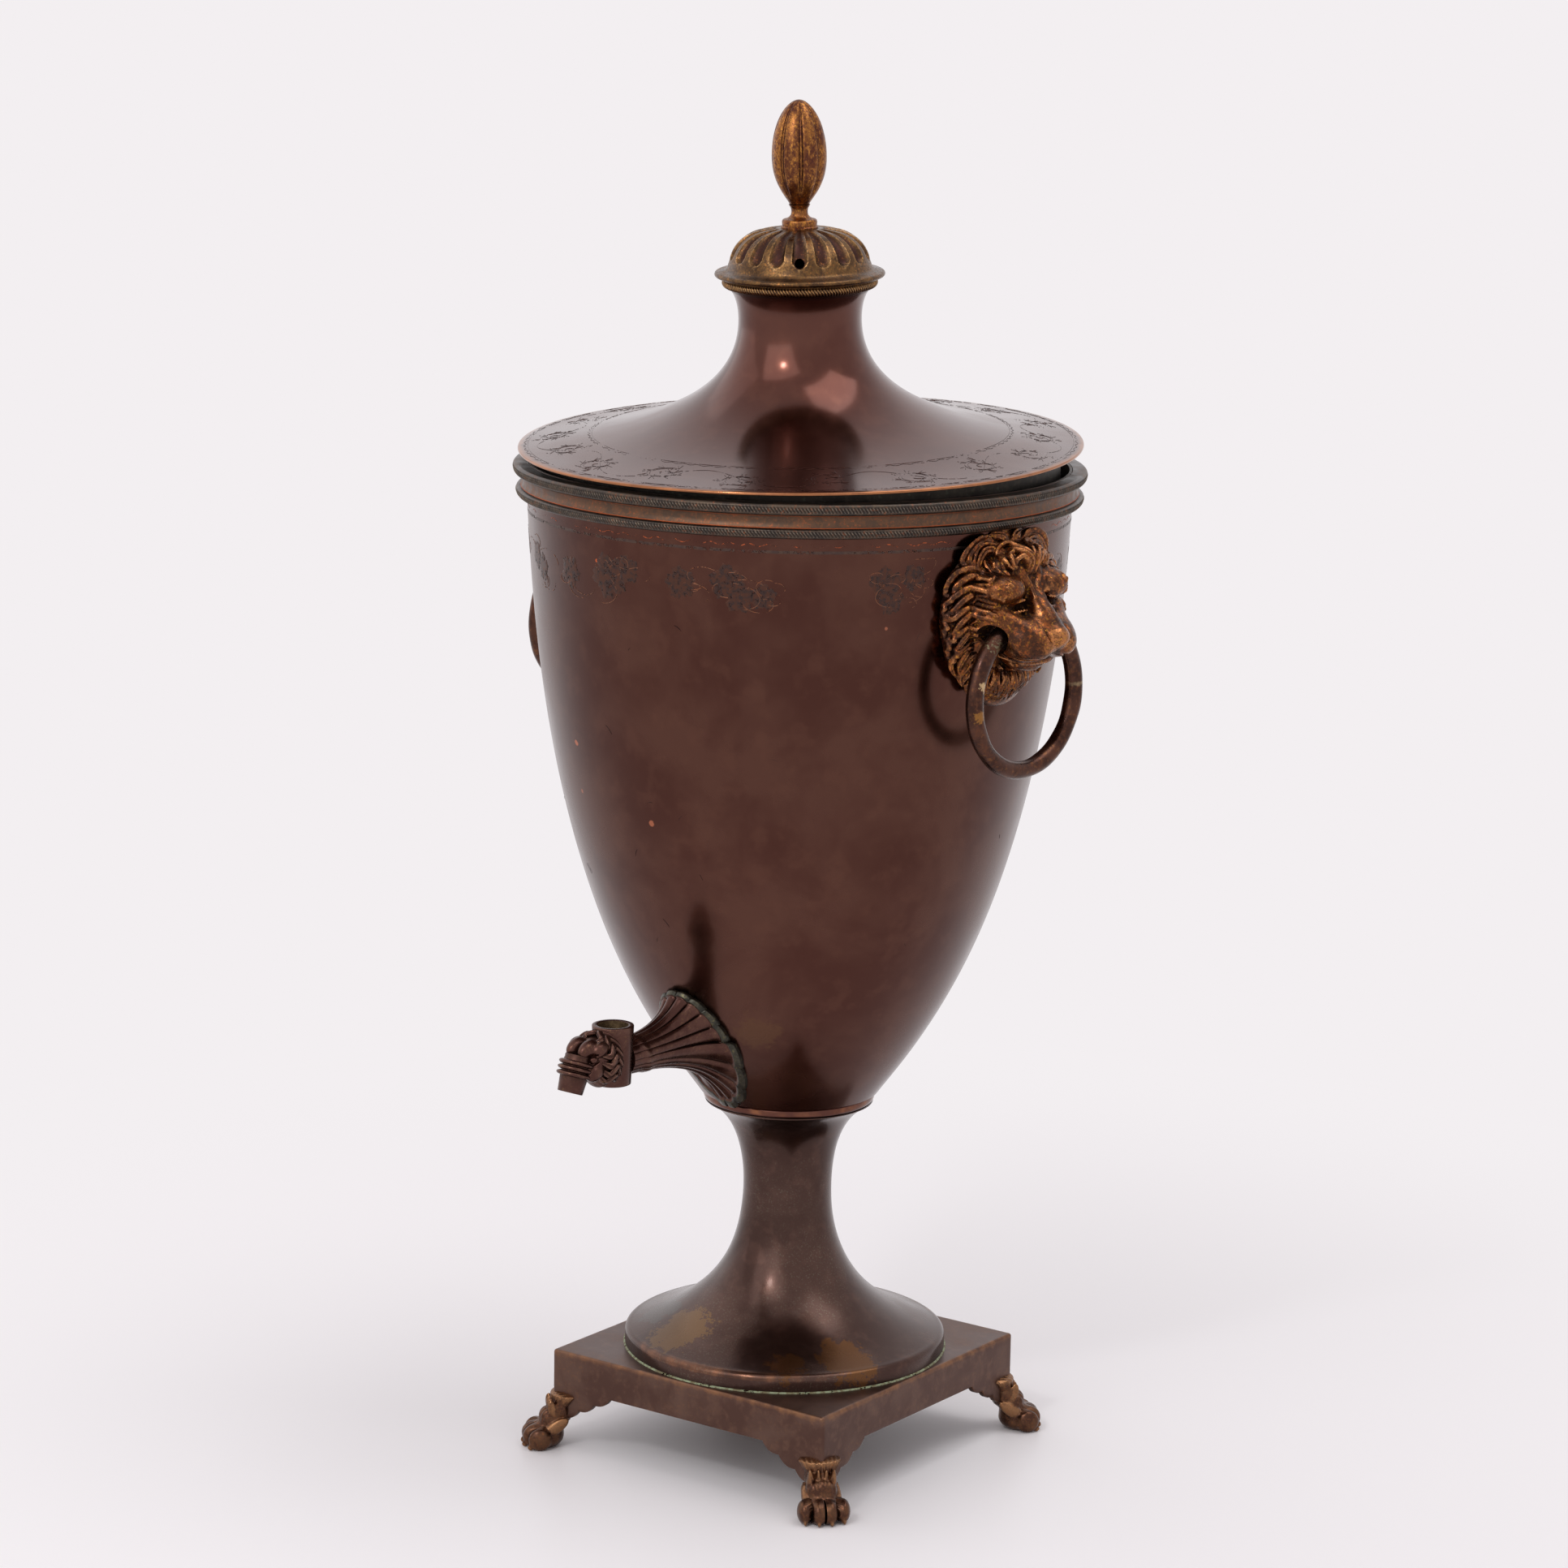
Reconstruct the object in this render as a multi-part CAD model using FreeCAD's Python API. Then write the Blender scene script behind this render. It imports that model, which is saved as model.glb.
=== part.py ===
import FreeCAD, Part
import math
import os

# A table urn for hot water: a tall copper bowl on a trumpet stem and a square plinth with paw feet.
# Millimetres. The urn's axis is Z, the floor is z = 0, the tap faces -Y and the masks face +X and -X.

# Plinth and feet
plinth_side = 133.8          # outer width of the square tray
plinth_top = 40.2            # height of the tray's top face
plinth_skirt = 15.5          # height of the tray's side
plinth_wall = 2.5            # thickness of the casting
plinth_turn = 7.4            # degrees that the plinth is turned on the tie rod, against the bowl
bracket_length = 28.9        # run of a corner bracket along each side
bracket_drop = 12.4          # how far a bracket hangs below the skirt
bracket_lobes = 3            # scallops on a bracket's edge
lobe_middle = (0.32, 0.78)   # a scallop's middle point, as shares of its run and its fall
boss_radius = 4.5            # boss for a foot's screw
boss_height = 4.0
boss_inset = 17.1            # from the skirt's inner corner to a screw, along the diagonal
lug_thickness = 3.0
screw_radius = 1.5
screw_head_radius = 3.0
screw_head_height = 2.0
screw_bite = 2.6             # how deep the screw goes into the boss
screw_room = 0.3             # air above the screw's end
paw_out = 13.3               # how far the toes stand out past the plinth's corner
paw_width = 20.4
paw_height = 11.0
pad_half_length = 8.8
pad_back = 9.4               # the pad's middle behind the toes' tips
pad_shares = (0.42, 0.46, 0.62)     # level, half width and half height, as shares of the paw's
toe_count = 4
toe_half_length = 5.2
toe_shares = (0.36, 0.125, 0.47)    # level, half width and half height, as shares of the paw's
toe_pitch = 0.235            # from toe to toe, as a share of the paw's width
toe_sweep = 0.28             # how far a toe lies back for each millimetre to the side
heel_inset = 3.0             # the heel inside the plinth's corner
ankle_radius = 5.0
ankle_rings = ((2.5, 0.55, 0.35), (-0.5, 1.15, 0.2))    # ahead of the heel, level as a share, tilt
cuff_radius = 8.0
cuff_gap = 2.7               # from the cuff's top up to the skirt
cuff_length = 4.5
cuff_taper = 0.8
cuff_back = (3.0, 4.0)       # the cuff's foot and top behind the heel
post_width = 9.0
post_depth = 7.0
post_inset = 4.5             # from the skirt's inner corner to the post
post_root = 3.0              # how deep the post goes into the cuff
lug_root = 0.5               # how much farther in than the post's face the lug ends

# Pedestal stem
foot_disc_radius = 64.8
foot_disc_edge = 5.0         # upright edge of the round foot
foot_disc_round = 2.4
stem_waist_radius = 17.75
stem_waist_rise = 66.8       # from the plinth up to the narrowest place
stem_height = 103.1
stem_top_inset = 0.6         # the stem's top edge inside the collar's
stem_lip = 0.5
stem_wall = 1.5
stem_flare_pull = (24.3, 7.8)       # pull of the flare at the foot, inward and up
stem_waist_pull = 35.5       # pull of the flare at the waist, downward
stem_throat_pull = 25.3      # pull of the throat at the waist, upward
stem_lip_pull = (6.0, 2.8)   # pull of the throat at the top, inward and down

# Collar and tie rod
collar_inset = 1.45          # the collar's edge inside the bowl's base
collar_height = 4.0
collar_bulge = 0.6
rod_radius = 4.0
rod_clearance = 0.15
rod_head_radius = 11.0
rod_head_height = 4.0
rod_tail = 2.2               # rod left showing below the nut
washer_radius = 10.0
washer_thickness = 1.5
nut_across_flats = 13.0
nut_height = 6.5
thread_clearance = 0.05

# Bowl
bowl_radius = 106.4          # at the straight upper part
bowl_base_radius = 35.85
bowl_height = 252.6
bowl_straight = 17.9         # height of the straight upper part
bowl_wall = 1.2
bowl_belly_pull = (7.54, 158.7)     # pull of the profile's upper end, inward and down
bowl_base_pull = (17.38, 23.93)     # pull of its lower end, outward and up

# Rim moulding, soldered round the top of the bowl
solder_gap = 0.05
upper_bead_height = 4.6
upper_bead_out = 5.9         # how far the bead's crest stands out from the bowl
upper_bead_land = 4.3        # width of the rim's flat top
cove_height = 4.7
cove_out = 2.0
cove_edge_out = 2.8
lower_bead_height = 4.2
lower_bead_out = 4.7
lower_bead_foot = 1.0

# Seat ledge for the lid
ledge_drop = 16.8            # from the rim down to the ledge's top
ledge_thickness = 2.0
ledge_width = 6.7
rest_gap = 0.3               # air left between pieces that lie loosely on each other

# Lid
lid_overhang = 3.6           # the brim's edge beyond the bowl
lid_wall = 1.2
lid_brim_bulge = 0.35        # bulge of the brim's edge, as a share of the wall
lid_neck_radius = 24.0
lid_neck_above_brim = 48.4   # from the brim up to the narrowest place
lid_lip_radius = 27.5
lid_lip_above_neck = 12.2
lid_brim_pull = (69.2, 7.4)  # pull of the flare at the brim, inward and up
lid_neck_pull = 20.8         # pull of the flare at the neck, downward
lid_throat_pull = 6.0        # pull of the lip's curve at the neck, upward
lid_lip_pull = (2.0, 2.3)    # pull of the lip's curve at the lip, inward and down
lid_lean = 2.8               # degrees that the loose lid leans over on its seat
lid_lean_turn = 15.0         # degrees from the tap towards the right mask, where the lid is lowest
bezel_gap = 3.7              # from the bezel to the inside of the bowl
bezel_depth = 20.0
bezel_wall = 1.2

# Cap, bead and finial
bead_height = 3.2
bead_out = 2.8               # the bead's crest beyond the lid's lip
bead_crest = 0.55            # level of the crest, as a share of the bead's height
bead_foot_out = 0.8
bead_top_inset = 0.7
cap_flange_out = 2.8         # the flange's edge beyond the bead's crest
cap_flange_height = 3.6
cap_flange_foot_out = 0.6    # the flange's foot beyond the bead's crest
cap_flange_crest = 0.55      # level of the flange's edge, as a share of its height
cap_flange_land = 2.6        # width of the flange's round top
cap_shoulder_inset = 5.9     # the shoulder inside the flange's edge
cap_shoulder_rise = 3.8      # from the flange up to the shoulder
cap_step = (0.8, 1.8)        # the step under the shoulder, outward and above the flange
cap_haunch = (2.8, 6.6)      # the dome's haunch, inward and up from the shoulder
cap_height = 19.8
cap_crown_inset = 10.8       # the crown's edge inside the shoulder
cap_crown_slope = 1.2        # fall of the crown from the knop to its edge
cap_wall = 1.8
cap_haunch_wall = 0.75       # the wall's share taken inward and down at the haunch
cap_crown_wall = 0.4         # the wall's share taken inward at the crown's edge
cap_skirt_inset = 2.0        # the skirt inside the lid's lip
cap_skirt_height = 1.5
flute_count = 18
flute_radius = 1.9
flute_depth = 1.0
flute_margins = (0.06, 0.16)        # radians of the dome left plain at its foot and at its crown
vent_radius = 1.9
vent_drop = 0.3              # the vent's middle below its own radius above the shoulder
vent_azimuth = 43.0          # degrees from the tap towards the right mask
knop_radius = 7.2
knop_height = 9.4            # with its neck
knop_drum = 3.4              # height of the knop's drum
knop_taper = 0.4
knop_seat = 0.5              # flat ring round the knop on the cap's crown
knop_cove = (0.3, 1.0, 3.2)  # heights of the cove's two pulls and its end above the drum
knop_neck_radius = 3.9
bud_radius = 10.8
bud_height = 39.9
bud_belly = 18.0             # height of the widest place above the bud's foot
bud_foot_pull = (1.0, 3.0)   # pull of the bud's profile at its foot, outward and up
bud_belly_pull = 10.6        # pull of the profile at the belly, downward
bud_top_pull = 0.72          # pull of the profile at the belly, upward, as a share of the way to the tip
bud_tip = 3.2                # pull of the profile at the tip, outward
bud_lobes = 8
bud_groove = 0.7
bud_groove_bow = 0.52        # radius of a groove's bow, as a share of the bud's height
bud_groove_rise = 1.5        # the bow's middle above the belly
bud_groove_ends = (4.5, 0.8) # the groove's foot above the bud's, and its length as a share of the height
bud_core = 2.5               # how far from the axis a groove stays
stud_radius = 2.4
stud_tail = 2.0
finial_nut_flats = 9.0
finial_nut_height = 4.0

# Lion masks. A mass has a place, which is out from the bowl's wall and up from the ring's pivot line,
# and three half sizes, which are out, across and up.
mask_height = 66.0
mask_width = 62.0
mask_drop = 45.9             # from the bowl's rim down to the middle of the mane
mask_relief = 7.0            # how far the mane stands out from the bowl
mane_sink = 2.5              # the mane's middle behind the wall
mane_rise = 2.0              # the mane's middle above the mask's
face_place = (1.5, 8.5)
face_half = (13.0, 19.0, 18.0)
beard_rise = 11.0            # the beard's middle above the mask's lowest point
beard_half = (13.0, 11.0)    # across and up
forelock_place = (2.0, 10.0) # out from the wall, and down from the mask's top
forelock_half = (8.0, 17.0, 8.5)
brow_place = (10.0, 16.5)
brow_half = (6.5, 8.5, 5.5)
muzzle_out = 33.0            # nose tip from the bowl
muzzle_half_width = 17.3
muzzle_half = (17.0, 11.8)   # out and up
muzzle_back = 1.0            # the muzzle's middle behind the ring's plane
nose_rise = 1.5
nose_half = (9.5, 8.5, 6.5)
bridge_place = (15.0, 8.5)   # back from the nose tip, and up from the pivot line
bridge_half = (13.0, 6.0, 6.0)
bridge_tilt = 42.0
chin_place = (4.0, 9.0)      # back from the ring's plane, and down from the pivot line
chin_half = (10.0, 10.5, 6.8)
hole_gap = 1.88              # air round the ring's tube in a cheek hole
hole_flare = 7.0             # how much wider the hole is outside the cheek, and how far it runs on
hole_lip = 0.2               # where the widening starts, beyond the cheek
mask_stud_radius = 1.6
mask_stud_gap = 0.2
mask_stud_spacing = 45.0
mask_stud_drop = 3.0         # the studs' middle below the mask's
mask_stud_root = 2.0         # how far a stud goes out into the mask beyond the bowl's wall
mask_nut_flats = 6.0
mask_nut_height = 3.0
mask_stud_tail = 1.0

# Ring handles
ring_radius = 28.8           # middle of the tube
ring_tube = 3.52             # tube radius
ring_stand_off = 11.6        # from the bowl's straight wall to the ring's plane
pivot_drop = 5.9             # from the mask's middle down to the pivot line
cheek_depth = 1.0            # where the tube crosses the pivot line, inside the cheek
ring_air = 0.5

# Tap
tap_turn = 4.0               # degrees that the tap stands off the middle between the masks
tap_rise = 32.5              # height of the pipe's axis above the bowl's base
pipe_reach = 49.639          # from the bowl's wall to the barrel's axis
barrel_rise = 2.4            # the barrel's middle above the pipe's axis
barrel_height = 23.3
barrel_top_radius = 8.1
barrel_foot_radius = 7.2
barrel_bore = 6.0
water_way = 2.2
pipe_radius = 7.2
pipe_ends = (3.0, 15.0)      # where the round pipe begins and ends, back from the barrel's axis
flange_half_width = 15.8
flange_rise = 19.8           # the shell's top above the pipe's axis
flange_fall = 33.3           # its foot below the pipe's axis
flange_edge = 1.2            # thickness of the shell's edge
flange_root = 9.0            # how deep the shell's last section goes into the wall, before it is cut
flange_foot_room = 20.0      # how far beyond the collar the shell's foot is cut level
# Sections of the shell: its top and its foot out from the wall at the shell's top, and the shares of
# the shell's rise, fall and half width
flange_sections = ((12.0, 7.0, 0.38, 0.32, 0.57), (5.5, -9.0, 0.51, 0.53, 0.77),
                   (2.2, -22.0, 0.72, 0.80, 0.95))
nozzle_radius = 4.9
nozzle_root = 1.0                   # how far the nozzle's cone runs on into the ribs above it
nozzle_flare = 0.5
nozzle_bore = 3.4
nozzle_lean = 20.0           # degrees from upright, outward
nozzle_tip_reach = 24.4      # from the barrel's axis out to the nozzle's tip
nozzle_tip_drop = 8.1        # from the pipe's axis down to the nozzle's tip
nozzle_length = 6.0
muzzle_rib_radius = 6.7
muzzle_rib_length = 6.5
muzzle_rib_depth = 0.9
muzzle_ribs = 3
head_radius = 8.6
head_length = 21.0
head_rise = 3.4              # the head's middle above the pipe's axis
head_root = 4.0              # how far the head goes back into the barrel, before it is cut
ruff_half = (5.5, 9.6)       # half length and half height of the ruff behind the head
ruff_rise = 2.5
ruff_root = 1.0

# Heater
sleeve_radius = 24.0
sleeve_wall = 1.2
sleeve_drop = 24.9           # from the bowl's rim down to the sleeve's top
sleeve_floor = 7.5           # dry bottom of the sleeve above the bowl's bottom
sleeve_flange = 5.0          # width of the flange on the bowl's bottom
sleeve_bead = 1.3
billet_gap = 3.8             # air round the billet
billet_length = 142.0
billet_chamfer = 2.0
eye_radius = 7.0
eye_wire = 2.0
eye_stalk = 3.0
eye_stalk_out = 0.6          # the stalk's radius beyond the wire's
eye_stalk_root = 0.2
cover_overhang = 2.5
cover_thickness = 1.5
plug_depth = 6.0
plug_clearance = 0.5
plug_wall = 1.2
cover_knob_radius = 5.0
cover_knob_height = 13.0
cover_knob_waist = 0.6       # radius of the knob's stalk, as a share of the knob's
cover_ball_drop = 1.8        # where the ball begins below its top, in radii

# Heights and places that follow from the sizes above
plinth_half = plinth_side / 2
plinth_corner = plinth_half * math.sqrt(2)
inner_corner = (plinth_half - plinth_wall) * math.sqrt(2)
boss_reach = inner_corner - boss_inset
skirt_foot = plinth_top - plinth_skirt
cuff_top = skirt_foot - cuff_gap
plate_foot = plinth_top - plinth_wall
boss_foot = plate_foot - boss_height
lug_foot = boss_foot - lug_thickness
washer_foot = plate_foot - washer_thickness
nut_foot = washer_foot - nut_height
rod_foot = nut_foot - rod_tail
stem_waist = plinth_top + stem_waist_rise
stem_top = plinth_top + stem_height
collar_radius = bowl_base_radius - collar_inset
stem_top_radius = collar_radius - stem_top_inset
collar_top = stem_top + collar_height
bowl_rim = collar_top + bowl_height
bowl_shoulder = bowl_rim - bowl_straight
bowl_floor = collar_top + bowl_wall
rod_hole = rod_radius + rod_clearance
bowl_inner = bowl_radius - bowl_wall
moulding_inner = bowl_radius + solder_gap
upper_bead_foot = bowl_rim - upper_bead_height
cove_foot = upper_bead_foot - cove_height
lower_bead_z = cove_foot - lower_bead_height
ledge_top = bowl_rim - ledge_drop
lid_radius = bowl_radius + lid_overhang
bezel_radius = bowl_inner - bezel_gap
lean = math.radians(lid_lean)
brim_height = (ledge_top + rest_gap + bezel_depth * math.cos(lean)
               + bezel_radius * math.sin(lean))
lid_neck = brim_height + lid_neck_above_brim
lip_top = lid_neck + lid_lip_above_neck
bead_radius = lid_lip_radius + bead_out
cap_radius = bead_radius + cap_flange_out
cap_shoulder_radius = cap_radius - cap_shoulder_inset
cap_crown_radius = cap_shoulder_radius - cap_crown_inset
cap_foot = lip_top + bead_height
cap_shoulder = cap_foot + cap_flange_height + cap_shoulder_rise
crown_top = cap_foot + cap_height
bud_foot = crown_top + knop_height
bud_top = bud_foot + bud_height
mask_centre = bowl_rim - mask_drop
ring_pivot_height = mask_centre - pivot_drop
ring_out = bowl_radius + ring_stand_off
cheek_span = muzzle_half_width - cheek_depth
hole_radius = ring_tube + hole_gap
ring_drop = math.sqrt(ring_radius ** 2 - cheek_span ** 2)
ring_centre = ring_pivot_height - ring_drop
tap_height = collar_top + tap_rise
flange_top = tap_height + flange_rise
barrel_foot = tap_height + barrel_rise - barrel_height / 2
sleeve_top = bowl_rim - sleeve_drop
sleeve_inner = sleeve_radius - sleeve_wall
sleeve_bottom = bowl_floor + sleeve_floor
billet_radius = sleeve_inner - billet_gap
billet_foot = sleeve_bottom + rest_gap
billet_top = billet_foot + billet_length
eye_centre = billet_top + eye_stalk + eye_radius
cover_foot = sleeve_top + rest_gap


def vec(x, y, z):
    return FreeCAD.Vector(x, y, z)


def profile_face(start, *steps):
    """A face in the XZ plane. A step of one point is a straight run, a step of two points is an arc
    through the first of them, and a step of three is a cubic curve with two pull points."""
    here = vec(start[0], 0, start[1])
    first = here
    edges = []
    for step in steps:
        points = [vec(r, 0, z) for r, z in step]
        if len(points) == 1:
            edges.append(Part.LineSegment(here, points[0]).toShape())
        elif len(points) == 2:
            edges.append(Part.Arc(here, points[0], points[1]).toShape())
        else:
            curve = Part.BezierCurve()
            curve.setPoles([here] + points)
            edges.append(curve.toShape())
        here = points[-1]
    if here.distanceToPoint(first) > 1e-6:
        edges.append(Part.LineSegment(here, first).toShape())
    return Part.Face(Part.Wire(edges))


def turned(start, *steps):
    """A solid of revolution about the urn's axis."""
    return profile_face(start, *steps).revolve(vec(0, 0, 0), vec(0, 0, 1), 360)


def leg_normal(a, b):
    """The unit normal on the left of the leg from a to b."""
    dx, dz = b[0] - a[0], b[1] - a[1]
    length = math.hypot(dx, dz)
    return -dz / length, dx / length


def offset_curve(poles, distance):
    """The cubic's poles moved sideways by a distance, so that a wall keeps its thickness."""
    normals = [leg_normal(a, b) for a, b in zip(poles, poles[1:])]
    moved = [(poles[0][0] + normals[0][0] * distance, poles[0][1] + normals[0][1] * distance)]
    for pole, m, n in zip(poles[1:-1], normals, normals[1:]):
        share = distance / (1 + m[0] * n[0] + m[1] * n[1])
        moved.append((pole[0] + (m[0] + n[0]) * share, pole[1] + (m[1] + n[1]) * share))
    moved.append((poles[-1][0] + normals[-1][0] * distance, poles[-1][1] + normals[-1][1] * distance))
    return moved


def cubic(poles, t):
    """The point of a cubic curve at t."""
    weights = ((1 - t) ** 3, 3 * t * (1 - t) ** 2, 3 * t * t * (1 - t), t ** 3)
    return (sum(w * p[0] for w, p in zip(weights, poles)), sum(w * p[1] for w, p in zip(weights, poles)))


def on_curve(poles, wanted, axis):
    """The curve's point whose radius (axis 0) or height (axis 1) is the wanted one."""
    low, high = 0.0, 1.0
    rising = poles[-1][axis] > poles[0][axis]
    for _ in range(50):
        middle = (low + high) / 2
        if (cubic(poles, middle)[axis] < wanted) == rising:
            low = middle
        else:
            high = middle
    return cubic(poles, (low + high) / 2)


def cylinder(radius, height, foot, direction=(0, 0, 1)):
    return Part.makeCylinder(radius, height, vec(*foot), vec(*direction))


def hexagon(across_flats, height, foot, direction=(0, 0, 1)):
    """A six-sided prism standing on foot along direction."""
    radius = across_flats / math.sqrt(3)
    corners = [vec(radius * math.cos(math.radians(60 * k)), radius * math.sin(math.radians(60 * k)), 0)
               for k in range(7)]
    prism = Part.Face(Part.makePolygon(corners)).extrude(vec(0, 0, height))
    prism.Placement = FreeCAD.Placement(vec(*foot), FreeCAD.Rotation(vec(0, 0, 1), vec(*direction)))
    return prism


def ellipsoid(centre, radii, tilt=0.0):
    """An ellipsoid, tilted in the XZ plane by some degrees about its own centre."""
    stretch = FreeCAD.Matrix()
    stretch.A11, stretch.A22, stretch.A33 = radii
    shape = Part.makeSphere(1.0).transformGeometry(stretch)
    shape.rotate(vec(0, 0, 0), vec(0, 1, 0), tilt)
    shape.translate(vec(*centre))
    return shape


def bowl_outline():
    """The bowl's outer curve from the shoulder down to the base."""
    return [(bowl_radius, bowl_shoulder),
            (bowl_radius - bowl_belly_pull[0], bowl_shoulder - bowl_belly_pull[1]),
            (bowl_base_radius + bowl_base_pull[0], collar_top + bowl_base_pull[1]),
            (bowl_base_radius, collar_top)]


def bowl_body(out):
    """The bowl as a full solid, grown sideways by a clearance."""
    curve = offset_curve(bowl_outline(), out)
    top = bowl_rim + mask_height
    return turned((0, curve[-1][1]), [curve[-1]], [curve[2], curve[1], curve[0]],
                  [(curve[0][0], top)], [(0, top)])


def bowl_radius_at(height, out):
    """The bowl wall's radius at a height, offset by a distance, negative for the inside."""
    if height >= bowl_shoulder:
        return bowl_radius + out
    return on_curve(offset_curve(bowl_outline(), out), height, 1)[0]


# Places of the tap, which stands out from the wall of the bowl
barrel_out = bowl_radius_at(tap_height, 0) + pipe_reach
nozzle_tip_out = barrel_out + nozzle_tip_reach
nozzle_tip_height = tap_height - nozzle_tip_drop


def make_bowl():
    outer = bowl_outline()
    inner = offset_curve(outer, -bowl_wall)
    base = on_curve(inner, bowl_floor, 1)
    cut_inner = split_below(inner, bowl_floor)
    shell = turned((rod_hole, collar_top), [outer[3]], [outer[2], outer[1], outer[0]],
                   [(bowl_radius, bowl_rim)], [(bowl_inner, bowl_rim)], [inner[0]],
                   [cut_inner[1], cut_inner[2], base], [(rod_hole, bowl_floor)])
    shell = shell.cut(turn_tap(cylinder(water_way, barrel_out, (0, -barrel_out, tap_height), (0, 1, 0))))
    for side in (1, -1):
        for z in mask_stud_heights():
            shell = shell.cut(cylinder(mask_stud_radius + mask_stud_gap, ring_out, (0, 0, z), (side, 0, 0)))
    return shell


def split_below(poles, height):
    """The poles of the part of a cubic that lies above a height, from its first pole down."""
    low, high = 0.0, 1.0
    for _ in range(50):
        middle = (low + high) / 2
        if cubic(poles, middle)[1] > height:
            low = middle
        else:
            high = middle
    t = low
    row = [tuple(p) for p in poles]
    kept = [row[0]]
    while len(row) > 1:
        row = [(a[0] + (b[0] - a[0]) * t, a[1] + (b[1] - a[1]) * t) for a, b in zip(row, row[1:])]
        kept.append(row[0])
    return kept


def bracket():
    """One hanging corner bracket on the side that faces -Y, at its right end, with a scalloped edge."""
    x = plinth_half - bracket_length
    z = skirt_foot
    run = (bracket_length - ankle_radius) / bracket_lobes
    fall = bracket_drop / bracket_lobes
    edges = []
    here = vec(x, 0, z)
    start = here
    for _ in range(bracket_lobes):
        there = vec(here.x + run, 0, here.z - fall)
        middle = vec(here.x + run * lobe_middle[0], 0, here.z - fall * lobe_middle[1])
        edges.append(Part.Arc(here, middle, there).toShape())
        here = there
    corner_low = vec(plinth_half, 0, here.z)
    corner_high = vec(plinth_half, 0, skirt_foot + plinth_wall)
    back_high = vec(x, 0, skirt_foot + plinth_wall)
    for a, b in ((here, corner_low), (corner_low, corner_high), (corner_high, back_high),
                 (back_high, start)):
        edges.append(Part.LineSegment(a, b).toShape())
    plate = Part.Face(Part.Wire(edges)).extrude(vec(0, plinth_wall, 0))
    plate.translate(vec(0, -plinth_half, 0))
    return plate


def four_round(shape):
    """The shape at the four sides or corners of the plinth."""
    copies = []
    for k in range(4):
        copy = shape.copy()
        copy.rotate(vec(0, 0, 0), vec(0, 0, 1), 90 * k)
        copies.append(copy)
    return copies


def turn_plinth(shape):
    shape.rotate(vec(0, 0, 0), vec(0, 0, 1), plinth_turn)
    return shape


def make_plinth():
    tray = Part.makeBox(plinth_side, plinth_side, plinth_skirt, vec(-plinth_half, -plinth_half, skirt_foot))
    inner = plinth_side - 2 * plinth_wall
    hollow = Part.makeBox(inner, inner, plinth_skirt - plinth_wall, vec(-inner / 2, -inner / 2, skirt_foot))
    tray = tray.cut(hollow)
    right = bracket()
    left = right.mirror(vec(0, 0, 0), vec(1, 0, 0))
    boss = cylinder(boss_radius, boss_height, (boss_reach, 0, boss_foot))
    boss.rotate(vec(0, 0, 0), vec(0, 0, 1), -45)
    tray = tray.fuse(four_round(right) + four_round(left) + four_round(boss)).removeSplitter()
    tray = tray.cut(cylinder(rod_hole, plinth_top, (0, 0, 0)))
    hole = cylinder(screw_radius + thread_clearance, screw_bite + screw_room, (boss_reach, 0, boss_foot))
    hole.rotate(vec(0, 0, 0), vec(0, 0, 1), -45)
    for h in four_round(hole):
        tray = tray.cut(h)
    return turn_plinth(tray)


def make_paw(plinth, quarter):
    """A paw foot along the plinth's diagonal: lug, post, cuff, ankle, pad and toes."""
    reach = plinth_corner + paw_out
    level, across_share, up_share = pad_shares
    pad = ellipsoid((reach - pad_back, 0, paw_height * level),
                    (pad_half_length, paw_width * across_share, paw_height * up_share))
    pieces = make_toes(reach)
    heel = plinth_corner - heel_inset
    rings = [Part.Circle(vec(heel + ahead, 0, paw_height * share), vec(tilt, 0, 1), ankle_radius)
             for ahead, share, tilt in ankle_rings]
    rings.append(Part.Circle(vec(heel - cuff_back[0], 0, cuff_top - cuff_length), vec(0, 0, 1), cuff_radius))
    rings.append(Part.Circle(vec(heel - cuff_back[1], 0, cuff_top), vec(0, 0, 1), cuff_radius - cuff_taper))
    pieces.append(Part.makeLoft([Part.Wire(ring.toShape()) for ring in rings], True))
    post_out = inner_corner - post_inset
    pieces.append(Part.makeBox(post_depth, post_width, boss_foot - cuff_top + post_root,
                               vec(post_out - post_depth, -post_width / 2, cuff_top - post_root)))
    pieces.append(Part.makeBox(post_out - lug_root - boss_reach, 2 * boss_radius, lug_thickness,
                               vec(boss_reach, -boss_radius, lug_foot)))
    pieces.append(cylinder(boss_radius, lug_thickness, (boss_reach, 0, lug_foot)))
    paw = pad.fuse(pieces)
    paw = paw.cut(Part.makeBox(2 * reach, 4 * paw_width, reach, vec(0, -2 * paw_width, -reach)))
    paw = paw.cut(cylinder(screw_radius + rod_clearance, lug_thickness, (boss_reach, 0, lug_foot)))
    paw.rotate(vec(0, 0, 0), vec(0, 0, 1), -45 + 90 * quarter)
    return turn_plinth(paw).cut(plinth)


def make_toes(reach):
    """The toes side by side, the outer ones a little behind."""
    level, across_share, up_share = toe_shares
    toes = []
    for k in range(toe_count):
        across = (k - (toe_count - 1) / 2) * paw_width * toe_pitch
        back = toe_half_length + abs(across) * toe_sweep
        toes.append(ellipsoid((reach - back, across, paw_height * level),
                              (toe_half_length, paw_width * across_share, paw_height * up_share)))
    return toes


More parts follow.
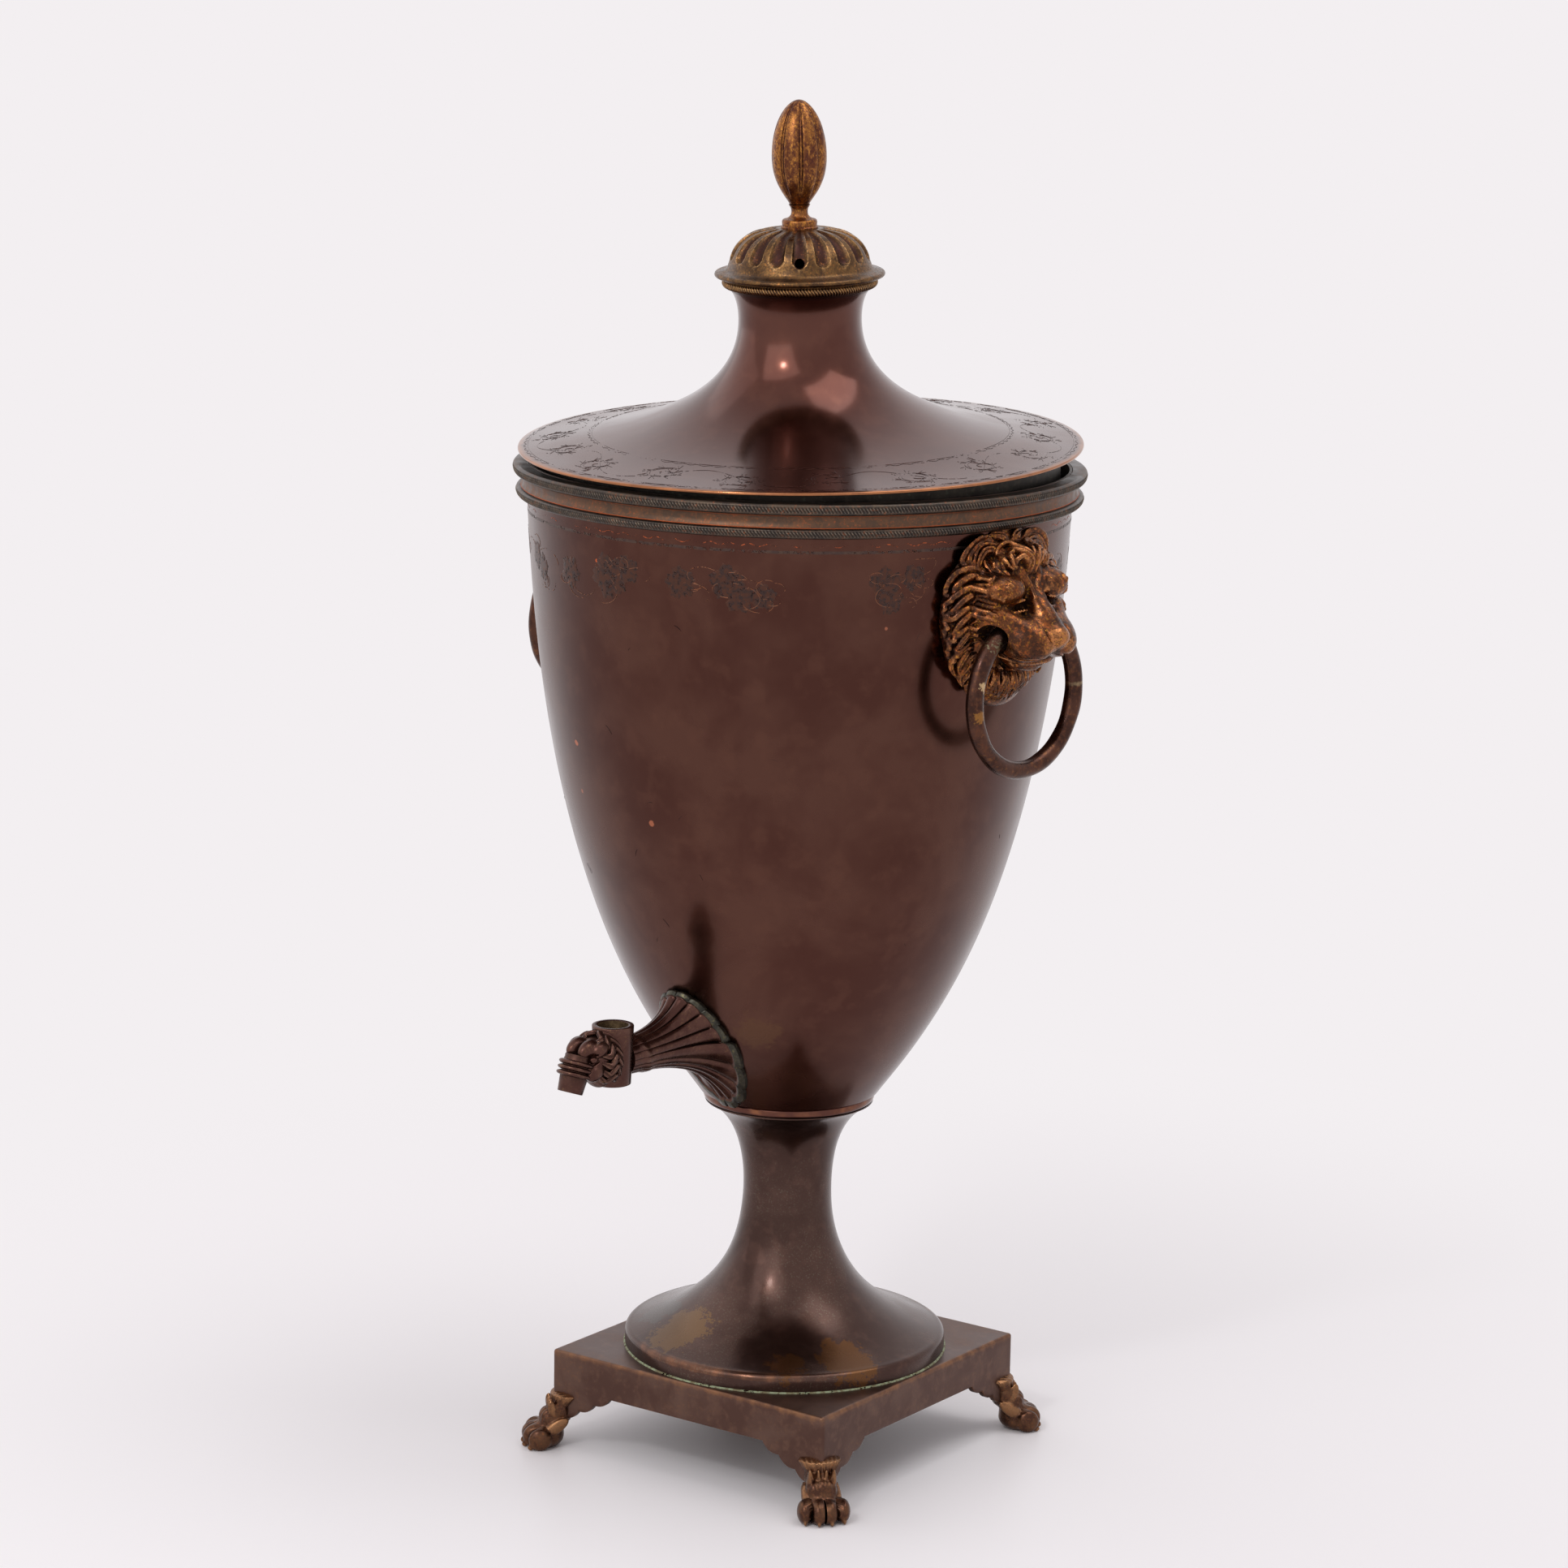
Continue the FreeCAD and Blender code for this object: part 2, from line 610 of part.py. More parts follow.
def make_foot_screws():
    shank = cylinder(screw_radius, lug_thickness + screw_bite, (boss_reach, 0, lug_foot))
    head = cylinder(screw_head_radius, screw_head_height, (boss_reach, 0, lug_foot - screw_head_height))
    screw = shank.fuse(head).removeSplitter()
    screw.rotate(vec(0, 0, 0), vec(0, 0, 1), -45)
    return turn_plinth(Part.makeCompound(four_round(screw)))


def make_stem():
    edge_top = plinth_top + foot_disc_edge
    foot_out, foot_up = foot_disc_radius - foot_disc_round, edge_top + foot_disc_round
    flare = [(foot_out, foot_up), (foot_out - stem_flare_pull[0], foot_up + stem_flare_pull[1]),
             (stem_waist_radius, stem_waist - stem_waist_pull), (stem_waist_radius, stem_waist)]
    throat = [(stem_waist_radius, stem_waist), (stem_waist_radius, stem_waist + stem_throat_pull),
              (stem_top_radius - stem_lip_pull[0], stem_top - stem_lip - stem_lip_pull[1]),
              (stem_top_radius, stem_top - stem_lip)]
    flare_in = offset_curve(flare, stem_wall)
    throat_in = split_below_top(offset_curve(throat, stem_wall), stem_top - stem_wall)
    round_middle = (foot_disc_radius - foot_disc_round * (1 - math.sqrt(0.5)),
                    edge_top + foot_disc_round * math.sqrt(0.5))
    inner_edge = foot_disc_radius - stem_wall
    return turned((foot_disc_radius, plinth_top), [(foot_disc_radius, edge_top)], [round_middle, flare[0]],
                  flare[1:], throat[1:], [(stem_top_radius, stem_top)], [(rod_hole, stem_top)],
                  [(rod_hole, stem_top - stem_wall)], [throat_in[3]],
                  [throat_in[2], throat_in[1], throat_in[0]],
                  [flare_in[2], flare_in[1], flare_in[0]], [(inner_edge, flare_in[0][1] - foot_disc_round)],
                  [(inner_edge, plinth_top)])


def split_below_top(poles, height):
    """The poles of the part of a rising cubic that lies below a height."""
    flipped = [(r, -z) for r, z in poles]
    return [(r, -z) for r, z in split_below(flipped, -height)]


def make_collar():
    edge = collar_radius - collar_bulge
    return turned((rod_hole, stem_top), [(edge, stem_top)],
                  [(collar_radius, stem_top + collar_height / 2), (edge, collar_top)],
                  [(rod_hole, collar_top)])


def make_tie_rod():
    rod = cylinder(rod_radius, bowl_floor - rod_foot, (0, 0, rod_foot))
    return rod.fuse(cylinder(rod_head_radius, rod_head_height, (0, 0, bowl_floor))).removeSplitter()


def make_tie_washer():
    ring = cylinder(washer_radius, washer_thickness, (0, 0, washer_foot))
    return ring.cut(cylinder(rod_hole, washer_thickness, (0, 0, washer_foot)))


def make_tie_nut():
    nut = hexagon(nut_across_flats, nut_height, (0, 0, nut_foot))
    return nut.cut(cylinder(rod_radius + thread_clearance, nut_height, (0, 0, nut_foot)))


def make_bead(foot, foot_out, top, top_out, crest_out):
    """A ring moulding with a round front, which bulges to its crest."""
    pull = bowl_radius + (crest_out - (foot_out + top_out) / 8) / 0.75
    return turned((moulding_inner, foot), [(bowl_radius + foot_out, foot)],
                  [(pull, foot), (pull, top), (bowl_radius + top_out, top)], [(moulding_inner, top)])


def make_upper_bead():
    return make_bead(upper_bead_foot, cove_edge_out, bowl_rim, upper_bead_land, upper_bead_out)


def make_cove():
    edge = bowl_radius + cove_edge_out
    return turned((moulding_inner, cove_foot), [(edge, cove_foot)],
                  [(bowl_radius + cove_out, (cove_foot + upper_bead_foot) / 2), (edge, upper_bead_foot)],
                  [(moulding_inner, upper_bead_foot)])


def make_lower_bead():
    return make_bead(lower_bead_z, lower_bead_foot, cove_foot, cove_edge_out, lower_bead_out)


def make_ledge():
    outer = bowl_inner - solder_gap
    return turned((outer - ledge_width, ledge_top - ledge_thickness), [(outer, ledge_top - ledge_thickness)],
                  [(outer, ledge_top)], [(outer - ledge_width, ledge_top)])


def lean_lid(shape):
    """The lid's pieces lean together about the middle of the brim."""
    turn = math.radians(lid_lean_turn)
    shape.rotate(vec(0, 0, brim_height), vec(math.cos(turn), math.sin(turn), 0), lid_lean)
    return shape


def lid_flare():
    """The lid's outer curve from the neck down to the brim."""
    return [(lid_neck_radius, lid_neck), (lid_neck_radius, lid_neck - lid_neck_pull),
            (lid_radius - lid_brim_pull[0], brim_height + lid_brim_pull[1]), (lid_radius, brim_height)]


def make_lid_cover():
    flare = lid_flare()
    neck = [(lid_neck_radius, lid_neck), (lid_neck_radius, lid_neck + lid_throat_pull),
            (lid_lip_radius - lid_lip_pull[0], lip_top - lid_lip_pull[1]), (lid_lip_radius, lip_top)]
    flare_in = offset_curve(flare, -lid_wall)
    neck_in = split_below_top(offset_curve(neck, lid_wall), lip_top)
    brim_edge = (lid_radius + lid_wall * lid_brim_bulge, brim_height - lid_wall / 2)
    return lean_lid(turned(flare[3], [brim_edge, flare_in[3]], [flare_in[2], flare_in[1], flare_in[0]],
                           neck_in[1:], [neck[3]], [neck[2], neck[1], neck[0]], flare[1:]))


def make_bezel():
    under = offset_curve(lid_flare(), -lid_wall)
    top_out = on_curve(under, bezel_radius, 0)[1] - solder_gap
    top_in = on_curve(under, bezel_radius - bezel_wall, 0)[1] - solder_gap
    foot = brim_height - bezel_depth
    return lean_lid(turned((bezel_radius, foot), [(bezel_radius, top_out)],
                           [(bezel_radius - bezel_wall, top_in)], [(bezel_radius - bezel_wall, foot)]))


def make_rope_bead():
    inner = lid_lip_radius - lid_wall
    crest = (bead_radius, lip_top + bead_height * bead_crest)
    return lean_lid(turned((inner, lip_top), [(lid_lip_radius + bead_foot_out, lip_top)],
                           [crest, (bead_radius - bead_top_inset, cap_foot)], [(inner, cap_foot)]))


def cap_dome():
    """Three points of the cap's dome: its foot, its haunch and its crown's edge."""
    haunch = (cap_shoulder_radius - cap_haunch[0], cap_shoulder + cap_haunch[1])
    return (cap_shoulder_radius, cap_shoulder), haunch, (cap_crown_radius, crown_top - cap_crown_slope)


def circle_through(a, b, c):
    """Centre and radius of the circle through three points."""
    d = 2 * (a[0] * (b[1] - c[1]) + b[0] * (c[1] - a[1]) + c[0] * (a[1] - b[1]))
    sa, sb, sc = (p[0] ** 2 + p[1] ** 2 for p in (a, b, c))
    x = (sa * (b[1] - c[1]) + sb * (c[1] - a[1]) + sc * (a[1] - b[1])) / d
    z = (sa * (c[0] - b[0]) + sb * (a[0] - c[0]) + sc * (b[0] - a[0])) / d
    return x, z, math.hypot(a[0] - x, a[1] - z)


def make_flute():
    """A gouge with round ends that follows the dome."""
    foot, haunch, crown = cap_dome()
    x, z, radius = circle_through(foot, haunch, crown)
    path = radius + flute_radius - flute_depth
    low = math.atan2(foot[1] - z, foot[0] - x) + flute_margins[0]
    high = math.atan2(crown[1] - z, crown[0] - x) - flute_margins[1]
    start = vec(x + path * math.cos(low), 0, z + path * math.sin(low))
    along = vec(-math.sin(low), 0, math.cos(low))
    disc = Part.Face(Part.Wire(Part.Circle(start, along, flute_radius).toShape()))
    gouge = disc.revolve(vec(x, 0, z), vec(0, -1, 0), math.degrees(high - low))
    end = vec(x + path * math.cos(high), 0, z + path * math.sin(high))
    return gouge.fuse([Part.makeSphere(flute_radius, start), Part.makeSphere(flute_radius, end)])


def make_cap():
    foot, haunch, crown = cap_dome()
    flange_top = cap_foot + cap_flange_height
    crown_in = crown_top - cap_wall
    inner = (foot[0] - cap_wall, foot[1] - cap_wall)
    haunch_in = (haunch[0] - cap_wall * cap_haunch_wall, haunch[1] - cap_wall * cap_haunch_wall)
    skirt_inner = lid_lip_radius - lid_wall - cap_skirt_inset
    bore = stud_radius + rod_clearance
    seat = knop_radius + knop_seat
    cap = turned((skirt_inner, cap_foot), [(bead_radius + cap_flange_foot_out, cap_foot)],
                 [(cap_radius, cap_foot + cap_flange_height * cap_flange_crest),
                  (cap_radius - cap_flange_land, flange_top)],
                 [(foot[0] + cap_step[0], flange_top + cap_step[1]), foot], [haunch, crown],
                 [(seat, crown_top)], [(bore, crown_top)], [(bore, crown_in)], [(seat, crown_in)],
                 [(crown[0] - cap_wall * cap_crown_wall, crown[1] - cap_wall)],
                 [haunch_in, inner], [(skirt_inner, inner[1] - cap_skirt_height)])
    flute = make_flute()
    for k in range(flute_count):
        gouge = flute.copy()
        gouge.rotate(vec(0, 0, 0), vec(0, 0, 1), -90 + vent_azimuth + 360 * k / flute_count)
        cap = cap.cut(gouge)
    vent = cylinder(vent_radius, cap_radius, (0, 0, cap_shoulder + vent_radius - vent_drop), (1, 0, 0))
    vent.rotate(vec(0, 0, 0), vec(0, 0, 1), -90 + vent_azimuth)
    return lean_lid(cap.cut(vent))


def make_knop():
    bore = stud_radius + rod_clearance
    drum = crown_top + knop_drum
    cove = [(knop_neck_radius, drum + rise) for rise in knop_cove]
    return lean_lid(turned((bore, crown_top), [(knop_radius, crown_top)], [(knop_radius - knop_taper, drum)],
                           cove, [(knop_neck_radius, bud_foot)], [(bore, bud_foot)]))


def make_bud():
    """The ribbed bud with its stud, which goes down through the knop and the cap's crown."""
    belly = bud_foot + bud_belly
    stud_foot = crown_top - cap_wall - finial_nut_height - stud_tail
    bud = turned((0, stud_foot), [(stud_radius, stud_foot)], [(stud_radius, bud_foot)],
                 [(knop_neck_radius, bud_foot)],
                 [(knop_neck_radius + bud_foot_pull[0], bud_foot + bud_foot_pull[1]),
                  (bud_radius, belly - bud_belly_pull), (bud_radius, belly)],
                 [(bud_radius, belly + (bud_top - belly) * bud_top_pull), (bud_tip, bud_top), (0, bud_top)])
    bow = bud_height * bud_groove_bow
    ring = Part.makeTorus(bow, bud_groove, vec(bud_radius - bow, 0, belly + bud_groove_rise), vec(0, 1, 0))
    foot = bud_foot + bud_groove_ends[0]
    length = bud_height * bud_groove_ends[1]
    room = Part.makeBox(bud_height, bud_height, length, vec(bud_core, -bud_height / 2, foot))
    groove = ring.common(room)
    for k in range(bud_lobes):
        copy = groove.copy()
        copy.rotate(vec(0, 0, 0), vec(0, 0, 1), 360 * (k + 0.5) / bud_lobes)
        bud = bud.cut(copy)
    return lean_lid(bud)


def make_finial_nut():
    foot = crown_top - cap_wall - finial_nut_height
    nut = hexagon(finial_nut_flats, finial_nut_height, (0, 0, foot))
    return lean_lid(nut.cut(cylinder(stud_radius + thread_clearance, finial_nut_height, (0, 0, foot))))


def mask_stud_heights():
    middle = mask_centre - mask_stud_drop
    return middle - mask_stud_spacing / 2, middle + mask_stud_spacing / 2


def ring_room():
    """The space that the ring's upper arc turns in, with the cheek holes, about the pivot line."""
    outer = ring_radius + ring_tube + ring_air
    reach = math.sqrt(outer ** 2 - (ring_drop + hole_radius) ** 2)
    far = muzzle_half_width + hole_flare
    wide = hole_radius + hole_flare
    near = muzzle_half_width + hole_lip
    middle = outer - ring_drop
    outline = [vec(0, -far, 0), vec(0, -far, wide), vec(0, -near, hole_radius), vec(0, -reach, hole_radius)]
    back = [vec(0, reach, hole_radius), vec(0, near, hole_radius), vec(0, far, wide), vec(0, far, 0)]
    edges = [Part.LineSegment(a, b).toShape() for a, b in zip(outline, outline[1:])]
    edges.append(Part.Arc(outline[-1], vec(0, 0, middle), back[0]).toShape())
    edges += [Part.LineSegment(a, b).toShape() for a, b in zip(back, back[1:])]
    edges.append(Part.LineSegment(back[-1], outline[0]).toShape())
    room = Part.Face(Part.Wire(edges)).revolve(vec(0, 0, 0), vec(0, 1, 0), 360)
    room.translate(vec(ring_out, 0, ring_pivot_height))
    return room


def make_right_mask():
    """A lion's mask: mane, beard, face, brows, muzzle, nose and chin, hollow where the ring passes."""
    wall = bowl_radius_at(mask_centre, 0)
    top = mask_centre + mask_height / 2
    low = mask_centre - mask_height / 2
    nose = wall + muzzle_out
    beard_level = low + beard_rise

    def mass(out, up, half, across=0.0, tilt=0.0):
        """An ellipsoid of the face, whose height is above the pivot line."""
        return ellipsoid((out, across, ring_pivot_height + up), half, tilt)

    mane = ellipsoid((wall - mane_sink, 0, mask_centre + mane_rise),
                     (mask_relief + mane_sink, mask_width / 2, mask_height / 2 - mane_rise))
    masses = [mass(wall + face_place[0], face_place[1], face_half),
              ellipsoid((bowl_radius_at(beard_level, 0), 0, beard_level), (mask_relief, *beard_half)),
              ellipsoid((wall + forelock_place[0], 0, top - forelock_place[1]), forelock_half),
              mass(ring_out - muzzle_back, 0, (muzzle_half[0], muzzle_half_width, muzzle_half[1])),
              mass(nose - nose_half[0], nose_rise, nose_half),
              mass(nose - bridge_place[0], bridge_place[1], bridge_half, 0.0, bridge_tilt),
              mass(ring_out - chin_place[0], -chin_place[1], chin_half)]
    masses += [mass(wall + brow_place[0], brow_place[1], brow_half, side * brow_half[1]) for side in (1, -1)]
    mask = mane.fuse(masses).cut(bowl_body(solder_gap))
    for z in mask_stud_heights():
        start = bowl_radius_at(z, -bowl_wall) - rest_gap - mask_nut_height - mask_stud_tail
        length = bowl_radius + mask_stud_root - start
        mask = mask.fuse(cylinder(mask_stud_radius, length, (start, 0, z), (1, 0, 0)))
    return mask.cut(ring_room())


def make_mask_nuts():
    nuts = []
    for side in (1, -1):
        for z in mask_stud_heights():
            back = bowl_radius_at(z - mask_nut_flats / 2, -bowl_wall) - rest_gap - mask_nut_height
            nut = hexagon(mask_nut_flats, mask_nut_height, (side * back, 0, z), (side, 0, 0))
            bore = cylinder(mask_stud_radius + thread_clearance, bowl_radius, (0, 0, z), (side, 0, 0))
            nuts.append(nut.cut(bore))
    return Part.makeCompound(nuts)


def make_right_ring():
    return Part.makeTorus(ring_radius, ring_tube, vec(ring_out, 0, ring_centre), vec(1, 0, 0))


def mirrored(shape):
    return shape.mirror(vec(0, 0, 0), vec(1, 0, 0))


def turn_tap(shape):
    shape.rotate(vec(0, 0, 0), vec(0, 0, 1), tap_turn)
    return shape


def barrel_cone(out):
    return Part.makeCone(barrel_foot_radius + out, barrel_top_radius + out, barrel_height,
                         vec(0, -barrel_out, barrel_foot), vec(0, 0, 1))


def make_barrel():
    barrel = barrel_cone(0)
    barrel = barrel.cut(cylinder(barrel_bore, barrel_height, (0, -barrel_out, barrel_foot)))
    start = -barrel_out - 2 * barrel_top_radius
    way = cylinder(water_way, 4 * barrel_top_radius, (0, start, tap_height), (0, 1, 0))
    return turn_tap(barrel.cut(way))


def oval_wire(top, foot, half_width):
    """An ellipse across the tap, from its top point to its foot point (out, height)."""
    middle = vec(0, -(top[0] + foot[0]) / 2, (top[1] + foot[1]) / 2)
    up = vec(0, -(top[0] - foot[0]) / 2, (top[1] - foot[1]) / 2)
    across = vec(half_width, 0, 0)
    if up.Length >= half_width:
        ellipse = Part.Ellipse(middle + up, middle + across, middle)
    else:
        ellipse = Part.Ellipse(middle + across, middle + up, middle)
    return Part.Wire(ellipse.toShape())


def make_shank():
    """The pipe and its flared shell flange, cut to the bowl and to the barrel."""
    top_out = bowl_radius_at(flange_top, flange_edge)
    foot_out = bowl_base_radius + flange_edge
    round_pipe = (pipe_radius,) * 3
    full = flange_rise, flange_fall, flange_half_width
    sections = [(barrel_out - back, barrel_out - back, *round_pipe) for back in pipe_ends]
    for top, foot, *shares in flange_sections:
        sections.append((top_out + top, top_out + foot, *(s * size for s, size in zip(shares, full))))
    sections += [(top_out - root, foot_out - root, *full) for root in (0, flange_root)]
    shank = Part.makeLoft([oval_wire((top, tap_height + up), (foot, tap_height - down), half)
                           for top, foot, up, down, half in sections], True)
    shank = shank.cut(bowl_body(solder_gap)).cut(barrel_cone(solder_gap))
    below = cylinder(collar_radius + flange_foot_room, stem_height, (0, 0, collar_top - stem_height))
    shank = shank.cut(below)
    return turn_tap(shank.cut(cylinder(water_way, barrel_out, (0, -barrel_out, tap_height), (0, 1, 0))))


def make_spout():
    """The beast head: a snout on the barrel, three ribs and the nozzle, which leans outward."""
    slope = math.radians(nozzle_lean)
    down = vec(0, -math.sin(slope), -math.cos(slope))
    tip = vec(0, -nozzle_tip_out, nozzle_tip_height)
    rib_start = tip - down * (nozzle_length + muzzle_rib_length)
    head_middle = barrel_out + barrel_top_radius + head_length / 2 - head_root
    head = ellipsoid((0, -head_middle, tap_height + head_rise), (head_radius, head_length / 2, head_radius))
    ruff_out = barrel_out + barrel_top_radius - ruff_root
    ruff = ellipsoid((0, -ruff_out, tap_height + ruff_rise), (head_radius, *ruff_half))
    neck = nozzle_length + nozzle_root
    nozzle = Part.makeCone(nozzle_radius + nozzle_flare, nozzle_radius, neck, tip - down * neck, down)
    pieces = [ruff, nozzle]
    step = down * (muzzle_rib_length / muzzle_ribs)
    thin = muzzle_rib_radius - muzzle_rib_depth
    for k in range(muzzle_ribs):
        foot = rib_start + step * k
        pieces.append(Part.makeCone(thin, muzzle_rib_radius, step.Length / 2, foot, down))
        pieces.append(Part.makeCone(muzzle_rib_radius, thin, step.Length / 2, foot + step * 0.5, down))
    spout = head.fuse(pieces)
    spout = spout.cut(barrel_cone(solder_gap))
    bend = rib_start + down * (muzzle_rib_length * 0.5)
    meet = bend + down * ((tap_height - bend.z) / down.z)
    spout = spout.cut(cylinder(water_way, -meet.y - barrel_out, (0, meet.y, tap_height), (0, 1, 0)))
    spout = spout.cut(Part.makeSphere(water_way, meet))
    spout = spout.cut(Part.makeCylinder(water_way, nozzle_tip_reach, meet, down))
    bore = Part.makeCylinder(nozzle_bore, nozzle_length, tip - down * nozzle_length, down)
    return turn_tap(spout.cut(bore))


def make_sleeve():
    bead = sleeve_radius + sleeve_bead
    flange = sleeve_radius + sleeve_flange
    return turned((sleeve_inner, bowl_floor), [(flange, bowl_floor)],
                  [(flange, bowl_floor + sleeve_wall)], [(sleeve_radius, bowl_floor + sleeve_wall)],
                  [(sleeve_radius, sleeve_top - 2 * sleeve_bead)],
                  [(bead, sleeve_top - sleeve_bead), (sleeve_radius, sleeve_top)],
                  [(sleeve_inner, sleeve_top)], [(sleeve_inner, sleeve_bottom)],
                  [(0, sleeve_bottom)], [(0, sleeve_bottom - sleeve_wall)],
                  [(sleeve_inner, sleeve_bottom - sleeve_wall)])


def make_billet():
    edge = billet_radius - billet_chamfer
    iron = turned((0, billet_foot), [(edge, billet_foot)], [(billet_radius, billet_foot + billet_chamfer)],
                  [(billet_radius, billet_top - billet_chamfer)], [(edge, billet_top)], [(0, billet_top)])
    eye = Part.makeTorus(eye_radius, eye_wire, vec(0, 0, eye_centre), vec(0, 1, 0))
    stalk_height = eye_stalk + 2 * eye_stalk_root
    stalk = cylinder(eye_wire + eye_stalk_out, stalk_height, (0, 0, billet_top - eye_stalk_root))
    return iron.fuse([stalk, eye])


def make_cover():
    plug = sleeve_inner - plug_clearance
    plug_inner = plug - plug_wall
    plug_foot = cover_foot - plug_depth
    disc = sleeve_radius + cover_overhang
    top = cover_foot + cover_thickness
    knob_top = top + cover_knob_height
    waist = cover_knob_radius * cover_knob_waist
    ball = knob_top - cover_knob_radius * cover_ball_drop
    return turned((0, plug_foot + cover_thickness), [(plug_inner, plug_foot + cover_thickness)],
                  [(plug_inner, plug_foot)], [(plug, plug_foot)], [(plug, cover_foot)],
                  [(disc, cover_foot)], [(disc, top)], [(waist, top)], [(waist, ball)],
                  [(cover_knob_radius, knob_top - cover_knob_radius), (0, knob_top)])


def main():
    os.makedirs("parts", exist_ok=True)
    plinth = make_plinth()
    mask = make_right_mask()
    ring = make_right_ring()
    nodes = {
        "plinth": plinth,
        "foot_screws": make_foot_screws(),
        "pedestal_stem": make_stem(),
        "waist_collar": make_collar(),
        "tie_rod": make_tie_rod(),
        "tie_washer": make_tie_washer(),
        "tie_nut": make_tie_nut(),
        "bowl": make_bowl(),
        "rim_upper_bead": make_upper_bead(),
        "rim_cove": make_cove(),
        "rim_lower_bead": make_lower_bead(),
        "lid_seat_ring": make_ledge(),
        "lion_mask_right": mask,
        "lion_mask_left": mirrored(mask),
        "mask_nuts": make_mask_nuts(),
        "ring_handle_right": ring,
        "ring_handle_left": mirrored(ring),
        "tap_shank": make_shank(),
        "tap_barrel": make_barrel(),
        "tap_spout": make_spout(),
        "heater_sleeve": make_sleeve(),
        "iron_billet": make_billet(),
        "heater_cover": make_cover(),
        "lid_cover": make_lid_cover(),
        "lid_bezel": make_bezel(),
        "cap_rope_bead": make_rope_bead(),
        "lid_cap": make_cap(),
        "finial_knop": make_knop(),
        "finial_bud": make_bud(),
        "finial_nut": make_finial_nut(),
    }
    for quarter, name in enumerate(("paw_front", "paw_right", "paw_back", "paw_left")):
        nodes[name] = make_paw(plinth, quarter)
    for name, shape in nodes.items():
        shape.exportStep("parts/" + name + ".step")
        solids = shape.Solids
        print(name, "solids", len(solids), "volume", round(shape.Volume, 1), "valid", shape.isValid())


main()
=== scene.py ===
import logging
from dataclasses import dataclass
from enum import Enum
from math import cos, pi, radians, sin, sqrt
from typing import Optional, Sequence, Union

import bpy
import numpy as np
from mathutils import Matrix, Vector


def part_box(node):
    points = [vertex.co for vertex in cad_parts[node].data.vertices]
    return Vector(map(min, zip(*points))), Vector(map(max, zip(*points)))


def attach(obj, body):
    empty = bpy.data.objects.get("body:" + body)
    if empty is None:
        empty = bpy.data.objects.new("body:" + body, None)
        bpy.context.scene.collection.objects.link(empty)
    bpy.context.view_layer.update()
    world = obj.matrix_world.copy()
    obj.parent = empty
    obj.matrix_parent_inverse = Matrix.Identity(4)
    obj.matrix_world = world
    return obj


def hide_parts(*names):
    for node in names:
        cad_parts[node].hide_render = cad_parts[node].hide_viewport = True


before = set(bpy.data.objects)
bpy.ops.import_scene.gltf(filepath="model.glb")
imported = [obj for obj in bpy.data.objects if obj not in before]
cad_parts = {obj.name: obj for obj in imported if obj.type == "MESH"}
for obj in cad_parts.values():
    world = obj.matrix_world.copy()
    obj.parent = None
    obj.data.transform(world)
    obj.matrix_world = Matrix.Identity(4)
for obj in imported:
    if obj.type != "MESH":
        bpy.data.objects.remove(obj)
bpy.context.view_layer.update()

# Sizes are millimetres, as on a workshop drawing, and Workpiece.make turns them to metres.
# The urn's axis is Z and the floor is z = 0. An azimuth is an angle about Z from the tap, which
# faces -Y, towards the right mask, which faces +X.
LOG = logging.getLogger("tea_urn")
MM = 0.001
CREASE = 38.0
FULL_TURN = 2 * pi

Array = np.ndarray
Colour = tuple[float, float, float]
Point = tuple[float, ...]


class Slot(Enum):
    """The record's material slots."""

    URN_COPPER = "urn_copper"
    WORN_COPPER = "worn_copper"
    MOULDING_BRONZE = "moulding_bronze"
    GILT_BRONZE = "gilt_bronze"
    TAP_BRONZE = "tap_bronze"
    FOOT_BRONZE = "foot_bronze"
    RING_BRONZE = "ring_bronze"
    TINNED_COPPER = "tinned_copper"
    IRON = "iron"
    FASTENER_BRASS = "fastener_brass"


class Body(Enum):
    """The bodies that pieces ride on."""

    URN = "urn"
    LID = "lid"
    RING_RIGHT = "ring_right"
    RING_LEFT = "ring_left"
    HEATER_LID = "heater_lid"
    BILLET = "billet"


def node_box(node: str) -> tuple[Array, Array]:
    """Lowest and highest corner of a CAD node, in millimetres.

    Args:
        node: The CAD node's name.

    Returns:
        Two arrays of three numbers.
    """
    low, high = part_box(node)
    return np.array(low) / MM, np.array(high) / MM


def srgb(red: int, green: int, blue: int) -> Colour:
    """A screen colour of 0 to 255 as the linear colour that a shader takes."""
    def linear(value: float) -> float:
        """One channel from the screen's curve to linear light."""
        return value / 12.92 if value <= 0.04045 else ((value + 0.055) / 1.055) ** 2.4
    return linear(red / 255), linear(green / 255), linear(blue / 255)


def tones(text: str) -> tuple[Colour, ...]:
    """Screen colours written in hex, as linear colours."""
    return tuple(srgb(*bytes.fromhex(word)) for word in text.split())


def smooth(value: Array, low: float, high: float) -> Array:
    """0 below low, 1 above high, and 3t^2 - 2t^3 between them."""
    t = np.clip((value - low) / (high - low), 0, 1)
    return t * t * (3 - 2 * t)


def beside(*parts: Array) -> Array:
    """Arrays of one shape side by side, as the coordinates of points."""
    return np.stack(parts, axis=-1)


def round_turn(count: int) -> Array:
    """Evenly spaced angles of a full turn, which ends one step before its start."""
    return np.arange(count) * FULL_TURN / count


def run(start: Point, end: Point, count: int = 2) -> Array:
    """Evenly spaced points of a straight run."""
    return np.linspace(start, end, count)


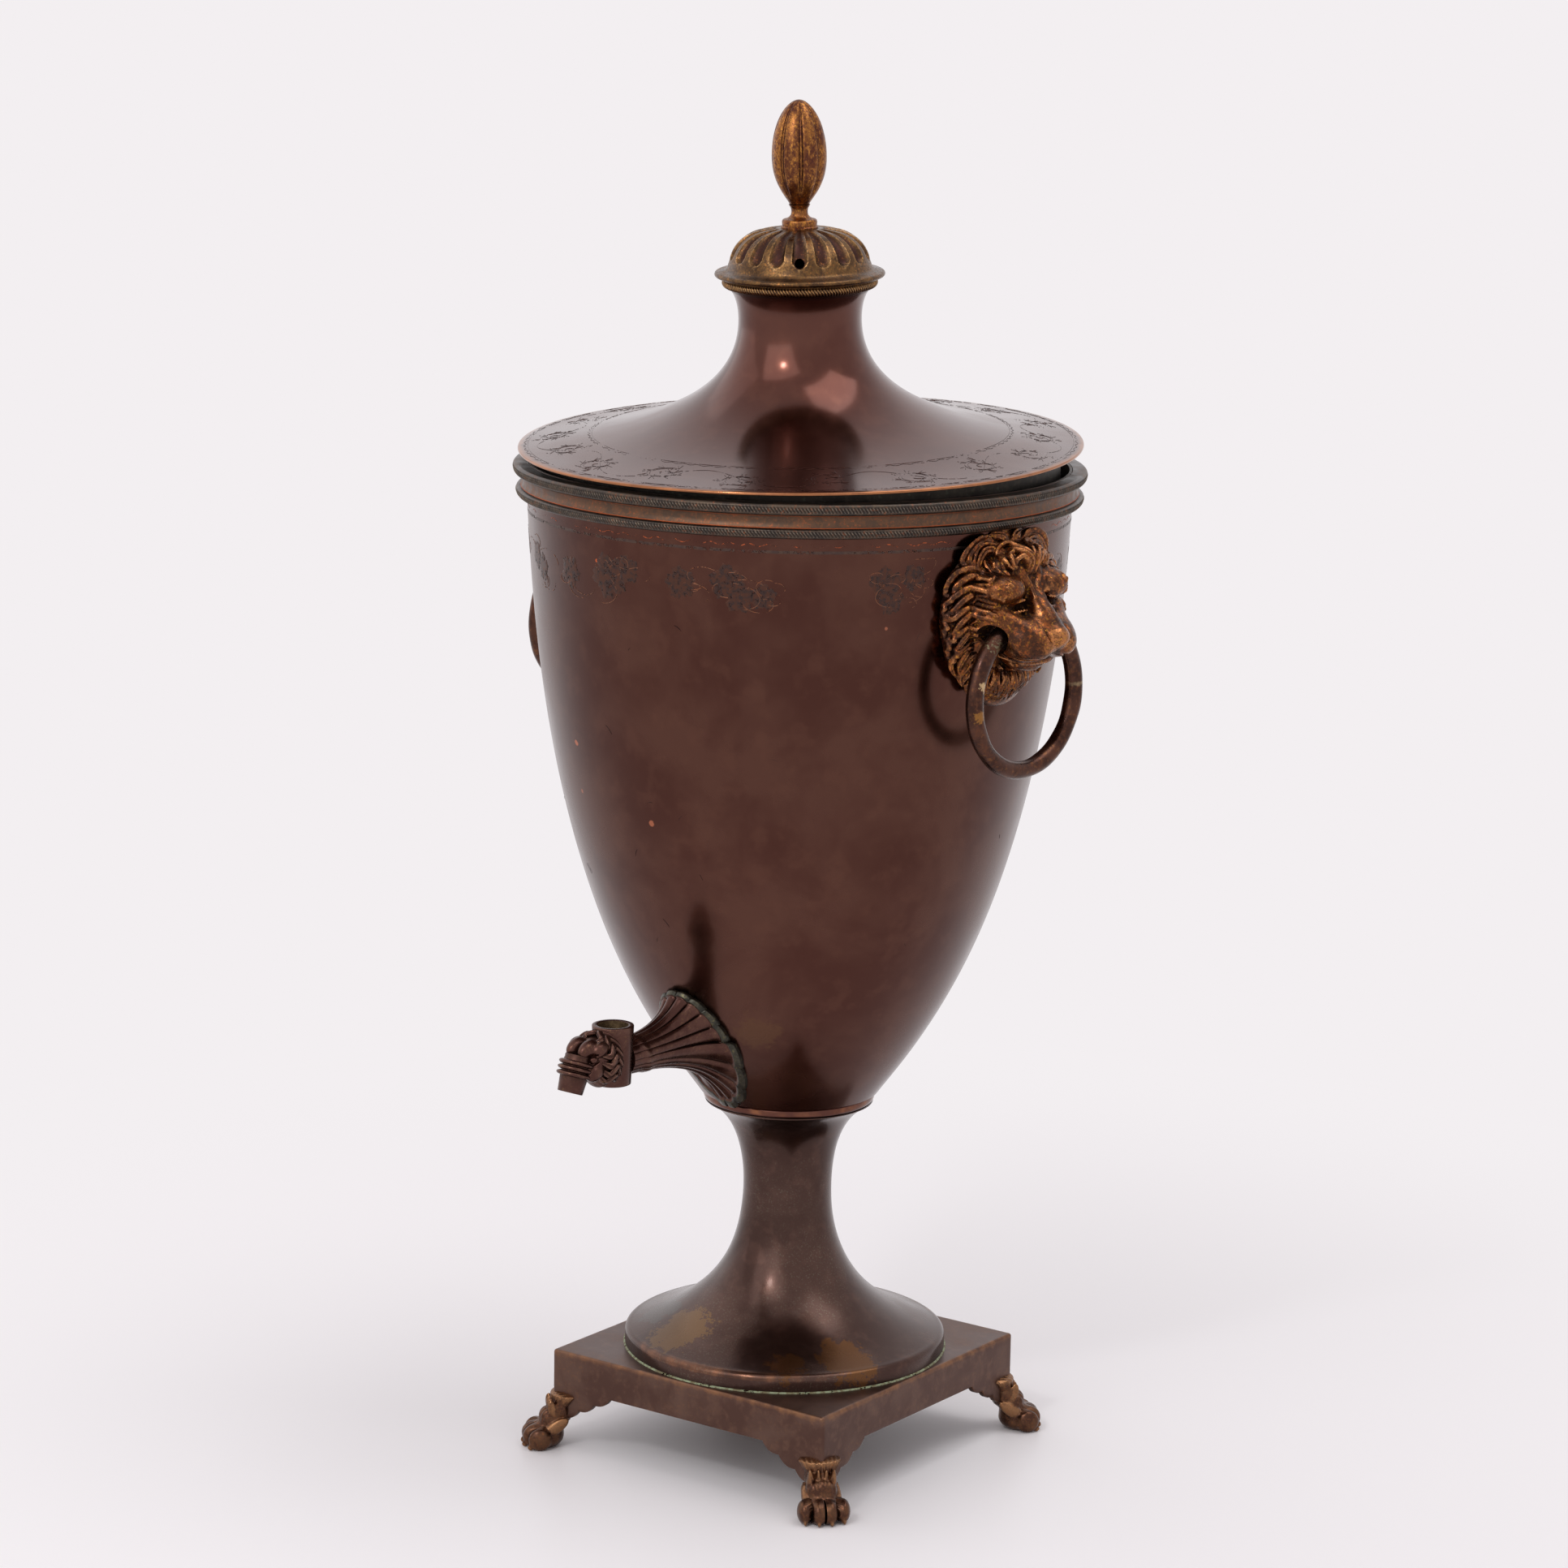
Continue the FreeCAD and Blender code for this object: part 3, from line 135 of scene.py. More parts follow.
def bezier(poles: Sequence[Point], count: int) -> Array:
    """Points of a cubic curve: each pole weighted by its Bernstein polynomial of t."""
    t = np.linspace(0, 1, count)[:, None]
    a, b, c, d = (np.asarray(pole, float) for pole in poles)
    return (1 - t) ** 3 * a + 3 * t * (1 - t) ** 2 * b + 3 * t * t * (1 - t) * c + t ** 3 * d


def through(points: Sequence[Point], count: int) -> Array:
    """Points of a smooth curve through given points: a cubic on each span, whose slope at a point
    is half the chord between that point's neighbours.

    Args:
        points: The points, in order.
        count: How many points come back, evenly spread over the spans.

    Returns:
        An array of count points.
    """
    knots = np.asarray(points, float)
    slope = np.gradient(knots, axis=0)
    place = np.linspace(0, len(knots) - 1 - 1e-9, count)
    span = place.astype(int)
    t = (place - span)[:, None]
    p, q, m, n = knots[span], knots[span + 1], slope[span], slope[span + 1]
    return ((2 * t ** 3 - 3 * t ** 2 + 1) * p + (t ** 3 - 2 * t ** 2 + t) * m
            + (3 * t ** 2 - 2 * t ** 3) * q + (t ** 3 - t ** 2) * n)


def normals_2d(profile: Array) -> Array:
    """The unit normal on the left of each point of a flat profile."""
    slope = np.gradient(profile, axis=0)
    slope /= np.maximum(np.linalg.norm(slope, axis=1, keepdims=True), 1e-9)
    return np.stack([-slope[:, 1], slope[:, 0]], axis=1)


def lathe(profile: Array, count: int, push: Optional[Array] = None) -> Array:
    """A profile of (radius, height) carried round Z: x = r sin t, y = -r cos t, z = h.

    Args:
        profile: The profile's points.
        count: How many columns go round.
        push: How far each point moves along the profile's left normal, as rows by columns.

    Returns:
        The surface as rows by columns by three.
    """
    t = round_turn(count)
    r, h = (np.repeat(profile[:, i:i + 1], count, axis=1) for i in (0, 1))
    if push is not None:
        normal = normals_2d(profile)
        r = r + push * normal[:, :1]
        h = h + push * normal[:, 1:]
    return beside(r * np.sin(t), -r * np.cos(t), h)


def turned(points: Array, degrees: float, axis: Point = (0, 0, 1), about: Point = (0, 0, 0)) -> Array:
    """Points turned about an axis through a point."""
    turn = np.array(Matrix.Rotation(radians(degrees), 3, axis))
    return (points - np.asarray(about)) @ turn.T + np.asarray(about)


def framed(points: Array, origin: Point, across: Point, ahead: Point, up: Point) -> Array:
    """Points from a local frame, given by its origin and three directions, to the urn's."""
    axes = np.stack([np.asarray(a, float) / np.linalg.norm(a) for a in (across, ahead, up)])
    return points @ axes + np.asarray(origin, float)


def carried(path: Array, width: Array, height: Array, up: Array, around: int = 14,
            strands: int = 0, depth: float = 0.0) -> tuple[Array, Array]:
    """An oval profile carried along a path. At each point of the path the profile spans the
    direction across (path's slope times up) and the direction up; its radius falls by depth
    times (1 + cos(strands t)) / 2, which leaves strands ridges along it.

    Args:
        path: The path's points.
        width: Half width at each point.
        height: Half height at each point.
        up: The direction that the height follows, one or one for each point.
        around: Columns round the profile.
        strands: How many ridges run along the piece.
        depth: How deep the grooves between the ridges are, as a share of the radius.

    Returns:
        The surface, and its relief from 0 in a groove to 1 on a ridge.
    """
    slope = np.gradient(path, axis=0)
    slope /= np.linalg.norm(slope, axis=1, keepdims=True)
    side = np.cross(slope, np.broadcast_to(up, path.shape))
    side /= np.maximum(np.linalg.norm(side, axis=1, keepdims=True), 1e-9)
    rise = np.cross(side, slope)
    t = round_turn(around)
    ridge = (1 - np.cos(strands * t)) / 2 if strands else np.full(around, 0.5)
    share = 1 - depth * (1 - ridge)
    across = (width[:, None] * np.cos(t) * share)[..., None] * side[:, None]
    tall = (height[:, None] * np.sin(t) * share)[..., None] * rise[:, None]
    plain = np.full((len(path), around), 0.6)
    relief = np.broadcast_to(ridge, plain.shape) if strands else plain
    return path[:, None] + across + tall, relief


class Workpiece:
    """One piece, gathered from grid surfaces and made into one mesh."""

    def __init__(self, name: str) -> None:
        """Starts an empty piece of that name."""
        self.name = name
        self.points: list[Array] = []
        self.faces: list[list[int]] = []
        self.relief: list[Array] = []
        self.finish: list[int] = []
        self.count = 0

    def add(self, grid: Array, *, ring: bool = True, loop: bool = False,
            poles: tuple[bool, bool] = (False, False), relief: Union[Array, float] = 0.5,
            finish: int = 0) -> "Workpiece":
        """Adds a closed grid surface, with its faces turned outward by the sign of its volume.

        Args:
            grid: Rows by columns by three.
            ring: The last column joins the first.
            loop: The last row joins the first.
            poles: Whether the first and the last row each close to one point.
            relief: How far each point stands out, from 0 in a groove to 1 on a crest.
            finish: Which of the piece's finishes this surface takes.

        Returns:
            This piece.
        """
        rows, columns = grid.shape[:2]
        index = np.arange(rows * columns).reshape(rows, columns)
        for row, closed in zip((0, -1), poles):
            if closed:
                index[row] = index[row, 0]
        if ring:
            index = np.hstack([index, index[:, :1]])
        if loop:
            index = np.vstack([index, index[:1]])
        corners = beside(index[:-1, :-1], index[:-1, 1:], index[1:, 1:], index[1:, :-1])
        corners = corners.reshape(-1, 4)
        flat = grid.reshape(-1, 3)
        a, b, c, d = (flat[corners[:, i]] for i in range(4))
        volume = np.sum(a * np.cross(b, c)) + np.sum(a * np.cross(c, d))
        if volume < 0:
            corners = corners[:, ::-1]
        used, packed = np.unique(corners, return_inverse=True)
        packed = packed.reshape(-1, 4) + self.count
        whole = (packed[:, 0] != packed[:, 1]) & (packed[:, 2] != packed[:, 3])
        whole &= (packed[:, 1] != packed[:, 2]) & (packed[:, 3] != packed[:, 0])
        made = packed[whole].tolist() + [list(dict.fromkeys(face)) for face in packed[~whole].tolist()]
        made = [face for face in made if len(face) > 2]
        self.faces += made
        self.finish += [finish] * len(made)
        self.points.append(flat[used])
        self.relief.append(np.broadcast_to(relief, (rows, columns)).reshape(-1)[used])
        self.count += len(used)
        return self

    def mesh(self) -> bpy.types.Mesh:
        """The piece's mesh, in metres, with its relief as an attribute."""
        mesh = bpy.data.meshes.new(self.name)
        mesh.from_pydata((np.vstack(self.points) * MM).tolist(), [], self.faces)
        mesh.polygons.foreach_set("material_index", np.array(self.finish, np.int32))
        relief = mesh.attributes.new("relief", "FLOAT", "POINT")
        relief.data.foreach_set("value", np.concatenate(self.relief).astype(np.float32))
        return mesh

    def make(self, finishes: Sequence[bpy.types.Material], body: Body, slot: Slot,
             stands_for: Sequence[str] = (), sharp: float = CREASE) -> bpy.types.Object:
        """Makes the object, dresses it and puts it on its body.

        Args:
            finishes: The piece's materials, in the order of their numbers in add.
            body: The body that it rides on.
            slot: The record's slot that its finish belongs to; not used.
            stands_for: The CAD nodes that it replaces.
            sharp: Edges that turn by more degrees than this stay crisp.

        Returns:
            The object.
        """
        mesh = self.mesh()
        mesh.shade_smooth()
        mesh.set_sharp_from_angle(angle=radians(sharp))
        piece = bpy.data.objects.new(self.name, mesh)
        bpy.context.scene.collection.objects.link(piece)
        for finish in finishes:
            mesh.materials.append(finish)
        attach(piece, body.value)
        if stands_for:
            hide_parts(*stands_for)
        LOG.info("%s: %d faces", self.name, len(self.faces))
        return piece


def hollowed(piece: bpy.types.Object, cutter: Workpiece) -> None:
    """Cuts a closed surface out of a piece and keeps the result as the piece's own mesh."""
    tool = bpy.data.objects.new("cutter", cutter.mesh())
    bpy.context.scene.collection.objects.link(tool)
    cut = piece.modifiers.new("cut", "BOOLEAN")
    cut.object = tool
    cut.operation = "DIFFERENCE"
    cut.solver = "EXACT"
    graph = bpy.context.evaluated_depsgraph_get()
    mesh = bpy.data.meshes.new_from_object(piece.evaluated_get(graph))
    piece.modifiers.clear()
    piece.data = mesh
    mesh.shade_smooth()
    mesh.set_sharp_from_angle(angle=radians(CREASE))
    bpy.data.objects.remove(tool)


class Signal:
    """A shader socket, on which Python's operators add the Math nodes that they stand for."""

    def __init__(self, shader: "Shader", socket: bpy.types.NodeSocket) -> None:
        """Wraps a socket of a shader's node."""
        self.shader = shader
        self.socket = socket

    def math(self, operation: str, *values: "Value") -> "Signal":
        """A Math node of that operation on these values."""
        return self.shader.node("ShaderNodeMath", {"operation": operation}, dict(enumerate(values)))

    def __add__(self, other: "Value") -> "Signal":
        """self + other."""
        return self.math("ADD", self, other)

    def __sub__(self, other: "Value") -> "Signal":
        """self - other."""
        return self.math("SUBTRACT", self, other)

    def __rsub__(self, other: "Value") -> "Signal":
        """other - self."""
        return self.math("SUBTRACT", other, self)

    def __mul__(self, other: "Value") -> "Signal":
        """self * other."""
        return self.math("MULTIPLY", self, other)

    def __truediv__(self, other: "Value") -> "Signal":
        """self / other."""
        return self.math("DIVIDE", self, other)

    __radd__ = __add__
    __rmul__ = __mul__

    def step(self, low: float, high: float, start: float = 0.0, end: float = 1.0) -> "Signal":
        """start below low, end above high, and a smooth step between them."""
        return self.shader.node("ShaderNodeMapRange", {"interpolation_type": "SMOOTHSTEP"},
                                {0: self, 1: low, 2: high, 3: start, 4: end})


Value = Union[Signal, float]
Tint = Union[Signal, Colour]


class Shader:
    """A material under construction."""

    def __init__(self, name: str) -> None:
        """Starts an empty material of that name."""
        self.material = bpy.data.materials.new(name)
        self.material.use_nodes = True
        self.tree = self.material.node_tree
        self.tree.nodes.clear()
        self.place = self.node("ShaderNodeTexCoord", output="Object")

    def node(self, kind: str, settings: Optional[dict] = None, inputs: Optional[dict] = None,
             output: Union[int, str] = 0) -> Signal:
        """Adds a node.

        Args:
            kind: The node's type.
            settings: Its properties, such as a Math node's operation, set first.
            inputs: Values or signals for its sockets, by name or number.
            output: The socket that comes back.

        Returns:
            The output socket.
        """
        node = self.tree.nodes.new(kind)
        for key, value in (settings or {}).items():
            setattr(node, key, value)
        for key, value in (inputs or {}).items():
            socket = node.inputs[key]
            if isinstance(value, Signal):
                self.tree.links.new(value.socket, socket)
            elif isinstance(value, tuple) and socket.type == "RGBA":
                socket.default_value = (*value[:3], 1.0)
            else:
                socket.default_value = value
        return Signal(self, node.outputs[output])

    def noise(self, size: float, detail: float = 3.0, place: Optional[Signal] = None,
              bend: float = 0.0) -> Signal:
        """Noise whose features are about that many millimetres wide."""
        return self.node("ShaderNodeTexNoise", None, {
            "Vector": place or self.place, "Scale": 1 / (size * MM), "Detail": detail,
            "Roughness": 0.55, "Distortion": bend})

    def stretched(self, factors: Point) -> Signal:
        """The place, stretched by a factor along each axis."""
        return self.node("ShaderNodeVectorMath", {"operation": "MULTIPLY"}, {0: self.place, 1: factors})

    def distance(self, point: Point) -> Signal:
        """Distance in millimetres from a point of the urn."""
        metres = self.node("ShaderNodeVectorMath", {"operation": "DISTANCE"},
                           {0: self.place, 1: tuple(p * MM for p in point)}, "Value")
        return metres / MM

    def relief(self) -> Signal:
        """How far the surface stands out here, from 0 in a groove to 1 on a crest."""
        return self.node("ShaderNodeAttribute", {"attribute_name": "relief"}, output="Fac")

    def mix(self, share: Value, first: Tint, second: Tint) -> Signal:
        """A colour between two, by share."""
        return self.node("ShaderNodeMix", {"data_type": "RGBA"}, {0: share, 6: first, 7: second}, 2)

    def finish(self, sockets: dict, height: Signal, bump: float) -> bpy.types.Material:
        """Ends the material in a Principled shader.

        Args:
            sockets: The shader's sockets by name.
            height: The surface's fine height, from 0 to 1.
            bump: How many millimetres that height spans.

        Returns:
            The material.
        """
        normal = self.node("ShaderNodeBump", None,
                           {"Strength": 1.0, "Distance": bump * MM, "Height": height})
        skin = self.node("ShaderNodeBsdfPrincipled", None, {**sockets, "Normal": normal})
        self.node_out(skin)
        return self.material

    def node_out(self, surface: Signal) -> None:
        """Links a surface to the material's output."""
        out = self.tree.nodes.new("ShaderNodeOutputMaterial")
        self.tree.links.new(surface.socket, out.inputs["Surface"])


@dataclass(frozen=True)
class Spot:
    """A chip, stain or worn patch at a place of the urn."""

    centre: Point
    radius: float
    colour: Colour
    edge: float = 0.35
    strength: float = 1.0


@dataclass(frozen=True)
class Patina:
    """A metal with its patina: a mottled ground, grooves painted dark as patina and painted occlusion
    shade, crests painted light as wear and a painted highlight, flecks and spots.

    Attributes:
        name: The material's name.
        dark, body, light: The mottled ground's three tones.
        groove, crest: The tones of grooves, dark patina with painted occlusion shade, and of crests,
            worn metal with a painted highlight, which follow the relief.
        fleck, speck: The tones of scattered bright and dark grains, each with its share.
        mottle, grain: How wide the clouds and the finest grain are, in millimetres.
        light_share, groove_share, crest_share: How strongly those tones cover the ground.
        rough: The roughness of the dark and of the pale clouds.
        bump: How many millimetres the fine height spans.
        uses_relief: Whether the piece's relief drives grooves and crests.
        stretch: Factors along the three axes, which draw the mottling out.
    """

    name: str
    dark: Colour
    body: Colour
    light: Colour
    groove: Colour
    crest: Colour
    fleck: Colour
    mottle: float = 14.0
    light_share: float = 0.5
    groove_share: float = 0.9
    crest_share: float = 0.7
    fleck_share: float = 0.0
    fleck_size: float = 1.6
    speck: Colour = srgb(30, 22, 24)
    speck_share: float = 0.0
    metallic: float = 0.9
    rough: tuple[float, float] = (0.25, 0.4)
    bump: float = 0.03
    grain: float = 1.2
    coat: float = 0.0
    uses_relief: bool = True
    spots: tuple[Spot, ...] = ()
    stretch: Point = (1.0, 1.0, 1.0)

    def make(self) -> bpy.types.Material:
        """Builds the material."""
        shader = Shader(self.name)
        place = shader.stretched(self.stretch)
        cloud = shader.noise(self.mottle, 4.0, place, 0.3)
        fine = shader.noise(self.mottle / 5, 4.0, place)
        grain = shader.noise(self.grain, 2.0)
        colour = shader.mix(cloud.step(0.38, 0.64), self.dark, self.body)
        colour = shader.mix(fine.step(0.48, 0.7) * self.light_share, colour, self.light)
        rough = cloud.step(0.3, 0.7, *self.rough)
        if self.uses_relief:
            relief = shader.relief()
            # Low relief is painted dark, as patina in the hollows and as painted occlusion shade; high
            # relief is painted light, as wear and as a painted highlight on the crests.
            sunk = relief.step(0.0, 0.5, self.groove_share, 0.0)
            worn = (relief + (fine - 0.5) * 0.5).step(0.62, 1.0, 0.0, self.crest_share)
            colour = shader.mix(sunk, colour, self.groove)
            colour = shader.mix(worn, colour, self.crest)
            rough = rough + sunk * 0.25 - worn * 0.08
        if self.fleck_share:
            fleck = shader.noise(self.fleck_size, 3.0, place).step(0.56, 0.66) * cloud.step(0.35, 0.6)
            colour = shader.mix(fleck * self.fleck_share, colour, self.fleck)
        if self.speck_share:
            speck = shader.noise(self.fleck_size * 0.8, 4.0, place, 0.5).step(0.5, 0.6)
            colour = shader.mix(speck * self.speck_share, colour, self.speck)
            rough = rough + speck * 0.12
        for spot in self.spots:
            near = shader.distance(spot.centre) / spot.radius + (fine - 0.5) * 1.6 + (grain - 0.5) * 0.8
            colour = shader.mix(near.step(1.0, 1.0 - spot.edge) * spot.strength, colour, spot.colour)
        height = grain * 0.35 + fine * 0.65
        return shader.finish({"Base Color": colour, "Metallic": self.metallic, "Roughness": rough,
                              "Coat Weight": self.coat, "Coat Roughness": 0.12}, height, self.bump)


RUST_COPPER = srgb(196, 92, 48)
URN_SPOTS = (
    Spot((-28.5, -93.1, 296.5), 1.6, srgb(168, 96, 66)),
    Spot((11.4, -91.6, 270.7), 1.3, srgb(160, 96, 70)),
    Spot((-29.7, -88.7, 276.5), 1.0, srgb(150, 90, 64)),
    Spot((31.0, -53.3, 186.1), 11.0, srgb(96, 66, 46), 0.5, 0.6),
    Spot((-5.5, -105.5, 371.5), 0.9, RUST_COPPER),
    Spot((92.0, -50.0, 352.0), 0.8, srgb(150, 92, 70)),
)
STEM_SPOTS = (
    Spot((-12.0, -47.0, 52.0), 14.0, srgb(112, 84, 54), 0.14, 0.7),
    Spot((52.0, -20.0, 49.0), 12.0, srgb(104, 68, 36), 0.12, 0.8),
    Spot((40.0, -40.0, 46.0), 8.0, srgb(106, 70, 38), 0.12, 0.7),
    Spot((-36.0, -34.0, 52.0), 11.0, srgb(86, 84, 80), 0.14, 0.5),
)
PLINTH_SPOTS = (
    Spot((31.0, -78.0, 32.0), 4.2, srgb(150, 88, 44), 0.3, 0.9),
    Spot((27.0, -78.0, 26.0), 2.6, srgb(150, 88, 44), 0.3, 0.8),
    Spot((8.0, -74.0, 30.0), 2.2, srgb(132, 92, 62), 0.3, 0.7),
)
BOWL_PATINA = Patina(
    "bronzed_copper", *tones("492a22 56372d 5e3d31 2c1814 b06840"), RUST_COPPER,
    mottle=46.0, light_share=0.35, metallic=1.0,
    rough=(0.2, 0.3), bump=0.012, grain=1.6, coat=0.15, spots=URN_SPOTS)
LID_PATINA = Patina(
    "bronzed_copper_lid", *tones("522e25 5c382e 663f32 261610 b8784a"), RUST_COPPER,
    mottle=38.0, light_share=0.35, metallic=1.0, rough=(0.15, 0.26), bump=0.012, grain=1.6, coat=0.3)
STEM_PATINA = Patina(
    "bronzed_copper_foot", *tones("422e28 4e3932 5c433a 281c14 966444 969682"),
    mottle=30.0, light_share=0.4,
    rough=(0.2, 0.32), grain=1.0, fleck_share=0.12, fleck_size=0.7, coat=0.1, spots=STEM_SPOTS)
PLINTH_PATINA = Patina(
    "bronzed_plinth", *tones("523a32 624a40 6c5042 2e221c 966844 8c603c"),
    mottle=22.0, metallic=0.85,
    rough=(0.28, 0.42), grain=0.9, fleck_share=0.15, fleck_size=1.4, spots=PLINTH_SPOTS)
MOULDING_PATINA = Patina(
    "dark_moulding_bronze", *tones("3e3834 54483e 605042 1e1a18 968c7e c46838"),
    mottle=9.0,
    rough=(0.28, 0.42), bump=0.02, grain=0.6, fleck_share=0.22, fleck_size=1.2, crest_share=0.8)
COVE_PATINA = Patina(
    "cove_bronze", *tones("544236 684c3a 7a5238 be5a2c 968c7e ce6432"),
    mottle=7.0, light_share=0.6, metallic=0.85,
    rough=(0.34, 0.5), bump=0.02, grain=0.5, fleck_share=0.3, fleck_size=0.9)
GILT_PATINA = Patina(
    "worn_gilding", *tones("623a28 8e5c32 b07438 2c1c1c d69c5a f6b24a"),
    mottle=6.0, light_share=0.7, metallic=1.0,
    rough=(0.2, 0.38), bump=0.035, grain=0.5, fleck_share=0.4, fleck_size=0.8, crest_share=0.5,
    speck=srgb(64, 36, 42), speck_share=0.62, stretch=(1.0, 1.0, 0.6))
CAP_PATINA = Patina(
    "gilt_bronze_cap", *tones("4e3a2a 6e5234 886238 3a2222 c49864 ce8246"),
    mottle=6.0, light_share=0.55, metallic=1.0,
    rough=(0.22, 0.38), grain=0.5, fleck_share=0.3, fleck_size=0.9, crest_share=0.6,
    speck=srgb(62, 48, 42), speck_share=0.5)
# The mask's pale crest tone and bright flecks are worn gilding and also painted highlights and glints
# on its relief.
MASK_PATINA = Patina(
    "dark_gilt_mask", *tones("483026 70442a a2582c 281c18 ce8c58 e8a238"),
    mottle=9.0, light_share=0.65, metallic=1.0,
    rough=(0.2, 0.36), bump=0.04, grain=0.6, fleck_share=0.42, fleck_size=1.0, crest_share=0.5,
    speck=srgb(54, 38, 32), speck_share=0.6)
TAP_PATINA = Patina(
    "tap_bronze", *tones("4a302a 583c34 604238 32221c 826858 ba9654"),
    mottle=12.0, light_share=0.4,
    rough=(0.2, 0.34), grain=0.8, fleck_share=0.08, fleck_size=1.2, crest_share=0.35,
    spots=(Spot((0.4, -66.0, 197.0), 2.6, srgb(196, 160, 84), 0.3, 0.8),
           Spot((10.5, -45.0, 153.0), 2.6, srgb(170, 176, 96), 0.3, 0.9)))
TAP_EDGE_PATINA = Patina(
    "tap_edge_bronze", *tones("2c2b26 3c3a33 4e4b3f 221e1a 625e4e aa9c5c"),
    mottle=5.0, light_share=0.6, metallic=0.8,
    rough=(0.3, 0.46), grain=0.7, fleck_share=0.2, fleck_size=1.2, crest_share=0.4)
BORE_PATINA = Patina(
    "tap_bore", *tones("604e38 846e50 96805c 3c3022 968464 a08c5a"),
    mottle=6.0, metallic=0.7, rough=(0.4, 0.55), bump=0.04, grain=0.7, uses_relief=False)
FOOT_PATINA = Patina(
    "paw_bronze", *tones("4a3228 604432 764e36 261c18 a87c56 b06434"),
    mottle=5.0, metallic=0.95,
    rough=(0.22, 0.38), bump=0.04, grain=0.6, fleck_share=0.2, fleck_size=0.8, crest_share=0.45)
RING_PATINA = Patina(
    "ring_bronze", *tones("3e2a24 54382e 643e2c 281c18 a89270 b07842"),
    mottle=8.0, light_share=0.6, metallic=0.95,
    rough=(0.2, 0.34), grain=0.8, fleck_share=0.16, fleck_size=2.2, crest_share=0.85,
    spots=(Spot((118.0, -19.5, 344.0), 4.6, srgb(128, 118, 92), 0.3, 0.85),
           Spot((120.5, -27.6, 331.0), 2.2, srgb(196, 166, 124), 0.3, 0.9),
           Spot((120.5, -28.8, 320.0), 2.8, srgb(150, 104, 54), 0.3, 0.8)))
TINNED_PATINA = Patina(
    "tinned_copper", *tones("6c6660 88827a 98928a 4a3e34 a8a096 926446"),
    mottle=20.0, rough=(0.4, 0.58), bump=0.04, grain=1.5, fleck_share=0.2, fleck_size=3.0)
# The bezel's tinning is painted much darker than the lining's: old tinning, and painted shade of the
# gap under the brim.
BEZEL_PATINA = Patina(
    "old_tinned_bezel_in_painted_shade", *tones("302c28 423c36 50483e 1e1a16 786446 647060"),
    mottle=12.0, metallic=0.8,
    rough=(0.4, 0.55), bump=0.04, grain=1.0, fleck_share=0.25, fleck_size=2.0)
IRON_PATINA = Patina(
    "scaled_iron", *tones("2c2826 423c38 58483c 1c1816 6e6862 78462c"),
    mottle=10.0, light_share=0.6, metallic=0.7,
    rough=(0.5, 0.7), bump=0.12, grain=1.4, fleck_share=0.4, fleck_size=2.6, uses_relief=False)
BRASS_PATINA = Patina(
    "fastener_brass", *tones("6e5630 927442 a88650 3c2e1c bea064 5a462c"),
    mottle=4.0, metallic=0.95,
    rough=(0.3, 0.45), bump=0.04, grain=0.7, fleck_share=0.3, fleck_size=1.2, uses_relief=False)
LEDGE_PATINA = Patina(
    "tinned_ledge", *tones("605850 787066 888074 3c3228 968c80 825c3e"),
    mottle=9.0, metallic=0.85,
    rough=(0.42, 0.58), bump=0.05, grain=1.0, fleck_share=0.25, fleck_size=2.0, uses_relief=False)


@dataclass(frozen=True)
class Engraving:
    """Worn marks drawn in the copper: a stroke's colour, with wear that breaks it up."""

    name: str
    first: Colour
    second: Colour
    kept: float = 0.5
    wear_size: float = 5.0
    metallic: float = 0.8
    rough: float = 0.36

    def make(self) -> bpy.types.Material:
        """Builds the material, whose alpha is 0 where the mark has worn away."""
        shader = Shader(self.name)
        wear = shader.noise(self.wear_size, 3.0) + (shader.noise(1.1, 2.0) - 0.5) * 0.7
        alpha = wear.step(1.0 - self.kept - 0.06, 1.0 - self.kept + 0.06)
        colour = shader.mix(shader.noise(1.8, 3.0).step(0.4, 0.62), self.first, self.second)
        return shader.finish({"Base Color": colour, "Metallic": self.metallic, "Roughness": self.rough,
                              "Alpha": alpha}, shader.noise(0.8), 0.03)


LID_SCROLL_INK = Engraving(
    "engraved_lid_line", srgb(76, 45, 37), srgb(64, 38, 34), 0.52, 7.0, 0.95, 0.28)
LEAF_GROUND = Engraving("worn_leaf_ground", srgb(64, 50, 47), srgb(82, 54, 44), 0.66, 1.8, 0.9, 0.36)
TENDRIL_LINE = Engraving("scratched_tendril", srgb(112, 76, 58), srgb(124, 76, 52), 0.5, 4.0)
WAVE_LINE = Engraving("engraved_wave", srgb(176, 88, 52), srgb(104, 58, 42), 0.44, 7.0)
GREY_LINE = Engraving("worn_border_line", srgb(74, 58, 54), srgb(84, 66, 58), 0.55, 6.0, 0.9)
SCRATCH_LINE = Engraving("dark_scratch", srgb(40, 28, 28), srgb(60, 38, 34), 0.75, 2.0)
VERDIGRIS_LINE = Engraving("verdigris", srgb(150, 160, 128), srgb(112, 104, 74), 0.66, 6.0, 0.1, 0.6)


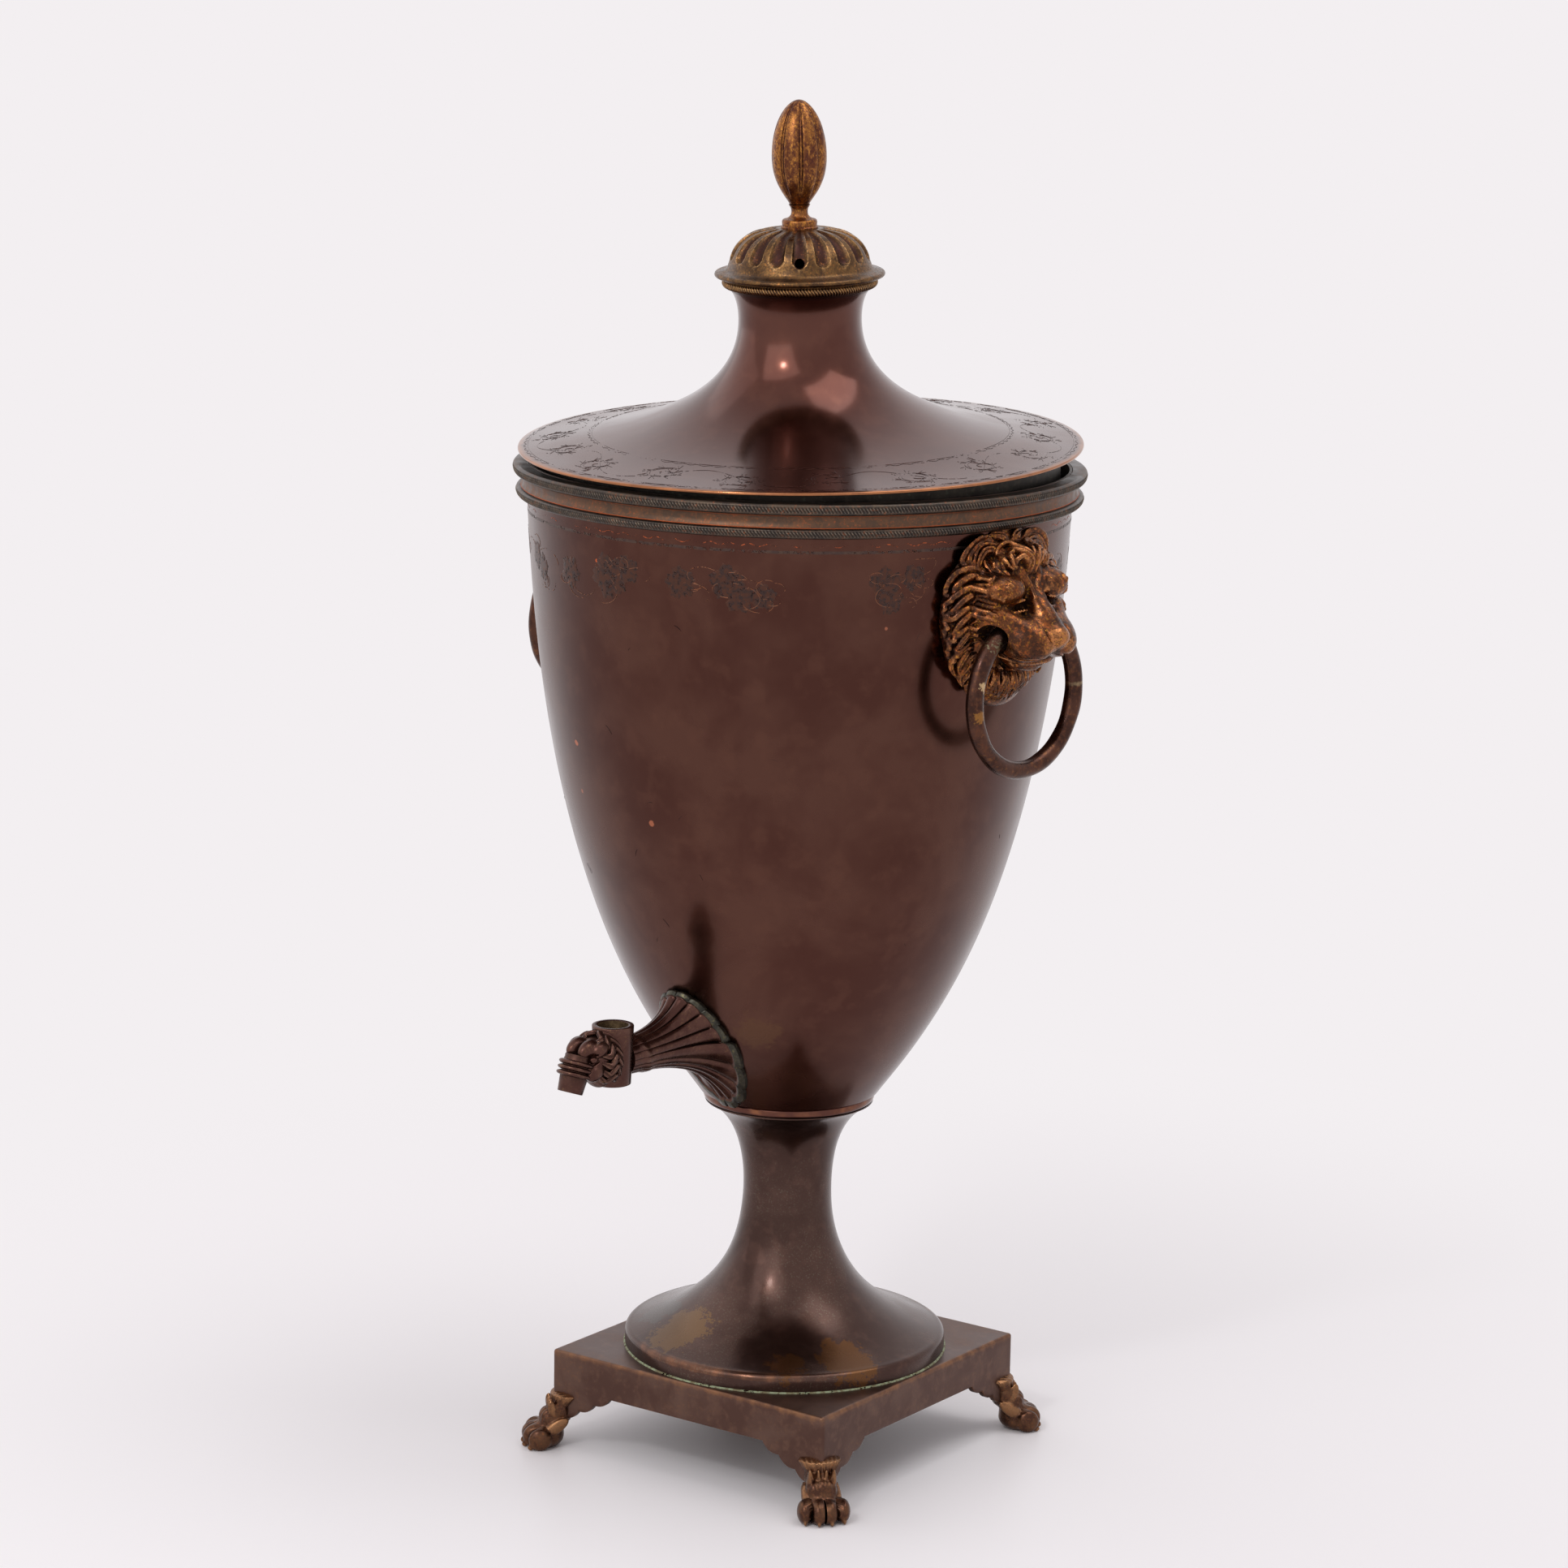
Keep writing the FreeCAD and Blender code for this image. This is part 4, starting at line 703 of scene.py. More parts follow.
@dataclass
class Camera:
    """The camera at the photograph's viewing angle: its place round the urn and its turns."""

    azimuth: float = 43.0
    distance: float = 1836.3
    height: float = 655.93
    pitch: float = 11.825
    yaw: float = -0.1298
    roll: float = 1.0117
    focal_pixels: float = 5829.64
    frame_pixels: float = 1932.0
    sensor: float = 36.0

    def build(self) -> None:
        """Places the camera and makes it the scene's."""
        azimuth, pitch, yaw, roll = (radians(a)
                                     for a in (self.azimuth, self.pitch, self.yaw, self.roll))
        up = np.array([0.0, 0.0, 1.0])
        right = np.array([cos(azimuth), sin(azimuth), 0.0])
        ahead = np.array([-sin(azimuth), cos(azimuth), 0.0])
        place = -ahead * self.distance + up * self.height
        turned_right = right * cos(yaw) - ahead * sin(yaw)
        ahead, right = ahead * cos(yaw) + right * sin(yaw), turned_right
        look = ahead * cos(pitch) - up * sin(pitch)
        top = up * cos(pitch) + ahead * sin(pitch)
        side = right * cos(roll) + top * sin(roll)
        top = top * cos(roll) - right * sin(roll)
        lens = bpy.data.cameras.new("camera")
        lens.sensor_width = self.sensor
        lens.lens = self.sensor * self.focal_pixels / self.frame_pixels
        lens.clip_start, lens.clip_end = 0.05, 100.0
        camera = bpy.data.objects.new("camera", lens)
        pose = np.eye(4)
        pose[:3, 0], pose[:3, 1], pose[:3, 2], pose[:3, 3] = side, top, -look, place * MM
        camera.matrix_world = Matrix(pose.tolist())
        bpy.context.scene.collection.objects.link(camera)
        bpy.context.scene.camera = camera


@dataclass(frozen=True)
class Lamp:
    """A square lamp: where it stands and what it looks at, in metres, its side and its watts."""

    name: str
    place: Point
    target: Point
    size: float
    power: float

    def build(self) -> None:
        """Hangs the lamp."""
        light = bpy.data.lights.new(self.name, "AREA")
        light.shape = "SQUARE"
        light.size = self.size
        light.energy = self.power
        holder = bpy.data.objects.new(self.name, light)
        stand = Matrix.Translation(self.place)
        back = stand.to_translation() - Matrix.Translation(self.target).to_translation()
        holder.matrix_world = stand @ back.to_track_quat("Z", "Y").to_matrix().to_4x4()
        bpy.context.scene.collection.objects.link(holder)


@dataclass
class Studio:
    """A pale floor, a white surround and four soft lights."""

    backdrop: Colour = srgb(243, 239, 241)
    floor_colour: Colour = srgb(250, 247, 249)
    floor_radius: float = 1500.0
    fade_from: float = 0.14
    fade_to: float = 0.62
    ambient: float = 0.64
    lamps: tuple[Lamp, ...] = (
        Lamp("key_light", (0.15, -1.75, 1.55), (0, 0, 0.28), 1.8, 11.5),
        Lamp("side_light", (-1.6, -0.5, 1.1), (0, 0, 0.25), 1.9, 5.0),
        Lamp("sparkle_light", (0.35, -1.7, 1.75), (0, 0, 0.4), 0.22, 5.0),
        Lamp("top_light", (0.6, 0.4, 2.0), (0, 0, 0.2), 1.2, 9.0))

    def world(self) -> None:
        """The surround: white to the camera and to reflections, softer as a light."""
        world = bpy.data.worlds.new("surround")
        bpy.context.scene.world = world
        world.use_nodes = True
        tree = world.node_tree
        tree.nodes.clear()
        path = tree.nodes.new("ShaderNodeLightPath")
        out = tree.nodes.new("ShaderNodeOutputWorld")
        mix = tree.nodes.new("ShaderNodeMixShader")
        seen, lit = (tree.nodes.new("ShaderNodeBackground") for _ in range(2))
        seen.inputs[0].default_value = (*self.backdrop, 1)
        lit.inputs[0].default_value = (*self.backdrop, 1)
        lit.inputs[1].default_value = self.ambient
        either = path.outputs["Is Camera Ray"]
        for ray in ("Is Glossy Ray", "Is Transmission Ray"):
            most = tree.nodes.new("ShaderNodeMath")
            most.operation = "MAXIMUM"
            tree.links.new(either, most.inputs[0])
            tree.links.new(path.outputs[ray], most.inputs[1])
            either = most.outputs[0]
        tree.links.new(either, mix.inputs[0])
        tree.links.new(lit.outputs[0], mix.inputs[1])
        tree.links.new(seen.outputs[0], mix.inputs[2])
        tree.links.new(mix.outputs[0], out.inputs["Surface"])

    def floor(self) -> None:
        """A round floor that fades into the backdrop's colour away from the urn."""
        rings = np.linspace(0, self.floor_radius, 25)
        t = round_turn(96)
        r = rings[:, None]
        grid = beside(r * np.cos(t), r * np.sin(t), 0 * r * t)
        gathered = Workpiece("floor").add(grid, poles=(True, False))
        shader = Shader("studio_floor")
        away = shader.distance((0, 0, 0)) * MM
        speck = shader.noise(2.4, 3.0)
        matt = shader.node("ShaderNodeBsdfPrincipled", None, {
            "Base Color": shader.mix(speck.step(0.3, 0.7) * 0.05, self.floor_colour, self.backdrop),
            "Roughness": 0.4, "Specular IOR Level": 0.25})
        glow = shader.node("ShaderNodeEmission", None, {"Color": self.backdrop, "Strength": 1.0})
        shader.node_out(shader.node("ShaderNodeMixShader", None,
                                    {0: away.step(self.fade_from, self.fade_to), 1: matt, 2: glow}))
        mesh = gathered.mesh()
        mesh.materials.append(shader.material)
        floor = bpy.data.objects.new("floor", mesh)
        bpy.context.scene.collection.objects.link(floor)

    def build(self) -> None:
        """Builds the studio and sets the view."""
        self.world()
        self.floor()
        for lamp in self.lamps:
            lamp.build()
        bpy.context.scene.view_settings.view_transform = "Standard"


@dataclass
class Plinth:
    """The square tray with its hanging corner brackets; the four paws below its corners are made by
    Paws.
    """

    side: float = 133.8
    skirt: float = 15.5
    wall: float = 2.5
    turn: float = 7.4
    corner_round: float = 1.4
    edge_round: float = 1.1
    bracket_length: float = 28.9
    bracket_drop: float = 12.4
    bracket_end: float = 5.0
    lobes: int = 3
    rod_hole: float = 4.15

    def __post_init__(self) -> None:
        """Reads the tray's top from the frame."""
        self.top = float(node_box("plinth")[1][2])
        self.half = self.side / 2

    def lower_edge(self, from_corner: Array) -> Array:
        """Height of the skirt's lower edge at a distance from the corner. Each of the scallops
        falls by 1 - (1 - f)^3.2 of its share, where f runs over it towards the corner."""
        step = (self.bracket_length - self.bracket_end) / self.lobes
        along = np.clip((self.bracket_length - from_corner) / step, 0, self.lobes - 1e-6)
        lobe = np.floor(along)
        fall = lobe + 1 - (1 - (along - lobe)) ** 3.2
        fall = np.where(from_corner >= self.bracket_length, 0, fall)
        return self.top - self.skirt - self.bracket_drop * fall / self.lobes

    def side_stations(self) -> Array:
        """Places along a side, close together where the brackets are scalloped."""
        step = (self.bracket_length - self.bracket_end) / self.lobes
        share = np.array([0, 0.004, 0.03, 0.08, 0.15, 0.25, 0.4, 0.55, 0.7, 0.85])
        bracket = (np.arange(self.lobes)[:, None] + share).reshape(-1) * step
        inner = self.bracket_length - bracket
        corner = np.array([self.bracket_end, 3.5, 2.4, self.corner_round])
        right = np.concatenate([np.linspace(0, self.half - self.bracket_length, 9)[:-1],
                                self.half - inner, self.half - corner])
        return np.concatenate([-right[:0:-1], right])

    def build(self) -> None:
        """Carries the tray's section round a square path with small round corners."""
        along = self.side_stations()
        quarter = np.linspace(0, pi / 2, 7)[1:-1]
        centre = self.half - self.corner_round
        path_x = np.concatenate([along, centre + self.corner_round * np.sin(quarter)])
        path_y = np.concatenate([np.full(len(along), -self.half), -centre
                                 - self.corner_round * np.cos(quarter)])
        normal_x = np.concatenate([np.zeros(len(along)), np.sin(quarter)])
        normal_y = np.concatenate([np.full(len(along), -1.0), -np.cos(quarter)])
        from_corner = np.concatenate([self.half - np.abs(along), np.zeros(len(quarter))])
        low = self.lower_edge(from_corner)
        path, normal, lows = [], [], []
        for quarter_turn in range(4):
            a = quarter_turn * pi / 2
            c, s = cos(a), sin(a)
            path.append(beside(c * path_x - s * path_y, s * path_x + c * path_y))
            normal.append(beside(c * normal_x - s * normal_y, s * normal_x + c * normal_y))
            lows.append(low)
        edge, out, low = np.vstack(path), np.vstack(normal), np.concatenate(lows)
        hub = edge / np.linalg.norm(edge, axis=1, keepdims=True) * self.rod_hole
        rows, relief = [], []

        def row(inset: Union[float, Array], height: Union[float, Array], worn: float) -> None:
            """One line of the tray's section: so far in from the outside, at that height."""
            inset = np.asarray(inset).reshape(-1, 1)
            ground = np.clip(edge - out * inset, inset - self.half, self.half - inset)
            rows.append(np.column_stack([ground, np.broadcast_to(height, len(edge))]))
            relief.append(np.full(len(edge), worn))

        rows.append(np.column_stack([hub, np.full(len(hub), self.top)]))
        relief.append(np.full(len(hub), 0.5))
        row(4.0, self.top, 0.5)
        row(self.edge_round * 1.6, self.top, 0.55)
        for angle in np.linspace(0, pi / 2, 5):
            row(self.edge_round * (1 - sin(angle)), self.top - self.edge_round * (1 - cos(angle)), 0.78)
        face_top = self.top - self.edge_round
        for share in (0.12, 0.4, 0.7, 0.94):
            row(0.0, face_top + (low + 0.5 - face_top) * share, 0.5)
        row(0.0, low + 0.5, 0.62)
        row(0.15, low + 0.14, 0.8)
        row(0.5, low, 0.7)
        row(self.wall, low, 0.4)
        row(self.wall, self.top - self.wall, 0.3)
        rows.append(np.column_stack([hub, np.full(len(hub), self.top - self.wall)]))
        relief.append(np.full(len(hub), 0.4))
        grid = turned(np.array(rows), self.turn)
        tray = Workpiece("plinth_tray").add(grid, loop=True, relief=np.array(relief))
        tray.make([PLINTH_PATINA.make()], Body.URN, Slot.URN_COPPER, ["plinth"], 30)


@dataclass(frozen=True)
class Blob:
    """An egg-shaped mass of a carving: its centre, its three radii, its tilt in degrees about the
    carving's sideways axis, how softly it joins the rest, and whether it is cut away."""

    centre: Point
    radii: Point
    tilt: float = 0.0
    soft: float = 2.0
    cut: bool = False

    def reach(self, points: Array) -> Array:
        """Signed distance from the egg's surface: k (k - 1) / m, where k and m are the lengths of
        the point divided by the radii once and twice."""
        c, s = cos(radians(self.tilt)), sin(radians(self.tilt))
        local = points - np.asarray(self.centre)
        local = beside(c * local[..., 0] - s * local[..., 2], local[..., 1],
                       s * local[..., 0] + c * local[..., 2])
        radii = np.asarray(self.radii)
        k = np.linalg.norm(local / radii, axis=-1)
        m = np.linalg.norm(local / radii ** 2, axis=-1)
        return k * (k - 1) / np.maximum(m, 1e-9)


@dataclass(frozen=True)
class Ridge:
    """A rounded ridge of a carving along a curve: its points, its radius at each, how softly it
    joins the rest, and whether it is cut away."""

    points: Array
    radii: Array
    soft: float = 0.7
    cut: bool = False

    def reach(self, points: Array) -> Array:
        """Signed distance from the ridge: the least, over its spans, of the distance from the
        span's line less the radius there. Far points come back as far away."""
        low = self.points.min(axis=0) - self.radii.max() - 2.5
        high = self.points.max(axis=0) + self.radii.max() + 2.5
        near = np.all((points > low) & (points < high), axis=-1)
        total = np.full(points.shape[:-1], 1e3)
        place = points[near]
        best = np.full(len(place), 1e3)
        for a, b, r, q in zip(self.points[:-1], self.points[1:], self.radii[:-1], self.radii[1:]):
            along = np.clip((place - a) @ (b - a) / max(float((b - a) @ (b - a)), 1e-9), 0, 1)
            gap = np.linalg.norm(place - a - along[:, None] * (b - a), axis=-1)
            best = np.minimum(best, gap - r - along * (q - r))
        total[near] = best
        return total


@dataclass(frozen=True)
class Carving:
    """Masses and ridges joined softly into one form, found along rays from outside. In a paired
    form those at positive Y stand at negative Y too."""

    blobs: tuple[Union[Blob, Ridge], ...]
    paired: bool = False

    def reach(self, points: Array) -> Array:
        """Signed distance from the form. Two masses a and b join as min(a, b) less a quarter of
        soft times the square of 1 - |a - b| / soft."""
        if self.paired:
            points = beside(points[..., 0], np.abs(points[..., 1]), points[..., 2])
        total = np.full(points.shape[:-1], 1e3)
        for blob in self.blobs:
            other = blob.reach(points)
            if blob.cut:
                near = np.clip(1 - np.abs(total + other) / blob.soft, 0, 1)
                total = np.maximum(total, -other) + near * near * blob.soft / 4
            else:
                near = np.clip(1 - np.abs(total - other) / blob.soft, 0, 1)
                total = np.minimum(total, other) - near * near * blob.soft / 4
        return total

    def surface(self, origin: Array, direction: Array, start: Union[float, Array], stop: Array,
                steps: int = 60) -> Array:
        """Walks each ray inward by 0.7 of the distance left until it lies on the form.

        Args:
            origin: Where the rays meet.
            direction: Each ray's unit direction.
            start: The distance from the origin where the walk starts.
            stop: The least distance from the origin.
            steps: How many steps are taken.

        Returns:
            The points on the form.
        """
        length = np.array(np.broadcast_to(start, direction.shape[:-1]))
        for _ in range(steps):
            left = self.reach(origin + direction * length[..., None])
            length = np.maximum(length - 0.7 * left, stop)
        return origin + direction * length[..., None]


@dataclass
class Paws:
    """Four bronze paws: toes, ankle and an arched cuff, with the post and lug inside the tray."""

    reach: float = 107.9
    width: float = 20.4
    height: float = 11.0
    cuff_height: float = 25.5
    heel: float = 91.6
    turn: float = 7.4
    toes: int = 4
    lug_reach: float = 74.0
    lug_low: float = 30.7
    lug_thickness: float = 3.0

    def carving(self) -> Carving:
        """The paw's masses, with X outward along the tray's diagonal."""
        masses = [Blob((self.reach - 9.6, 0, 4.4), (8.4, self.width * 0.42, 5.6), soft=3.0),
                  Blob((self.heel + 3.4, 0, 10.6), (4.6, 6.2, 5.8), 34, 2.4),
                  Blob((self.heel - 0.6, 0, 15.6), (4.6, 6.3, 6.6), 14, 1.8),
                  Blob((self.heel - 2.8, 0, 21.4), (6.6, 8.4, 1.9), 0, 0.5),
                  Blob((self.heel - 2.4, 0, 18.9), (9.0, 12.0, 0.5), 0, 0.6, True)]
        for k in range(self.toes):
            across = (k - (self.toes - 1) / 2) * self.width * 0.25
            back = abs(across) * 0.34
            masses.append(Blob((self.reach - 5.0 - back, across, 4.6), (4.7, 2.75, 4.7), 0, 0.7))
            masses.append(Blob((self.reach - 11.0 - back, across * 0.82, 8.6), (6.6, 1.6, 2.6), 34,
                               0.8))
            masses.append(Blob((self.heel + 2.6, across * 0.62, 14.0), (2.2, 1.2, 6.0), 16, 0.7))
            masses.append(Blob((self.reach - 1.3 - back, across, 1.5), (1.4, 0.8, 1.3), 30, 0.4))
        for k in range(self.toes - 1):
            across = (k - (self.toes - 2) / 2) * self.width * 0.25
            masses.append(Blob((self.reach - 3.4 - abs(across) * 0.34, across, 4.2), (6.6, 0.36, 5.6),
                               18, 0.6, True))
        return Carving(tuple(masses))

    def build(self) -> None:
        """Carves one paw along rays from its middle and sets it at the four corners."""
        origin = np.array([self.heel + 3.0, 0.0, 9.0])
        fall = np.linspace(0, pi, 110)[:, None]
        turn = round_turn(150)
        direction = beside(np.sin(fall) * np.cos(turn), np.sin(fall) * np.sin(turn),
                           np.cos(fall) * np.ones_like(turn))
        carving = self.carving()
        grid = carving.surface(origin, direction, 40.0, np.full(direction.shape[:-1], 1.0))
        # Points inside the paw's large masses, in its creases, get a low relief and are painted darker,
        # as patina and painted occlusion shade; the toes that stand out are painted lighter, as wear
        # and a painted highlight.
        blurred = Carving(tuple(b for b in carving.blobs
                                if not b.cut and min(b.radii) > 2.6)).reach(grid)
        relief = np.clip(0.5 + blurred * 0.5, 0, 1)
        fine = 0.12 * np.sin(grid[..., 1] * 3.4 + grid[..., 2] * 0.3) * smooth(grid[..., 2], 9.0, 13.0)
        grid = grid + direction * fine[..., None] * (grid[..., 2:] < self.cuff_height - 2)
        relief = np.clip(relief + fine * 1.2, 0, 1)
        grid[..., 2] = np.maximum(grid[..., 2], 0.0)
        ring = np.linspace(0, 1, 5)[:, None]
        t = round_turn(24)
        lug_end = self.heel - 8.0
        stadium_x = np.where(np.cos(t) > 0, lug_end, self.lug_reach) + 4.5 * np.cos(t)
        lug = beside(np.broadcast_to(stadium_x, (2, 24)), np.broadcast_to(4.5 * np.sin(t), (2, 24)),
                     np.broadcast_to([[self.lug_low], [self.lug_low + self.lug_thickness]], (2, 24)))
        middle = lug.mean(axis=1, keepdims=True)
        lug = np.vstack([np.broadcast_to(middle[:1], lug[:1].shape), lug,
                         np.broadcast_to(middle[1:], lug[:1].shape)])
        post = beside(lug_end - 1.5 + 3.4 * np.cos(t) + 0 * ring, 4.2 * np.sin(t) + 0 * ring,
                      20.0 + (self.lug_low - 19.5) * ring + 0 * t)
        post[0], post[-1] = post[0].mean(axis=0), post[-1].mean(axis=0)
        finish = FOOT_PATINA.make()
        for quarter, name in enumerate(("front", "right", "back", "left")):
            paw = Workpiece("paw_" + name + "_cast")
            degrees = self.turn - 45 + 90 * quarter
            paw.add(turned(grid, degrees), poles=(True, True), relief=relief)
            paw.add(turned(post, degrees), poles=(True, True), relief=0.4)
            paw.add(turned(lug, degrees), poles=(True, True), relief=0.4)
            paw.make([finish], Body.URN, Slot.FOOT_BRONZE, ["paw_" + name], 50)


@dataclass
class Stem:
    """The trumpet stem on its round foot, and the collar under the bowl."""

    disc_radius: float = 64.8
    disc_edge: float = 5.0
    disc_round: float = 2.4
    waist_radius: float = 17.75
    waist_height: float = 107.0
    top_radius: float = 33.8
    lip: float = 0.5
    wall: float = 1.5
    rod_hole: float = 4.15
    flare_pull: tuple[float, float] = (24.3, 7.8)
    waist_pull: float = 35.5
    throat_pull: float = 25.3
    lip_pull: tuple[float, float] = (6.0, 2.8)
    columns: int = 192

    def __post_init__(self) -> None:
        """Reads the heights from the frame."""
        low, high = node_box("pedestal_stem")
        self.foot, self.top = float(low[2]), float(high[2])

    def build(self) -> None:
        """Turns the stem's double wall and the collar."""
        edge_top = self.foot + self.disc_edge
        crown = (self.disc_radius - self.disc_round, edge_top + self.disc_round)
        corner = [(self.disc_radius - self.disc_round * (1 - cos(a)),
                   edge_top + self.disc_round * sin(a)) for a in np.linspace(0, pi / 2, 6)]
        flare = bezier([crown, (crown[0] - self.flare_pull[0], crown[1] + self.flare_pull[1]),
                        (self.waist_radius, self.waist_height - self.waist_pull),
                        (self.waist_radius, self.waist_height)], 50)
        throat = bezier([(self.waist_radius, self.waist_height),
                         (self.waist_radius, self.waist_height + self.throat_pull),
                         (self.top_radius - self.lip_pull[0], self.top - self.lip - self.lip_pull[1]),
                         (self.top_radius, self.top - self.lip)], 30)
        outer = np.vstack([[(self.disc_radius, self.foot)], [(self.disc_radius, edge_top - 1.2)],
                           corner,
                           flare[1:], throat[1:]])
        curve = np.vstack([flare, throat[1:]])
        inner = (curve + normals_2d(curve) * self.wall)[::-1]
        inner = inner[inner[:, 1] < self.top - self.wall]
        inner_edge = self.disc_radius - self.wall
        profile = np.vstack([outer, [(self.top_radius, self.top)], [(self.rod_hole, self.top)],
                             [(self.rod_hole, self.top - self.wall)],
                             [(inner[0][0], self.top - self.wall)], inner,
                             [(inner_edge, edge_top - 0.5)], [(inner_edge, self.foot)]])
        t = round_turn(self.columns)
        height = profile[:, 1:]
        dents = 0.10 * np.sin(3 * t + height * 0.07) * np.sin(height * 0.11 + 1.3)
        push = np.where(profile[:, :1] > self.rod_hole + 1,
                        dents * smooth(height, self.foot + 6, self.foot + 22), 0)
        relief = np.full((len(profile), self.columns), 0.5)
        relief[2:8] = 0.66 + 0.1 * np.sin(2 * t + 1.0)
        relief[0] = 0.15
        skin = lathe(profile, self.columns, -push)
        stem = Workpiece("stem_trumpet").add(skin, loop=True, relief=relief)
        stem.make([STEM_PATINA.make()], Body.URN, Slot.URN_COPPER, ["pedestal_stem"], 32)
        self.build_collar()
        seam = lathe(np.array([(self.disc_radius - 0.3, self.foot),
                               (self.disc_radius + 0.62, self.foot + 0.02),
                               (self.disc_radius + 0.45, self.foot + 0.42),
                               (self.disc_radius - 0.1, self.foot + 0.62)]),
                     self.columns)
        line = Workpiece("foot_verdigris_line").add(seam, loop=True)
        line.make([VERDIGRIS_LINE.make()], Body.URN, Slot.URN_COPPER)

    def build_collar(self) -> None:
        """A thin collar with a rounded edge."""
        low, high = node_box("waist_collar")
        radius = float(high[0])
        bulge = np.linspace(-pi / 2, pi / 2, 9)
        middle, half = (low[2] + high[2]) / 2, (high[2] - low[2]) / 2
        edge = np.column_stack([radius - 1.2 + 1.2 * np.cos(bulge), middle
                                + (half - 0.05) * np.sin(bulge)])
        profile = np.vstack([[(self.rod_hole, low[2])], edge, [(self.rod_hole, high[2])]])
        relief = np.full((len(profile), 1), 0.5)
        relief[4:7] = 0.7
        skin = lathe(profile, self.columns)
        collar = Workpiece("waist_collar_ring").add(skin, loop=True, relief=relief)
        collar.make([LID_PATINA.make()], Body.URN, Slot.URN_COPPER, ["waist_collar"])


